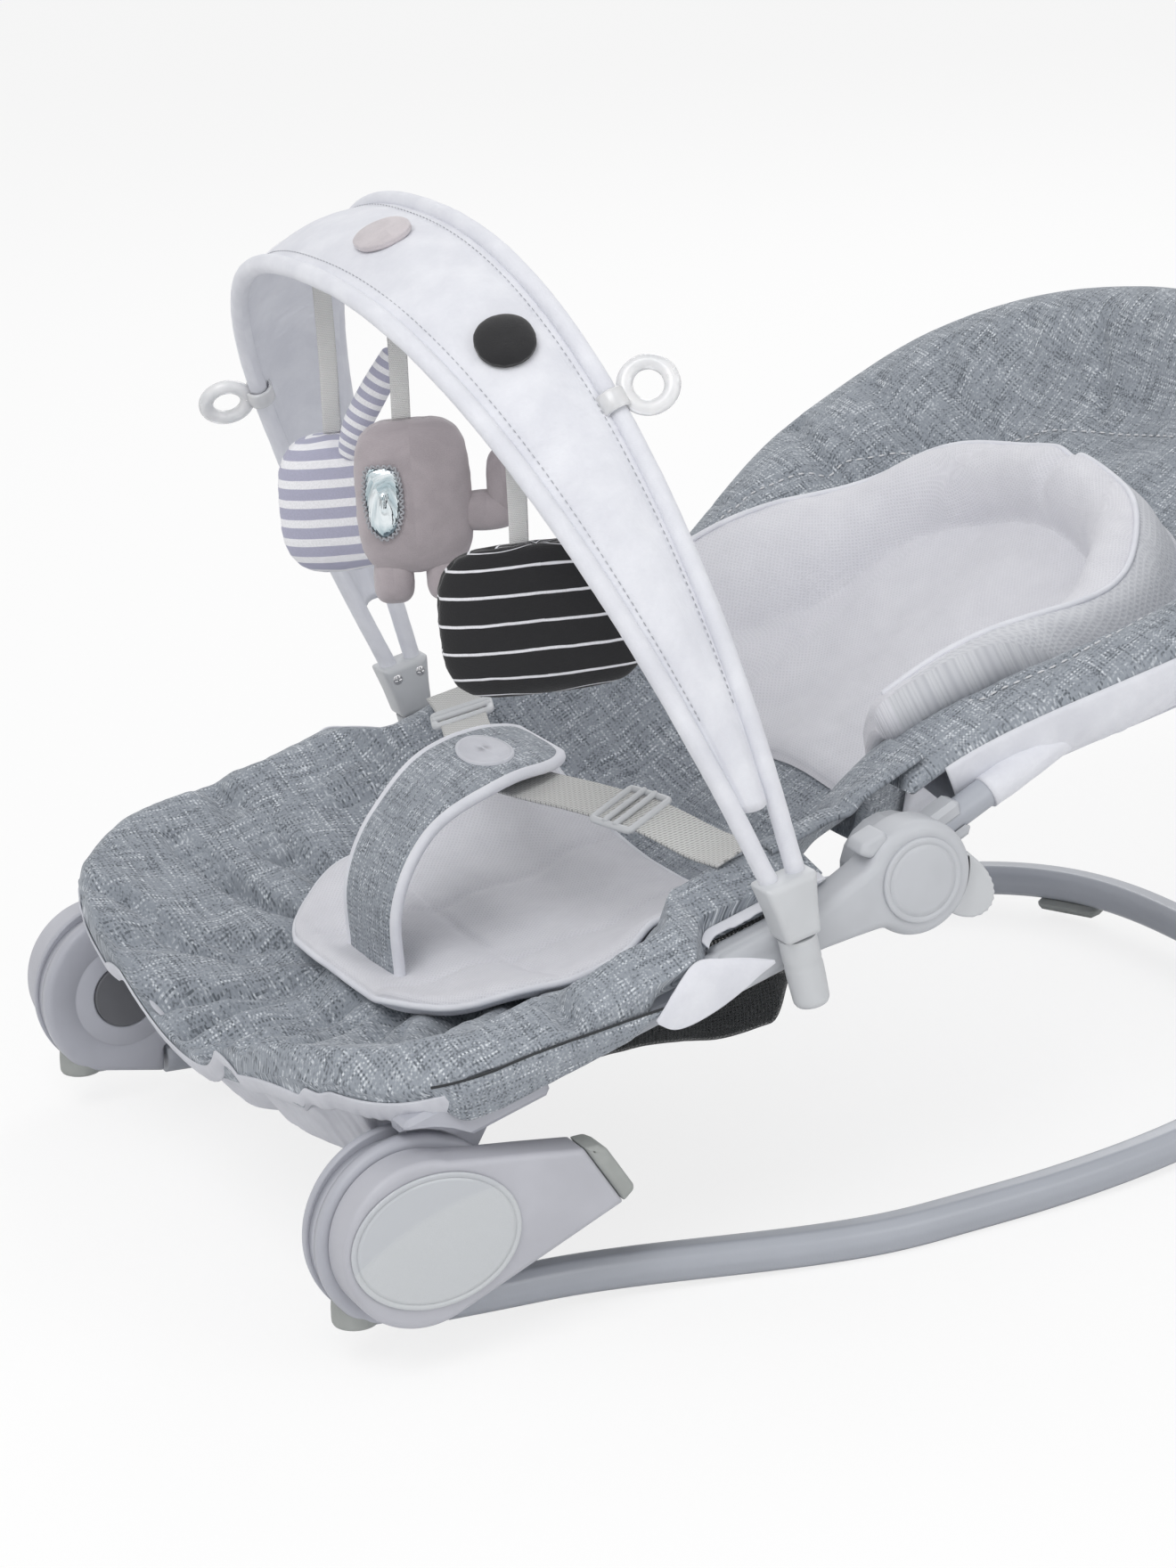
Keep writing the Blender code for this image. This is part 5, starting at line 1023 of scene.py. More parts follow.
bump = loopThrough(
    [
        (arms["at"] - 0.024, 0.024), (arms["at"] - 0.031, 0.030), (arms["at"] - 0.027, 0.0355),
        (arms["at"] - 0.012, 0.0372), (arms["at"] - 0.010, 0.030)
    ],
    60, 0.0016
)
armShape.add(collar).add(plate(seat, bump, 0.2275, 0.2462, 0.003))
stud = tube(seat.at((0.2480, 0.2520, 0.2580, 0.2640), 0.2466, 0.0), 0.0045)
addPair("reclineArm", armShape.add(stud), "arm", "seat", "recline_arm_{side}")

capRound = arcPoints((arms["at"], 0), arms["cap"], 0, 360, 120)[:-1]
capCentre = (arms["at"], 0)
top = arms["x"][1] + 0.0022
rings = [(arms["x"][1] - 0.001, capRound), (top - 0.0010, capRound)]
rings += edgeRings(capRound, top - 0.0010, 0.0010, 0.0014)
for reach, sunk in (
    (0.0236, 0), (0.0222, 0), (0.0219, 0.0004), (0.0214, 0.0004), (0.0211, 0.0), (0.0180, -0.0002),
    (0.0120, -0.0004), (0.0060, -0.0005), (0.0010, -0.0005)
):
    rings.append((top - sunk, roundFor(capRound, capCentre, reach)))
addPair("armCap", loft(seat, rings), "arm", "seat", None)

# the lever's outer edge swells between its two ends and is ribbed for the finger
lever = {"inner": 0.0350, "reach": 0.060, "top": 12.0, "bottom": -50.0, "x": (0.2254, 0.2409)}
share = np.linspace(1, 0, 90)
turns = np.radians(mix(lever["top"], lever["bottom"], share))
swell = np.maximum(np.sin(pi * np.minimum(share * 1.05, 1.0) ** 1.6), 0) ** 0.8
radius = mix(lever["inner"] + 0.003, lever["reach"], swell)
ribs = 0.0005 * np.sin(share * 2 * pi * 16) * smoothStep((swell - 0.45) / 0.3)
edge = np.stack(((radius + ribs) * np.cos(turns), (radius + ribs) * np.sin(turns)), 1)
leverOutline = loopThrough(
    np.vstack((arcPoints((0, 0), lever["inner"], lever["top"], lever["bottom"], 30), edge)), 260, 0.0005
)
addPair(
    "releaseLever", plate(recline, leverOutline, *lever["x"], 0.0022), "light", "lever_{side}",
    "release_lever_{side}"
)
print("arms and levers made")


toyBar = {
    "postX": 0.2617, "postRadius": 0.0112, "down": 0.030, "up": 0.0125, "clampHeight": 0.0375,
    "clampThick": 0.0235, "halfWidth": 0.2602, "power": 2.4, "sleeve": 0.0058,
    "front": (0.3565, 13.0, -0.0088), "rear": (0.360, 2.5, 0.0088), "crown": 0.006,
}
levels = np.concatenate((np.linspace(-toyBar["down"], toyBar["up"] - 0.0005, 22), (toyBar["up"],)))
sizes = np.full(len(levels), toyBar["postRadius"])
sizes[levels < -0.0262] -= 0.0012 * (1 - powerArc((-0.0262 - levels[levels < -0.0262]) / 0.0038, 2))
sizes -= 0.0006 * smoothStep((-levels - 0.010) / 0.02)
sizes[np.abs(levels + 0.0035).argmin()] -= 0.0004  # the seam line between the post's two halves
rings = [
    bar.at(toyBar["postX"] + around[:, 0] * s, around[:, 1] * s, z)
    for z, s in [(levels[0] - 0.0004, 0.006)] + list(zip(levels, sizes))
]
post = capped(rings, -1)
addPair("barPost", post, "light", "toy_posts", "bar_post_{side}")

low, high = toyBar["up"] + 0.0003, toyBar["up"] + toyBar["clampHeight"]
middleX = toyBar["halfWidth"] + 0.0015
clampOutline = loopThrough(
    [
        (-0.0112, low), (0.0112, low), (0.0135, low + 0.018), (0.0172, high), (-0.0172, high),
        (-0.0135, low + 0.018)
    ],
    160, 0.0018
)
clamp = plate(bar, clampOutline, middleX - toyBar["clampThick"] / 2, middleX + toyBar["clampThick"] / 2, 0.0042)
addPair("hoopClamp", clamp, "light", "toy_arch", "hoop_clamp_{side}")


# a cross-head screw: a shallow dome with two slots pressed in, standing on the clamp's inner face
def screwShape(y, z):
    x0 = middleX - toyBar["clampThick"] / 2
    turns = fullTurn(48)
    rings = []
    for reach in (0.0002, 0.0008, 0.0014, 0.0020, 0.0026, 0.0031, 0.0034):
        ring = np.stack((y + reach * np.cos(turns), z + reach * np.sin(turns)), 1)
        slot = np.minimum(np.abs(reach * np.cos(turns)), np.abs(reach * np.sin(turns))) < 0.00045
        sunk = 0.0009 * slot * (reach < 0.0023)
        rings.append(bar.at(x0 - 0.0013 * (1 - (reach / 0.0036) ** 2) + sunk, *ring.T))
    rings.append(bar.at(x0 + 0.001, y + 0.0034 * np.cos(turns), z + 0.0034 * np.sin(turns)))
    return capped(rings, -1)


addPair(
    "clampScrews", screwShape(-0.0085, high - 0.0088).add(screwShape(0.0085, high - 0.0088)), "steel",
    "toy_arch", None
)


# a hoop's point: the curve |x|^2.4 + |z|^2.4 = 1, leaning by its own angle
def hoopPoint(angle, hoop):
    length, lean, offset = hoop
    wide = signedPower(np.cos(angle), 2 / toyBar["power"])
    rise = np.abs(np.sin(angle)) ** (2 / toyBar["power"]) * length
    tilt = math.radians(lean)
    foot = toyBar["up"] + toyBar["clampHeight"]
    return np.stack(
        (wide * toyBar["halfWidth"], offset - rise * math.sin(tilt), foot + rise * math.cos(tilt)), -1
    )


def evenAngle(share):
    return pi * (share + 0.055 * np.sin(4 * pi * share))


def sleeveShape(hoop, seed):
    angles = evenAngle(np.linspace(0, 1, 260))
    run = hoopPoint(angles, hoop)
    run = np.concatenate((run[:1] + (0, 0, -0.008), run, run[-1:] + (0, 0, -0.008)))
    run = evenly(run, 360)
    at = np.linspace(0, 1.2, len(run))
    turns = fullTurn(28)
    swell = 1 + 0.05 * softNoise(
        at[:, None] * 1.0, np.cos(turns)[None] * 0.02 + np.sin(turns)[None] * 0.03, 0.022, seed
    )
    swell += 0.025 * softNoise(at[:, None], np.sin(turns)[None] * 0.004, 0.006, seed + 9)
    spots = bar.of(run)
    return tube(spots, toyBar["sleeve"] * 0.97, (0, 1, 0), 28, True, swell)


for name, hoop, node, seed in (
    ("frontSleeve", toyBar["front"], "hoop_front", 11), ("rearSleeve", toyBar["rear"], "hoop_rear", 23)
):
    addPiece(name, sleeveShape(hoop, seed), "pale", "toy_arch", node)


# a point of the cloth between the hoops: across runs -1 front to 1 rear, share along from left to right
def bandPoint(across, share, gap=0.0052, lift=0.0):
    angle = 0.05 + (pi - 0.10) * share
    angle = pi * (angle / pi + 0.055 * np.sin(4 * angle))
    front, rear = hoopPoint(angle, toyBar["front"]), hoopPoint(angle, toyBar["rear"])
    span = rear - front
    width = np.linalg.norm(span, axis=-1, keepdims=True)
    edge = np.minimum(gap / width, 0.45)
    mix = edge + (1 - 2 * edge) * (across[..., None] + 1) / 2
    outward = np.stack((np.cos(angle), np.zeros_like(angle), np.sin(angle)), -1)
    return front + span * mix + outward * (toyBar["crown"] * (1 - across[..., None] ** 2) + lift[..., None])


def bandGrid(across, share, plain=False):
    a, s = spread(across, share)
    if plain:
        return bandPoint(a, s, lift=np.zeros_like(a))
    wrinkles = 0.0011 * softNoise(s * 1.15, a * 0.045 + s * 0.25, 0.030, 5) * (1 - a**4)
    wrinkles += 0.0005 * softNoise(s * 1.15, a * 0.02, 0.008, 6) * np.abs(a) ** 3
    hem = -0.0005 * bell(np.abs(a) - 0.80, 0.06)
    return bandPoint(a, s, lift=wrinkles + hem)


local = bandGrid((-1, 1, 48), (0, 1, 420))
bandTop = bar.of(local)
band = addPiece("archBand", closedSheet(bandTop, 0.0016), "pale", "toy_arch", "arch_band")
flatBand = bandGrid((-1, 1, 9), (0, 1, 200), True)
bandSize = (float(distances(flatBand[:, 4])[-1]), gridSize(flatBand)[0])
seams = Shape()
for across in (-0.84, 0.84):
    share = np.linspace(0.03, 0.97, 500)
    a = np.full_like(share, across)
    line = bandPoint(a, share, lift=np.full_like(share, 0.0010))
    spots = bar.of(line)
    seams.add(stitches(spots, np.array((0, 0, 1.0)), 0.0028, 0.0016, 0.00032))
addPiece("bandStitches", seams, "greyThread", "toy_arch", None)


# the band's middle point over x, and the way out of the cloth there
def bandFrame(x):
    share = np.linspace(0, 1, 2001)
    zero = np.zeros_like(share)
    line = bandPoint(zero, share, lift=zero)
    k = int(np.abs(line[:, 0] - x).argmin())
    side = bandPoint(zero + 0.2, share, lift=zero)[k] - bandPoint(zero - 0.2, share, lift=zero)[k]
    outward = np.cross(line[k + 4] - line[k - 4], side)
    outward = unit(outward)
    return line[k], outward * np.sign(outward[2])


# a sewn, filled shape: a ball squared off by its fullness, a seam drawn in round its middle and small puckers
# there
def stuffedGrid(half, fullness, rows=60, columns=96, seam=0, pucker=0.02, seed=1, dent=0.0):
    u, v = np.meshgrid(fullTurn(columns), np.linspace(-pi / 2 + 0.02, pi / 2 - 0.02, rows))
    ball = [np.cos(v) * np.cos(u), np.cos(v) * np.sin(u), np.sin(v)]
    others = [k for k in range(3) if k != seam]
    size = np.abs(ball[others[0]]) ** fullness + np.abs(ball[others[1]]) ** fullness + np.abs(ball[seam]) ** 2.2
    size = size ** (1 / fullness)
    at = [part / size for part in ball]
    rounding = np.arctan2(at[others[1]], at[others[0]])
    edge = bell(at[seam], 0.20)
    pull = 1 - pucker * edge * (0.6 + 0.4 * np.sin(rounding * 23 + seed) * np.sin(rounding * 9 + 2 * seed))
    lumps = 1 + 0.018 * softNoise(at[others[0]] + seed, at[others[1]] + 0.3 * at[seam], 0.5, seed)
    at = [part * lumps * (pull if k != seam else 1) for k, part in enumerate(at)]
    at[seam] = at[seam] * (1 - dent * bell(np.hypot(at[others[0]], at[others[1]]), 0.35))
    return np.stack([part * h for part, h in zip(at, half)], -1)


def stuffedShape(place, centre, half, fullness, **settings):
    surface = stuffedGrid(half, fullness, **settings) + np.asarray(centre)
    return capped(place.of(surface))


def stuffedPiece(name, shape, finish, body, stands):
    piece = addPiece(name, shape, finish, body, stands)
    return piece


# a place whose Z runs along a direction, for discs that stand on the band
def placeAlong(origin, direction, inside):
    z = inside.turn @ np.asarray(direction)
    x = np.cross((0, 1, 0), z)
    x = unit(x)
    return Place(inside.at(*origin), np.stack((x, np.cross(z, x), z), 1))


for name, x, finish in (
    ("stripedDisc", -0.150, "tailStripes"), ("mauveDisc", 0.030, "mauvePale"), ("blackDisc", 0.155, "black")
):
    centre, outward = bandFrame(x)
    spot = placeAlong(centre + outward * 0.0032, outward, bar)
    shape = stuffedShape(
        spot, (0, 0, 0), (0.0178, 0.0178, 0.0052 if x > 0 else 0.0040), 2.1, rows=36, columns=84, seam=2,
        pucker=0.05, seed=4
    )
    stuffedPiece(name, shape, finish, "toy_arch", None)


handRing = {"collar": 0.0090, "radius": 0.0133, "section": 0.0046}


# a thick ring with a cut that meets in a point by its collar
def ringShape(hoop, angle, outward):
    here = hoopPoint(np.array(angle), hoop)
    run = hoopPoint(np.array(angle + 0.02), hoop) - hoopPoint(np.array(angle - 0.02), hoop)
    run = unit(run)
    outward = np.asarray(outward, float)
    outward = outward - run * (outward @ run)
    outward = unit(outward)
    spot = Place(bar.at(*here), bar.turn @ np.stack((run, outward, np.cross(run, outward)), 1))
    collar, ring, section = handRing["collar"], handRing["radius"], handRing["section"]
    turns = fullTurn(120)
    sectionTurns = fullTurn(36)
    thick = section * (1 + 0.03 * np.cos(turns * 2))[:, None]
    reach = ring + thick * np.cos(sectionTurns)[None]
    surface = spot.at(
        reach * np.sin(turns)[:, None], collar + ring - 0.0005 + reach * np.cos(turns)[:, None],
        thick * 0.94 * np.sin(sectionTurns)[None]
    )
    shape = Shape()
    surface = np.concatenate((surface, surface[:1]))
    shape.grid(surface[:-1], wrap=True)
    last = np.arange(36) + 36 * 119
    first = np.arange(36)
    faces = np.stack((last, np.roll(last, -1), np.roll(first, -1), first), 1)
    shape.faces.append(faces)
    shape.places.append(np.tile(np.array(((0, 0), (0.001, 0), (0.001, 0.001), (0, 0.001))), (36, 1, 1)))
    shape.outward()
    collarTube = Shape()
    profile = [
        (-0.0060, 0.0074), (-0.0060, 0.0086), (-0.0052, 0.0091), (0.0052, 0.0091), (0.0060, 0.0086),
        (0.0060, 0.0074), (0.0, 0.0070)
    ]
    rings = [spot.at(np.full(48, x), r * around[:, 0], r * around[:, 1]) for x, r in profile]
    surface = np.stack(rings + rings[:1])
    collarTube.grid(surface, wrap=True)
    return shape.add(collarTube.outward())


for name, hoop, angle, way, node in (
    ("nearRing", toyBar["rear"], 0.80, (0.2, 1.0, 0.25), "ring_near"),
    ("farRing", toyBar["front"], pi - 0.62, (-0.3, -1.0, 0.1), "ring_far"),
):
    addPiece(
        name, ringShape(hoop, angle, way), "milky", node.replace("ring_", "") + "_ring", node
    )
print("toy bar made")


toys = {"striped": (-0.085, 0.122, -22.0), "mauve": (0.030, 0.100, -24.0), "dark": (0.155, 0.110, -18.0)}
hangs = {}
for name, (x, drop, spin) in toys.items():
    centre, outward = bandFrame(x)
    under = centre - outward * (0.0011 + 0.0045)
    hangs[name] = (bar.inside(under, bouncer["lean"] - bouncer["postTilt"], spin), -drop - 0.0008)
    place, _ = hangs[name]
    a, b = spread((-1, 1, 9), (0, 1, 90))
    gathered = 1 - 0.72 * bell(b, 0.055)
    y = a * 0.0055 * gathered + 0.0012 * np.sin(b * 3.0)
    sway = 0.0006 * np.sin(b * 9 + a) + 0.0016 * bell(b, 0.06) * np.cos(a * 6)
    node = {"striped": "stripe_ribbon", "mauve": "mauve_ribbon", "dark": "black_ribbon"}[name]
    surface = place.at(sway, y, 0.0020 * (1 - b) - drop * b - 0.001 * b)
    ribbon = addPiece(f"{name}Ribbon", closedSheet(surface, 0.0009), "ribbon", f"{name}_toy", node)

fine = {"rows": 90, "columns": 128}
place, top = hangs["striped"]
stuffedPiece(
    "stripedToy",
    stuffedShape(place, (0, 0, top - 0.043), (0.0176, 0.0365, 0.0435), 3.0, pucker=0.05, seed=3, **fine),
    "stripes", "striped_toy", "stripe_toy_body"
)
tailRun = smoothRun(
    [
        (0.010, 0.010, top - 0.010), (0.0145, 0.014, top + 0.004), (0.016, 0.020, top + 0.016),
        (0.018, 0.040, top + 0.048)
    ],
    60
)
tailRun = place.of(tailRun)
tailSize = 0.0085 * (0.75 + 0.32 * np.sin(np.linspace(0.15, 1, 60) * 2.6))
stuffedPiece(
    "stripedTail", tube(tailRun, tailSize, (1, 0, 0), 40), "tailStripes", "striped_toy", "stripe_toy_tail",
)

place, top = hangs["mauve"]
stuffedPiece(
    "mauveToy",
    stuffedShape(place, (0, 0.004, top - 0.046), (0.0178, 0.0345, 0.0465), 3.6, pucker=0.03, seed=6, **fine),
    "mauve", "mauve_toy", "mauve_toy_body"
)
armY, armZ = 0.046, top - 0.058
limb = stuffedShape(place, (0, armY, armZ), (0.0118, 0.0185, 0.0118), 3.0, rows=30, columns=48, seed=2)
limb.add(
    stuffedShape(
        place, (0, armY + 0.010, armZ + 0.013), (0.0108, 0.0092, 0.0232), 3.0, rows=36, columns=48, seed=5
    )
)
stuffedPiece("mauveArm", limb, "mauve", "mauve_toy", "mauve_toy_arm")
for name, y in (("front", -0.011), ("rear", 0.020)):
    shape = stuffedShape(place, (0, y, top - 0.096), (0.0120, 0.0120, 0.0142), 3.0, rows=30, columns=48, seed=8)
    stuffedPiece(
        f"mauveFoot{name.capitalize()}", shape, "mauve", "mauve_toy", f"mauve_toy_foot_{name}"
    )

# the mirror: film in a stitched cord border, on the toy's near cheek
mirror = loopThrough(
    [
        (-0.026, 0.021), (-0.010, 0.021), (-0.008, 0.012), (-0.008, -0.006), (-0.012, -0.017), (-0.019, -0.021),
        (-0.026, -0.014), (-0.028, 0.004)
    ],
    120, 0.0022
)
mirrorMiddle = mirror.mean(0)


# the toy's cheek at (y, z): the superellipsoid's own height over its middle plane
def cheek(y, z, lift=0.0):
    a, b = np.abs(y / 0.0345), np.abs(z / 0.0465)
    return 0.0178 * np.clip(1 - a**3.6 - b**3.6, 0.02, 1) ** (1 / 2.2) + lift


def onCheek(outline, lift):
    return place.at(cheek(*outline.T, lift), outline[:, 0] + 0.004, top - 0.046 + outline[:, 1])


rings = [
    onCheek(shrunk(mirror, mirrorMiddle, s), 0.0010 + 0.0004 * (1 - s)) for s in (0.05, 0.3, 0.55, 0.8, 1.0)
]
rings.append(onCheek(mirror, -0.0006))
film = capped(rings, -1)
addPiece("mirrorFilm", film, "mirror", "mauve_toy", None)
zig = 0.0009 * np.sin(np.linspace(0, 2 * pi * 34, 600, endpoint=False))
cord = loopThrough(mirror, 600)
cord = drawnIn(cord, -0.0012) + zig[:, None] * (drawnIn(cord, -1.0) - cord)
edgeRun = onCheek(cord, 0.0010)
border = Shape()
ways = runDirections(edgeRun)
across = np.cross(ways, place.turn[:, 0])
cosines, sines = np.cos(fullTurn(6))[None, :, None], np.sin(fullTurn(6))[None, :, None]
ring = edgeRun[:, None] + 0.0006 * (cosines * across[:, None] + sines * place.turn[:, 0])
border.grid(np.concatenate((ring, ring[:1])), wrap=True)
addPiece("mirrorBorder", border.outward(), "greyThread", "mauve_toy", None)

place, top = hangs["dark"]
stuffedPiece(
    "darkToy",
    stuffedShape(
        place, (0, 0.010, top - 0.044), (0.0152, 0.0590, 0.0445), 4.0, pucker=0.05, seed=9, dent=0.15, rows=90,
        columns=150
    ),
    "blackLines", "dark_toy", "black_toy"
)
print("toys made")


seatPad = {
    "front": -0.0432, "rear": 0.2908, "halfWidth": 0.262, "innerHalf": 0.2215, "cornerStart": 0.081, "cornerPower": 2.8,
    "slimStart": 0.180, "slimEnd": 0.214, "crest": 0.0371, "sagRear": 0.050, "thick": 0.022, "skirtShare": 0.86,
    "skirtDrop": 0.018, "cornerLift": 0.020,
}


# half width of the seat pad: a rounded front, full over the tubes, slimmer between the arms
def seatHalf(run):
    s = seatPad
    rounded = s["halfWidth"] * powerArc(
        0.97 * (s["cornerStart"] - run) / (s["cornerStart"] - s["front"]), s["cornerPower"]
    )
    slim = smoothStep((run - s["slimStart"]) / (s["slimEnd"] - s["slimStart"]))
    return np.where(run < s["cornerStart"], rounded, mix(s["halfWidth"], s["innerHalf"], slim))


# height of the pad's top over the seat line: a crest over each tube, a sag between, deeper to the rear
def seatTop(x, run):
    s = seatPad
    share = (run - s["front"]) / (s["rear"] - s["front"])
    sag = s["sagRear"] * smoothStep(1.15 * share)
    half = np.minimum(seatHalf(run), s["halfWidth"]) - 0.030
    inward = np.minimum(np.abs(x) / np.maximum(half, 0.02), 1.0)
    front = smoothStep((run - s["front"]) / 0.09)
    crest = mix(0.024, s["crest"], front)
    crease = 0.006 * np.cos(2 * pi * run / 0.062) * (1 - inward) * front
    outward = np.maximum(np.abs(x) - half, 0.0) / 0.030
    return crest - (crest + sag) * (1 - inward**2.4) - 0.012 * outward**2 + 0.5 * crease


# height of its underside, kept clear of the hubs, holders and side tubes
def seatUnder(x, run):
    plain = seatTop(x, run) - seatPad["thick"]
    overHolder = 1 - smoothStep((run - 0.107) / 0.012)
    tubeClear = 0.010 + 0.004 * overHolder + 0.0024
    overTube = smoothStep((np.abs(x) - 0.188) / 0.014)
    overHub = smoothStep((np.abs(x) - 0.1715) / 0.010) * overHolder
    hubClear = 0.058 - 0.0587 * math.cos(math.radians(16.43)) + 0.004
    height = mix(plain, np.maximum(hubClear, plain), overHub)
    return mix(height, np.maximum(tubeClear, height), overTube)


def skirtDrop(run):
    start = smoothStep((run - 0.050) / 0.024)
    return seatPad["skirtDrop"] * start * (1 - smoothStep((run - 0.140) / 0.024))


# creases: angle from the seat's middle, start, end, depth, width
def creaseSet(seed, angles, start, end, depth, width):
    picks = np.random.default_rng(seed)
    return [
        (
            a + picks.uniform(-2, 2), start * picks.uniform(0.8, 1.25), end * picks.uniform(0.9, 1.1),
            depth * picks.uniform(0.5, 1.3), width * picks.uniform(0.7, 1.3)
        )
        for a in angles
    ]


frontCreases = creaseSet(
    31, (-168, -150, -134, -122, -110, -99, -90, -81, -70, -58, -46, -30, -12), 0.075, 0.235, 0.0150, 0.0080
)
frontCreases += creaseSet(32, (-160, -128, -104, -94, -76, -64, -40, -20), 0.10, 0.185, 0.0075, 0.0050)


def cornerLift(x, run):
    return seatPad["cornerLift"] * bell(np.abs(x) - 0.150, 0.070) * (1 - smoothStep((run + 0.03) / 0.075))


def seatPadGrid():
    a, b = spread((-1, 1, 281), (0, 1, 230))
    run = mix(seatPad["front"], seatPad["rear"], b**1.25)
    share = np.minimum(np.abs(a) / seatPad["skirtShare"], 1.0)
    down = np.maximum(np.abs(a) - seatPad["skirtShare"], 0.0) / (1 - seatPad["skirtShare"])
    x = np.sign(a) * share * seatHalf(run)
    drop = skirtDrop(run) * down
    wide = smoothStep((seatHalf(run) - 0.250) / 0.012)
    xUnder = np.sign(a) * share * (seatHalf(run) - 0.012 * wide)
    front = np.clip((run - seatPad["front"]) / 0.030, 0, 1)
    side = np.clip((1 - np.abs(a)) / 0.14, 0, 1)
    rear = np.clip((seatPad["rear"] - run) / 0.020, 0, 1)
    edge = np.minimum(np.minimum(front, side), rear)
    full = roundUp(edge)
    creases = rayCreases(x, run, (0.0, 0.150), frontCreases)
    folds = creases * smoothStep(edge * 3)
    puff = 0.0050 * softNoise(x, run, 0.055, 3, 2) + 0.0014 * softNoise(x, run, 0.014, 8, 2)
    puff = puff + 0.010 * bell(np.abs(x) - 0.215, 0.045) * (1 - smoothStep((run - 0.02) / 0.07))
    high = seatTop(x, run) - drop + folds + puff * edge + cornerLift(x, run)
    low = seatUnder(x, run) - drop + cornerLift(x, run)
    high = np.maximum(high, low + 0.006)
    return seat.at(x, run, high), seat.at(xUnder, run, low), full, padPlaces(x, run, seatTop(x, run) - drop)


top, under, full, places = seatPadGrid()
pad = addPiece("seatPad", closedPad(top, under, full, places), "linen", "seat", "seat_pad")

# the rim's middle line, evenly spaced from one front corner to the other: x, reach along the seat
def frontRim(count):
    reach = seatPad["front"] + (0.034 - seatPad["front"]) * np.linspace(1, 0, 900) ** 2
    side = np.stack((seatHalf(reach), reach), 1)
    return evenly(np.concatenate((side, side[::-1] * (-1, 1))), count)


rimLine = frontRim(520)
rimAt = np.linspace(0, 1, len(rimLine))[:, None]
rimHigh = (seatTop(*rimLine.T) + seatUnder(*rimLine.T)) / 2 + cornerLift(*rimLine.T)
away = rimLine - np.array((0.0, 0.10))
away = unit(away)
atEnds = bell(rimAt - 0.06, 0.10) + bell(rimAt - 0.94, 0.10)


# the pale lining that shows below the front rim as a narrow gathered strip
def liningStrip():
    b = np.linspace(0, 1, 14)[None, :]
    gathers = 0.0004 * np.sin(rimAt * 420 + 5 * softNoise(rimAt, rimAt * 0, 0.08, 40)) * (0.4 + atEnds)
    inward = -0.0016 + 0.0050 * b**2 - (gathers + 0.0007 * softNoise(rimAt * 0.75, b * 0.012, 0.020, 41)) * b
    high = rimHigh[:, None] + 0.0015 - 0.0135 * b
    return rimLine[:, :1] - away[:, :1] * inward, rimLine[:, 1:] - away[:, 1:] * inward, high


stripX, stripRun, stripHigh = liningStrip()
lining = addPiece(
    "frontLining", closedSheet(seat.at(stripX, stripRun, stripHigh), 0.0012), "lining", "seat", None,
)
print("seat pad made")


# the panel under the seat's front: from the strip's lower edge it bellies down, deepest beside the hubs, and
# goes
# back to the cross bar; its corners are drawn in over the holders in twisted folds
def underPanelGrid():
    b = np.linspace(0, 1, 70)[None, :]
    startX, startRun, startHigh = stripX[:, -1:], stripRun[:, -1:], stripHigh[:, -1:] + 0.0008
    side = np.sign(startX)
    tucked = mix(np.abs(startX), np.minimum(np.abs(startX), 0.2035), smoothStep(b / 0.13))
    endX = 0.192 * (2 * rimAt - 1) * np.sign(rimLine[-1, 0])
    endHigh = seatUnder(endX, 0.083 + 0 * endX) - 0.0205
    x = mix(side * tucked, endX, smoothStep(b))
    x = np.clip(x, -tucked, tucked)
    run = mix(startRun, 0.083, b**1.1)
    depth = 0.028 + 0.014 * (bell(rimAt - 0.20, 0.13) + bell(rimAt - 0.80, 0.13))
    fall = np.sin(pi * np.clip(b - 0.03, 0, 1) ** 0.62) * smoothStep((b - 0.03) / 0.15)
    drop = np.where(np.abs(startX) > 0.2035, smoothStep((b - 0.11) / 0.12), 1.0)
    twist = (
        0.0012 * np.sin(b * 46 + rimAt * 130) * atEnds * smoothStep(b / 0.05)
        * (1 - smoothStep((b - 0.12) / 0.3))
    )
    folds = 0.0040 * softNoise(rimAt * 0.5 + b * 0.05, b * 0.10, 0.038, 51, 2) * np.sin(pi * b)
    slanted = bell(rimAt - 0.70 - 0.13 * b, 0.018) + bell(rimAt - 0.30 + 0.13 * b, 0.018)
    folds -= 0.0045 * slanted * np.sin(pi * b)
    high = startHigh + (endHigh - startHigh) * smoothStep(b) * drop - depth * fall * drop + twist + folds * drop
    return seat.at(x, run, high)


surface = underPanelGrid()
panel = addPiece("underPanel", closedSheet(surface, 0.0014), "lining", "seat", "under_panel")
gridSize(surface)[::-1]


netPouch = {
    "start": 0.131, "length": 0.143, "half": 0.1995, "hang": 0.030, "middleHang": 0.044, "thick": 0.0016
}


# the net pouch: hung from the pad's sides, sagging in its middle, with a bound rear edge
def pouchGrid():
    n = netPouch
    a, b = spread((-1, 1, 180), (-1, 1, 120))
    run = n["start"] + n["length"] * (b + 1) / 2
    x = a * n["half"] * (1 - 0.02 * np.sin(pi * (b + 1) / 2))
    hung = seatTop(x, run) - n["hang"]
    middle = seatTop(0 * x, run) - n["middleHang"]
    low = -0.036 - 0.045 * smoothStep((run - 0.135) / 0.12)
    low = np.minimum(mix(middle, np.maximum(low, middle), a**2), hung - 0.003)
    closing = smoothStep((b + 1) / 0.22) * (1 - 0.35 * smoothStep((b - 0.7) / 0.3))
    folds = 0.0030 * softNoise(x, run, 0.034, 61) * (1 - a**4)
    return seat.at(x, run, hung + (low - hung) * (1 - np.abs(a) ** 22) * closing + folds * closing)


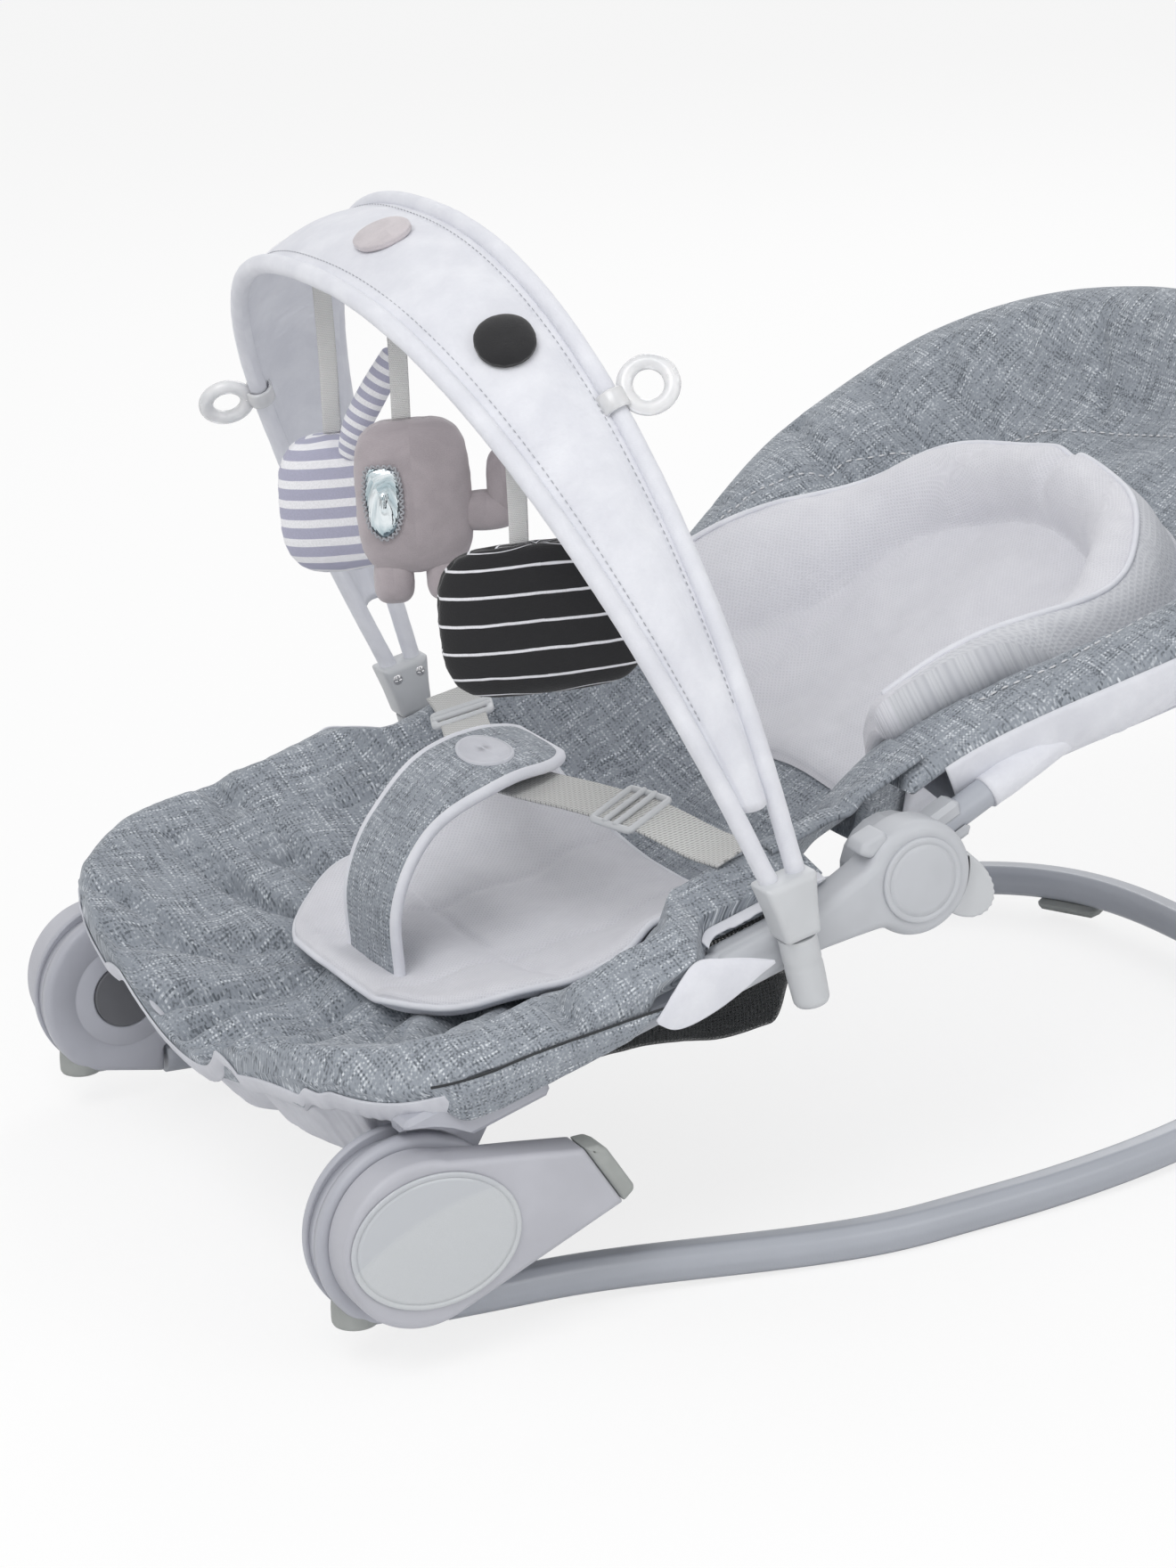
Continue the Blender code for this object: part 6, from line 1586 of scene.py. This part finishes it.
surface = pouchGrid()
pouch = addPiece("netPouch", closedSheet(surface, netPouch["thick"]), "net", "seat", "mesh_pouch")
binding = tube(surface[-1, 2:-2], 0.0024, (0, 0, 1), 16)
binding.add(tube(surface[0, 2:-2], 0.0022, (0, 0, 1), 16))
bindingPiece = addPiece("pouchBinding", binding, "trim", "seat", None)
gridSize(surface)


seatLiner = {"start": 0.062, "length": 0.222, "half": 0.143, "thick": 0.012, "sunk": 0.002, "piping": 0.0022}


# the seat liner: a thin quilted pad with a rounded front, piped round its rim
def linerGrid():
    n = seatLiner
    a, b = spread((-1, 1, 130), (-1, 1, 150))
    run = n["start"] + n["length"] * (b + 1) / 2
    half = n["half"] * powerArc(np.minimum(b, 0.0) * 0.93, 2.2)
    x = a * half
    rests = seatTop(x, run)
    edge = np.minimum(1 - np.abs(a), (1 - np.abs(b)) * 1.2) / 0.14
    full = np.sqrt(1 - (1 - np.clip(edge, 0, 1)) ** 2)
    channels = -0.0022 * (bell(np.abs(x) - 0.055, 0.004) + bell(run - 0.150, 0.004) * (np.abs(x) < 0.2))
    puff = 0.0018 * softNoise(x, run, 0.035, 71) + channels * full
    return seat.at(x, run, rests + n["thick"] + puff), seat.at(x, run, rests - n["sunk"]), full


top, under, full = linerGrid()
liner = addPiece("seatLiner", closedPad(top, under, full), "knit", "seat", "seat_liner")
rim = rimOf((top + under) / 2)
rim = evenly(np.vstack((rim, rim[:1])), 500)
addPiece("linerPiping", tube(rim, seatLiner["piping"], (0, 0, 1), 12), "pale", "seat", None)


# the side skirt: linen sewn on below the crest along a dark seam, its front corner rounded
def skirtShape():
    t, n = smoothRun([(0.019, 0.028), (0.045, 0.0262), (0.078, 0.0234), (0.120, 0.017), (0.158, 0.0110)], 120).T
    lowEdge = (
        0.0005 + 0.006 * smoothStep((t - 0.13) / 0.03) + 0.020 * (1 - smoothStep((t - 0.016) / 0.022)) ** 2
    )
    b = np.linspace(0, 1, 24)[None, :]
    z = mix(n[:, None], np.minimum(lowEdge, n - 0.001)[:, None], b)
    ripple = 0.0007 * softNoise(t[:, None] * 2, b * 0.05, 0.030, 81)
    side = np.minimum(seatHalf(t) + 0.0015, 0.2622)[:, None]
    x = np.minimum(side - 0.0045 * b + 0.0018 * np.sin(pi * b) + ripple, 0.2640)
    return closedSheet(seat.at(x, t[:, None] + 0 * b, z), 0.0018), seat.at(side[:, 0] + 0.0007, t, n)


skirt, seamLine = skirtShape()
skirts = addPair("sideSkirt", skirt, "linen", "seat", None)
addPair("skirtSeam", tube(seamLine, 0.0008, (1, 0, 0), 10), "trim", "seat", None)


sideFlap = {
    "x": 0.2640, "thick": 0.0012,
    "top": [
        (0.151, 0.006), (0.166, 0.0175), (0.184, 0.0275), (0.200, 0.0220), (0.216, 0.0140), (0.229, 0.0056)
    ],
    "low": [
        (0.151, 0.0045), (0.160, -0.0035), (0.176, -0.0055), (0.198, -0.0030), (0.216, 0.0020), (0.229, 0.0046)
    ],
}


# the side flap: a soft three-cornered piece, curved away from the pad and turned over along its upper edge
def flapGrid():
    outlineTop, outlineLow = (smoothRun(sideFlap[edge], 70) for edge in ("top", "low"))
    b = np.linspace(0, 1, 30)[None, :]
    t, z = (mix(outlineTop[:, k : k + 1], outlineLow[:, k : k + 1], b) for k in (0, 1))
    along = np.linspace(0, 1, 70)[:, None]
    x = (
        sideFlap["x"] + 0.0020 * np.sin(pi * b) * np.sin(pi * along) + 0.0010 * softNoise(t, z, 0.020, 91)
        - 0.0012 * bell(b, 0.10)
    )
    return seat.at(x, t, z)


flap = closedSheet(flapGrid(), sideFlap["thick"])
for piece in addPair("sideFlap", flap, "pale", "seat", "side_flap_{side}"):
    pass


# a flat padded strap: a run with a width at each point, its section a rounded lens
def strapShape(run, widths, thick, facing, wide, rounding=2.6):
    along = runDirections(run)
    across = np.cross(along, np.asarray(facing, float))
    across = unit(across)
    over = np.cross(across, along)
    turns = fullTurn(wide)
    flat = signedPower(np.cos(turns), 2 / rounding / 1.6)[None, :, None] * widths[:, None, None] / 2
    tall = signedPower(np.sin(turns), 2 / rounding)[None, :, None] * thick[:, None, None] / 2
    body = run[:, None] + across[:, None] * flat + over[:, None] * tall
    return capped(seat.of(body)), across, over


crotchStrap = {
    "run": [
        (0.083, -0.032), (0.089, -0.010), (0.099, 0.026), (0.121, 0.054), (0.153, 0.072), (0.191, 0.077),
        (0.231, 0.070)
    ],
    "narrow": 0.070, "wider": 0.020, "thick": 0.0088, "end": 0.2315, "rounded": 0.022, "binding": 0.0036,
    "ovalAt": 0.196, "ovalHalf": (0.0285, 0.0150),
}
run = smoothRun([(0, *spot) for spot in crotchStrap["run"]], 120)
widths = crotchStrap["narrow"] + crotchStrap["wider"] * smoothStep((run[:, 1] - 0.13) / 0.05)
left = crotchStrap["end"] - run[:, 1]
corners = 0.55 + 0.45 * roundUp(np.clip(left / crotchStrap["rounded"], 0.02, 1))
widths = widths * np.where(left < crotchStrap["rounded"], corners, 1)
thick = crotchStrap["thick"] * roundUp(np.clip((left + 0.002) / 0.006, 0.1, 1))
shape, across, over = strapShape(run, widths, thick, (0, -1, 0.3), 64)
strap = addPiece("crotchStrap", shape, "linen", "seat", "crotch_strap")
reach = across * (widths[:, None] / 2 - 0.0004)
edgeRun = evenly(np.concatenate(((run + reach)[8:], (run - reach)[:7:-1])), 500)
spots = seat.of(edgeRun)
addPiece(
    "strapBinding", tube(spots, crotchStrap["binding"], (0, -0.6, 0.8), 18), "pale", "seat", None
)
# a bare raised oval on the tab
turns = fullTurn(120)
rings = []
k = int(np.abs(run[:, 1] - crotchStrap["ovalAt"]).argmin())
tabAlong = runDirections(run)[k]
ovalWide, ovalLong = crotchStrap["ovalHalf"]
for size, lift in (
    (1.0, 0.0030), (1.0, 0.0052), (0.965, 0.0058), (0.90, 0.0058), (0.885, 0.0055), (0.86, 0.0055),
    (0.845, 0.0058), (0.4, 0.0060), (0.05, 0.0061)
):
    wide, long = np.cos(turns)[:, None] * across[k] * ovalWide, np.sin(turns)[:, None] * tabAlong * ovalLong
    spot = run[k] + (wide + long) * size
    sink = ((spot - run[k]) @ tabAlong) ** 2 * -6.0
    spot = spot + over[k] * math.copysign(lift, over[k][2]) + np.array((0, 0, 1.0)) * sink[:, None]
    rings.append(seat.of(spot))
tabShape = capped(rings, -1)
addPiece("tabOval", tabShape, "lining", "seat", None)

waistStrap = {
    "end": (0.196, 0.253), "run": [
        (0.170, 0.247, 0.043), (0.130, 0.235, 0.055), (0.085, 0.219, 0.062), (0.040, 0.205, 0.0645)
    ],
    "middle": (0.0, 0.199, 0.0645), "width": 0.030, "thick": 0.0018, "sliderAt": 0.1165,
}
half = [(*waistStrap["end"], float(seatTop(*waistStrap["end"])) + 0.0045)] + waistStrap["run"]
route = half + [waistStrap["middle"]] + [(-x, y, z) for x, y, z in half[::-1]]
web = smoothRun(route, 240)
along = runDirections(web)
across = np.cross(along, (0, 0, 1.0))
across = unit(across)
b = np.linspace(-1, 1, 15)[None, :, None]
surface = (
    web[:, None] + across[:, None] * b * waistStrap["width"] / 2
    + np.cross(across, along)[:, None] * (0.0003 * (b**2))
)
surface = seat.of(surface)
belt = addPiece(
    "waistStrap", closedSheet(surface, waistStrap["thick"]), "webbing", "seat", "waist_strap"
)

# a slider: a flat frame with two windows that the webbing is laced through, and its bar between
slider = {
    "halfWidth": 0.0170, "halfLength": 0.0205, "wire": (0.0024, 0.0022), "bars": (-0.0042, 0.0042),
    "bar": 0.0019
}
k = int(np.abs(web[:, 0] - waistStrap["sliderAt"]).argmin())
spot = Place(seat.at(*web[k]), seat.turn @ np.stack((along[k], across[k], np.cross(along[k], across[k])), 1))
bars = Shape()
w, h = slider["halfWidth"], slider["halfLength"]
wide, tall = slider["wire"]
frameTurns = loopThrough([(-w, -h), (w, -h), (w, h), (-w, h)], 160, 0.0022)
up = 1.0 if (spot.turn @ np.array((0, 0, 1.0)))[2] > 0 else -1.0
middle, away = drawnIn(frameTurns, tall).T, outwardNormals(frameTurns).T * wide
ring = [spot.at(*(middle + away * math.cos(a)), up * 0.0008 + tall * math.sin(a)) for a in fullTurn(16)]
ring = np.stack(ring, 1)
bars.grid(np.concatenate((ring, ring[:1])), wrap=True)
bars.outward()
for y in slider["bars"]:
    bars.add(tube(spot.at(y, np.linspace(-0.0185, 0.0185, 20), up * 0.0026), slider["bar"], (1, 0, 0), 18))
addPair("strapSlider", bars, "light", "seat", "strap_slider_{side}")
print("harness made")


backPad = {
    "length": 0.487, "halfWidth": 0.284, "rootHalf": 0.208, "widest": 0.30, "power": 2.45, "root": 0.032,
    "crest": 0.0374, "sagRoot": 0.0416, "sagTop": 0.0076, "thick": 0.022,
}


def backHalf(reach):
    b = backPad
    growth = smoothStep((reach - 0.05) / (b["widest"] - 0.08))
    low = mix(b["rootHalf"], b["halfWidth"], growth)
    high = b["halfWidth"] * powerArc((reach - b["widest"]) / (b["length"] - b["widest"]), b["power"])
    return np.where(reach > b["widest"], high, low)


# how far a point of the pad lies from its rim, and the height of its top there
def backTop(x, reach):
    b = backPad
    side = backHalf(np.minimum(reach, b["widest"])) - np.abs(x)
    beyond = np.maximum(reach - b["widest"], 0.0) / (b["length"] - b["widest"])
    spread = (np.abs(x) / b["halfWidth"]) ** b["power"] + beyond ** b["power"]
    roundOff = (1 - spread ** (1 / b["power"])) * b["halfWidth"]
    inward = np.maximum(np.where(reach > b["widest"], np.minimum(side, roundOff), side), 0.0)
    sag = mix(b["sagRoot"], b["sagTop"], smoothStep((reach - 0.03) / 0.36))
    fall = smoothStep((inward - 0.034) / 0.110)
    channel = 0.006 * np.cos(2 * pi * x / 0.115) * fall
    return inward, b["crest"] - (b["crest"] + sag) * fall + 0.4 * channel


def backUnder(x, reach):
    inward, top = backTop(x, reach)
    plain = top - backPad["thick"]
    overTube = np.where(reach < 0.085, 0.0, 1 - smoothStep((inward - 0.034) / 0.012))
    return mix(plain, np.maximum(0.0098, plain), overTube)


backCreases = creaseSet(
    51, (8, 22, 35, 47, 58, 68, 79, 90, 101, 112, 122, 133, 145, 158, 172), 0.185, 0.265, 0.0060, 0.0070
)
backCreases += creaseSet(
    52, (15, 41, 63, 85, 96, 117, 139, 165, -14, 194, -30, 210), 0.190, 0.235, 0.0035, 0.0045
)
backMiddle = (0.0, 0.215)


def backFolds(x, reach, edge):
    return rayCreases(x, reach, backMiddle, backCreases) * smoothStep(edge * 2.5)


def backPuff(x, reach):
    return 0.0030 * softNoise(x, reach, 0.060, 13, 2) + 0.0009 * softNoise(x, reach, 0.014, 18, 2)


def backPadGrid():
    a, b = spread((-1, 1, 261), (0, 1, 260))
    end = backPad["length"] - 0.0008
    reach = mix(backPad["root"], end, np.sin(b * pi / 2) ** 0.9)
    x = a * backHalf(reach)
    inward, top = backTop(x, reach)
    low = backUnder(x, reach)
    root = np.clip((reach - backPad["root"]) / 0.016, 0, 1)
    edge = np.minimum(np.clip(inward / 0.034, 0, 1), root)
    full = roundUp(edge)
    folds = backFolds(x, reach, edge)
    ring = np.hypot(x / 0.215, (reach - 0.20) / 0.185)
    seam = -0.0020 * bell((ring - 1) * 0.2, 0.0035) * (reach > 0.10)
    high = np.maximum(top + folds + seam + backPuff(x, reach) * edge, low + 0.006)
    return x, reach, high, low, full


x, reach, high, low, full = backPadGrid()
pad = addPiece(
    "backPad",
    closedPad(back.at(x, reach, high), back.at(x, reach, low), full, padPlaces(x, reach, backTop(x, reach)[1])),
    "linen", "backrest", "back_pad"
)

# the stitched oval round the head cushion
turns = np.linspace(-0.62, pi + 0.62, 700)
sx, sy = 0.215 * np.cos(turns), 0.20 + 0.185 * np.sin(turns)
inward, sz = backTop(sx, sy)
sz = sz + backFolds(sx, sy, np.clip(inward / 0.034, 0, 1)) - 0.0020 + backPuff(sx, sy)
keep = inward > 0.012
spots = back.at(sx[keep], sy[keep], sz[keep] + 0.0006)
addPiece(
    "backStitches", stitches(spots, back.turn[:, 2], 0.0044, 0.0032, 0.00075), "thread", "backrest", None,
)


def backTubeRun(count):
    b = backPad
    inner = b["length"] - 0.020
    bow = bowReach(b["widest"], inner, b["power"], 0.02, 80)
    reach = np.concatenate((np.linspace(0.024, b["widest"], 60), bow))
    low = np.maximum(backHalf(np.minimum(reach, b["widest"])) - 0.020, 0.2146)
    high = (b["halfWidth"] - 0.020) * powerArc((reach - b["widest"]) / (inner - b["widest"]), b["power"])
    x = np.where(reach > b["widest"], high, low)
    atRoot = mix(
        0.2146, np.maximum(backHalf(np.full_like(reach, 0.10)) - 0.020, 0.2146),
        smoothStep((reach - 0.07) / 0.03)
    )
    x = np.where(reach < 0.10, atRoot, x)
    half = np.stack((x, reach, np.zeros_like(x)), 1)
    return evenly(np.concatenate((half, half[-2::-1] * (-1, 1, 1))), count)


run = backTubeRun(320)
addPiece(
    "backTube", tube(back.of(run), 0.009, (0, 0.3, 1), 28, False), "paint", "backrest", "back_frame",
)
sleeved = run[run[:, 1] > 0.072]
swell = 1 + 0.07 * softNoise(
    np.linspace(0, 1.3, len(sleeved))[:, None], np.linspace(0, 0.06, 28)[None], 0.018, 33
)
sleeve = tube(back.of(sleeved - (0, 0, 0.0004)), 0.0101, (0, 0.3, 1), 28, False, swell)
addPiece("tubeSleeve", sleeve, "pale", "backrest", None)

# the lining's edge: a pale strip from under the pad's rim down round the sleeve, wrinkled along its length
bow = bowReach(backPad["widest"], backPad["length"] - 0.002, backPad["power"], 0.01, 160)
edgeReach = np.concatenate((np.linspace(0.060, backPad["widest"], 200), bow))
edgeLine = np.stack((backHalf(edgeReach), edgeReach), 1)
edgeLine = evenly(np.concatenate((edgeLine, edgeLine[-2::-1] * (-1, 1))), 620)
inner = np.stack((edgeLine[:, 0] * 0.93, edgeLine[:, 1] - 0.018 * smoothStep((edgeLine[:, 1] - 0.25) / 0.2)), 1)
b = np.linspace(0, 1, 16)[None, :]
at = np.linspace(0, 1.45, 620)[:, None]
folds = 0.0016 * softNoise(at, b * 0.02, 0.022, 43) + 0.0009 * softNoise(at, b * 0.01, 0.008, 44)
folds = folds * np.sin(pi * b)
x = edgeLine[:, :1] * (1 - 0.004) + (inner[:, :1] - edgeLine[:, :1]) * b**1.5
y = edgeLine[:, 1:] - 0.001 + (inner[:, 1:] - edgeLine[:, 1:]) * b**1.5
out = np.stack((x[:, 0] * 0.35, y[:, 0] - 0.2), 1)
out = unit(out)
bulge = 0.0012 * np.sin(pi * b) + folds
x, y = x + out[:, :1] * bulge, y + out[:, 1:] * bulge
rimHeight = (backTop(*edgeLine.T)[1] + backUnder(*edgeLine.T))[:, None] / 2
z = rimHeight - 0.001 - (rimHeight + 0.0105) * np.sin(b * pi / 2) - folds
lining = addPiece("backLining", closedSheet(back.at(x, y, z), 0.0012), "pale", "backrest", None)

# the back panel: plain lining stretched over the tube behind the pad
a, b = spread((-1, 1, 120), (0, 1, 140))
reach = mix(0.060, backPad["length"] - 0.018, np.sin(b * pi / 2) ** 0.9)
x = a * np.maximum(backHalf(reach) - 0.018, 0.004)
inward, top = backTop(x, reach)
depth = np.minimum(backUnder(x, reach) - 0.004, 0.0) * smoothStep(inward / 0.05)
folds = 0.0016 * softNoise(x, reach, 0.050, 53) * smoothStep((inward - 0.02) / 0.04)
z = -0.0104 * (1 - smoothStep((inward - 0.018) / 0.05)) + depth + folds - 0.003
backPanel = addPiece(
    "backPanel", closedSheet(back.at(x, reach, z), 0.0012), "lining", "backrest", None
)
print("back pad made")

cushion = {"start": 0.048, "end": 0.322, "half": 0.176, "rollHigh": 0.046, "rollWide": 0.058, "dish": 0.010}


# a horseshoe roll round a thin middle: how far in from the rim, and the height of the cushion's top there
def cushionTop(x, share):
    c = cushion
    reach = mix(c["start"], c["end"], share)
    spread = (np.abs(x) / c["half"]) ** 2.3 + np.maximum((share - 0.45) / 0.55, 0.0) ** 2.3
    inward = (1 - spread ** (1 / 2.3)) * c["half"]
    hump = inward / c["rollWide"]
    roll = c["rollHigh"] * np.sqrt(np.maximum(1 - np.abs(2 * hump - 1) ** 2.3, 0.0)) * (hump < 1)
    taper = 0.55 + 0.45 * smoothStep(share / 0.5)
    crease = 1 - 0.16 * bell(x, 0.008) * smoothStep((share - 0.7) / 0.1)
    dish = c["dish"] * (hump > 0.5)
    return inward, backTop(x, reach)[1] - 0.004 + 0.008 + np.maximum(roll * taper * crease, dish)


def cushionGrid():
    c = cushion
    a, b = spread((-1, 1, 221), (0, 1, 240))
    share = np.sin(b * pi / 2) ** 0.95
    low = 0.92 + 0.08 * share / 0.45
    high = powerArc((share - 0.45) / 0.55 * 0.985, 2.3)
    x = a * c["half"] * np.where(share < 0.45, low, high)
    reach = mix(c["start"], c["end"], share)
    inward, top = cushionTop(x, share)
    foot = np.clip((reach - c["start"]) / 0.016, 0, 1)
    puff = (
        (0.0016 * softNoise(x, reach, 0.040, 23) + 0.0008 * softNoise(x, reach, 0.012, 24))
        * smoothStep(inward / 0.02)
    )
    skin = backTop(x, reach)[1] + rayCreases(x, reach, backMiddle, backCreases) * 0.6 - 0.003
    full = roundUp(foot) * smoothStep(np.clip(inward / 0.004, 0, 1) * 0.9 + 0.1)
    return back.at(x, reach, np.maximum(top + puff, skin + 0.004)), back.at(x, reach, skin), np.clip(full, 0, 1)


top, under, full = cushionGrid()
headCushion = addPiece(
    "headCushion", closedPad(top, under, full), "knit", "backrest", "head_cushion"
)
headCushion.data.materials.append(finishes["honeycomb"])
centres = np.empty(len(headCushion.data.polygons) * 3)
headCushion.data.polygons.foreach_get("center", centres)
local = (centres.reshape(-1, 3) - back.origin) @ back.turn
share = (local[:, 1] - cushion["start"]) / (cushion["end"] - cushion["start"])
inward, _ = cushionTop(local[:, 0], share)
headCushion.data.polygons.foreach_set("material_index", ((inward < 0.0125) & (share > 0.03)).astype(np.int32))

# piping along the cushion's upper edge, between the knit and the gusset
turns = np.linspace(0, pi, 600)
side = cushion["half"] - 0.0125
rise = np.linspace(0.06, 0.44, 120)
legs = side * (0.95 + 0.05 * rise / 0.45)
px = np.concatenate((legs, side * signedPower(np.cos(turns), 2 / 2.3), -legs[::-1]))
ps = np.concatenate((rise, 0.45 + (0.55 - 0.04) * np.abs(np.sin(turns)) ** (2 / 2.3), rise[::-1]))
long = cushion["end"] - cushion["start"]
line = evenly(np.stack((px, ps * long), 1), 500)
share = line[:, 1] / long
_, pz = cushionTop(line[:, 0], share)
spots = back.at(line[:, 0], cushion["start"] + line[:, 1], pz + 0.0004)
addPiece("cushionPiping", tube(spots, 0.0019, back.turn[:, 2], 14), "pale", "backrest", None)
print("head cushion made")


# the cloth over the bend between seat and back: it follows the seat below and the back above
bendCloth = {"half": 0.2045, "seatRun": 0.272, "backReach": 0.052, "lift": 0.0012, "thick": 0.0030}
a, b = spread((-1, 1, 161), (0, 1, 60))
x = a * bendCloth["half"]
lowRun, highReach = np.full_like(x, bendCloth["seatRun"]), np.full_like(x, bendCloth["backReach"])
start = seat.at(x, lowRun, seatTop(x, lowRun) + bendCloth["lift"])
endAt = back.at(x, highReach, backTop(x, highReach)[1] + bendCloth["lift"])
span = np.linalg.norm(endAt - start, axis=2, keepdims=True)
t = b[..., None]
h = (2 * t**3 - 3 * t**2 + 1, t**3 - 2 * t**2 + t, 3 * t**2 - 2 * t**3, t**3 - t**2)
surface = h[0] * start + h[1] * seat.turn[:, 1] * span + h[2] * endAt + h[3] * back.turn[:, 1] * span
wrinkle = (
    0.0022 * softNoise(x, b * 0.05, 0.030, 63) * np.sin(pi * b)
    - 0.0035 * bell(b - 0.5 - 0.06 * np.sin(x * 30), 0.07)
)
surface = surface + wrinkle[..., None] * (seat.turn[:, 2] + back.turn[:, 2]) / 2
bend = addPiece("bendCloth", closedSheet(surface, bendCloth["thick"]), "linen", None, None)
tuple(seat.at(0, 0.285, 0))
tuple(back.at(0, 0.040, 0))
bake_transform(bend)
gridSize(surface)


# the pleated trim that frames the recline housing: a narrow pale ruffle along the pads' edges
def ruffle(line, outwards, wide, seed):
    count = len(line)
    at = np.linspace(0, 1, count)[:, None]
    b = np.linspace(0, 1, 10)[None, :]
    pleats = 0.0007 * np.sin(at * count * 0.16 + 2 * softNoise(at, at * 0, 0.1, seed)) * b
    surface = line[:, None] + outwards[:, None] * (wide * b)[..., None]
    lift = np.cross(runDirections(line), outwards)
    return surface + lift[:, None] * pleats[..., None]


t = np.linspace(0.203, 0.288, 160)
half = seatHalf(t)
line = seat.at(half + 0.0006, t, (seatTop(half, t) + seatUnder(half, t)) / 2 + 0.002)
out = np.tile(seat.turn @ np.array((0.9, 0.0, -0.25)), (len(line), 1))
trim = closedSheet(ruffle(line, out, 0.0085, 3), 0.0009)
for piece in addPair("seatTrim", trim, "pale", "seat", None):
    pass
print("bend and trims made")


stageFinish = Finish("stageWhite")
ray = stageFinish.tree.nodes.new("ShaderNodeLightPath")
stageFinish.put(stageFinish.shader.inputs["Base Color"], (0.94, 0.94, 0.94))
stageFinish.put(stageFinish.shader.inputs["Roughness"], 0.9)
glow = stageFinish.tree.nodes.new("ShaderNodeEmission")
mix = stageFinish.tree.nodes.new("ShaderNodeMixShader")
tree = stageFinish.tree
camera = Wire(stageFinish, ray.outputs["Is Camera Ray"])
stageFinish.put(mix.inputs[0], camera * 0.78)
tree.links.new(stageFinish.shader.outputs[0], mix.inputs[1])
tree.links.new(glow.outputs[0], mix.inputs[2])
tree.links.new(mix.outputs[0], tree.nodes["Material Output"].inputs["Surface"])
floorMesh = bpy.data.meshes.new("stageFloor")
floorMesh.from_pydata(
    [(-30, -30, -0.0002), (30, -30, -0.0002), (30, 30, -0.0002), (-30, 30, -0.0002)], [], [(0, 1, 2, 3)]
)
floorMesh.materials.append(stageFinish.material)
floor = bpy.data.objects.new("stageFloor", floorMesh)
bpy.context.scene.collection.objects.link(floor)

studio = bpy.data.worlds.new("studio")
studio.use_nodes = True
bpy.context.scene.world = studio
nodes, links = studio.node_tree.nodes, studio.node_tree.links
ray = nodes.new("ShaderNodeLightPath")
either = nodes.new("ShaderNodeMath")
either.operation = "MAXIMUM"
anyOf = nodes.new("ShaderNodeMath")
anyOf.operation = "MAXIMUM"
links.new(ray.outputs["Is Camera Ray"], either.inputs[0])
links.new(ray.outputs["Is Glossy Ray"], either.inputs[1])
links.new(either.outputs[0], anyOf.inputs[0])
links.new(ray.outputs["Is Transmission Ray"], anyOf.inputs[1])
strength = nodes.new("ShaderNodeMapRange")
strength.inputs["To Min"].default_value = 0.62
strength.inputs["To Max"].default_value = 1.0
links.new(anyOf.outputs[0], strength.inputs["Value"])
nodes["Background"].inputs["Color"].default_value = (1, 1, 1, 1)
links.new(strength.outputs[0], nodes["Background"].inputs["Strength"])

for name, place, aim, size, power in (
    ("keyLamp", (1.2, -1.6, 2.6), (0, 0, 0.2), 1.8, 34.0),
    ("fillLamp", (2.8, 1.2, 1.6), (0, 0.1, 0.3), 2.2, 16.0),
    ("backLamp", (-2.2, 1.6, 2.2), (0, 0, 0.3), 1.6, 18.0),
):
    lamp = bpy.data.lights.new(name, "AREA")
    lamp.shape = "DISK"
    lamp.size, lamp.energy = size, power
    light = bpy.data.objects.new(name, lamp)
    bpy.context.scene.collection.objects.link(light)
    away = np.asarray(place, float) - np.asarray(aim, float)
    light.location = place
    light.rotation_euler = Vector(away).to_track_quat("Z", "Y").to_euler()

view = bpy.data.cameras.new("camera")
view.lens, view.sensor_width, view.sensor_fit = 96.0239, 36.0, "AUTO"
view.shift_x, view.shift_y, view.clip_start, view.clip_end = 0.0095426, -0.0788449, 0.05, 60.0
eye = bpy.data.objects.new("camera", view)
bpy.context.scene.collection.objects.link(eye)
right = np.array((0.4461, 0.892764, -0.063650))
upwards = np.array((-0.2318, 0.183925, 0.955186))
turn = np.eye(4)
turn[:3, 0], turn[:3, 1], turn[:3, 2] = right, upwards, -np.array((-0.8645, 0.411357, -0.289012))
turn[:3, 3] = (2.2023, -1.171170, 1.041836)
eye.matrix_world = Matrix(turn.tolist())
bpy.context.scene.camera = eye
bpy.context.scene.view_settings.view_transform = "Standard"

bpy.context.view_layer.update()
print("stage and camera set")
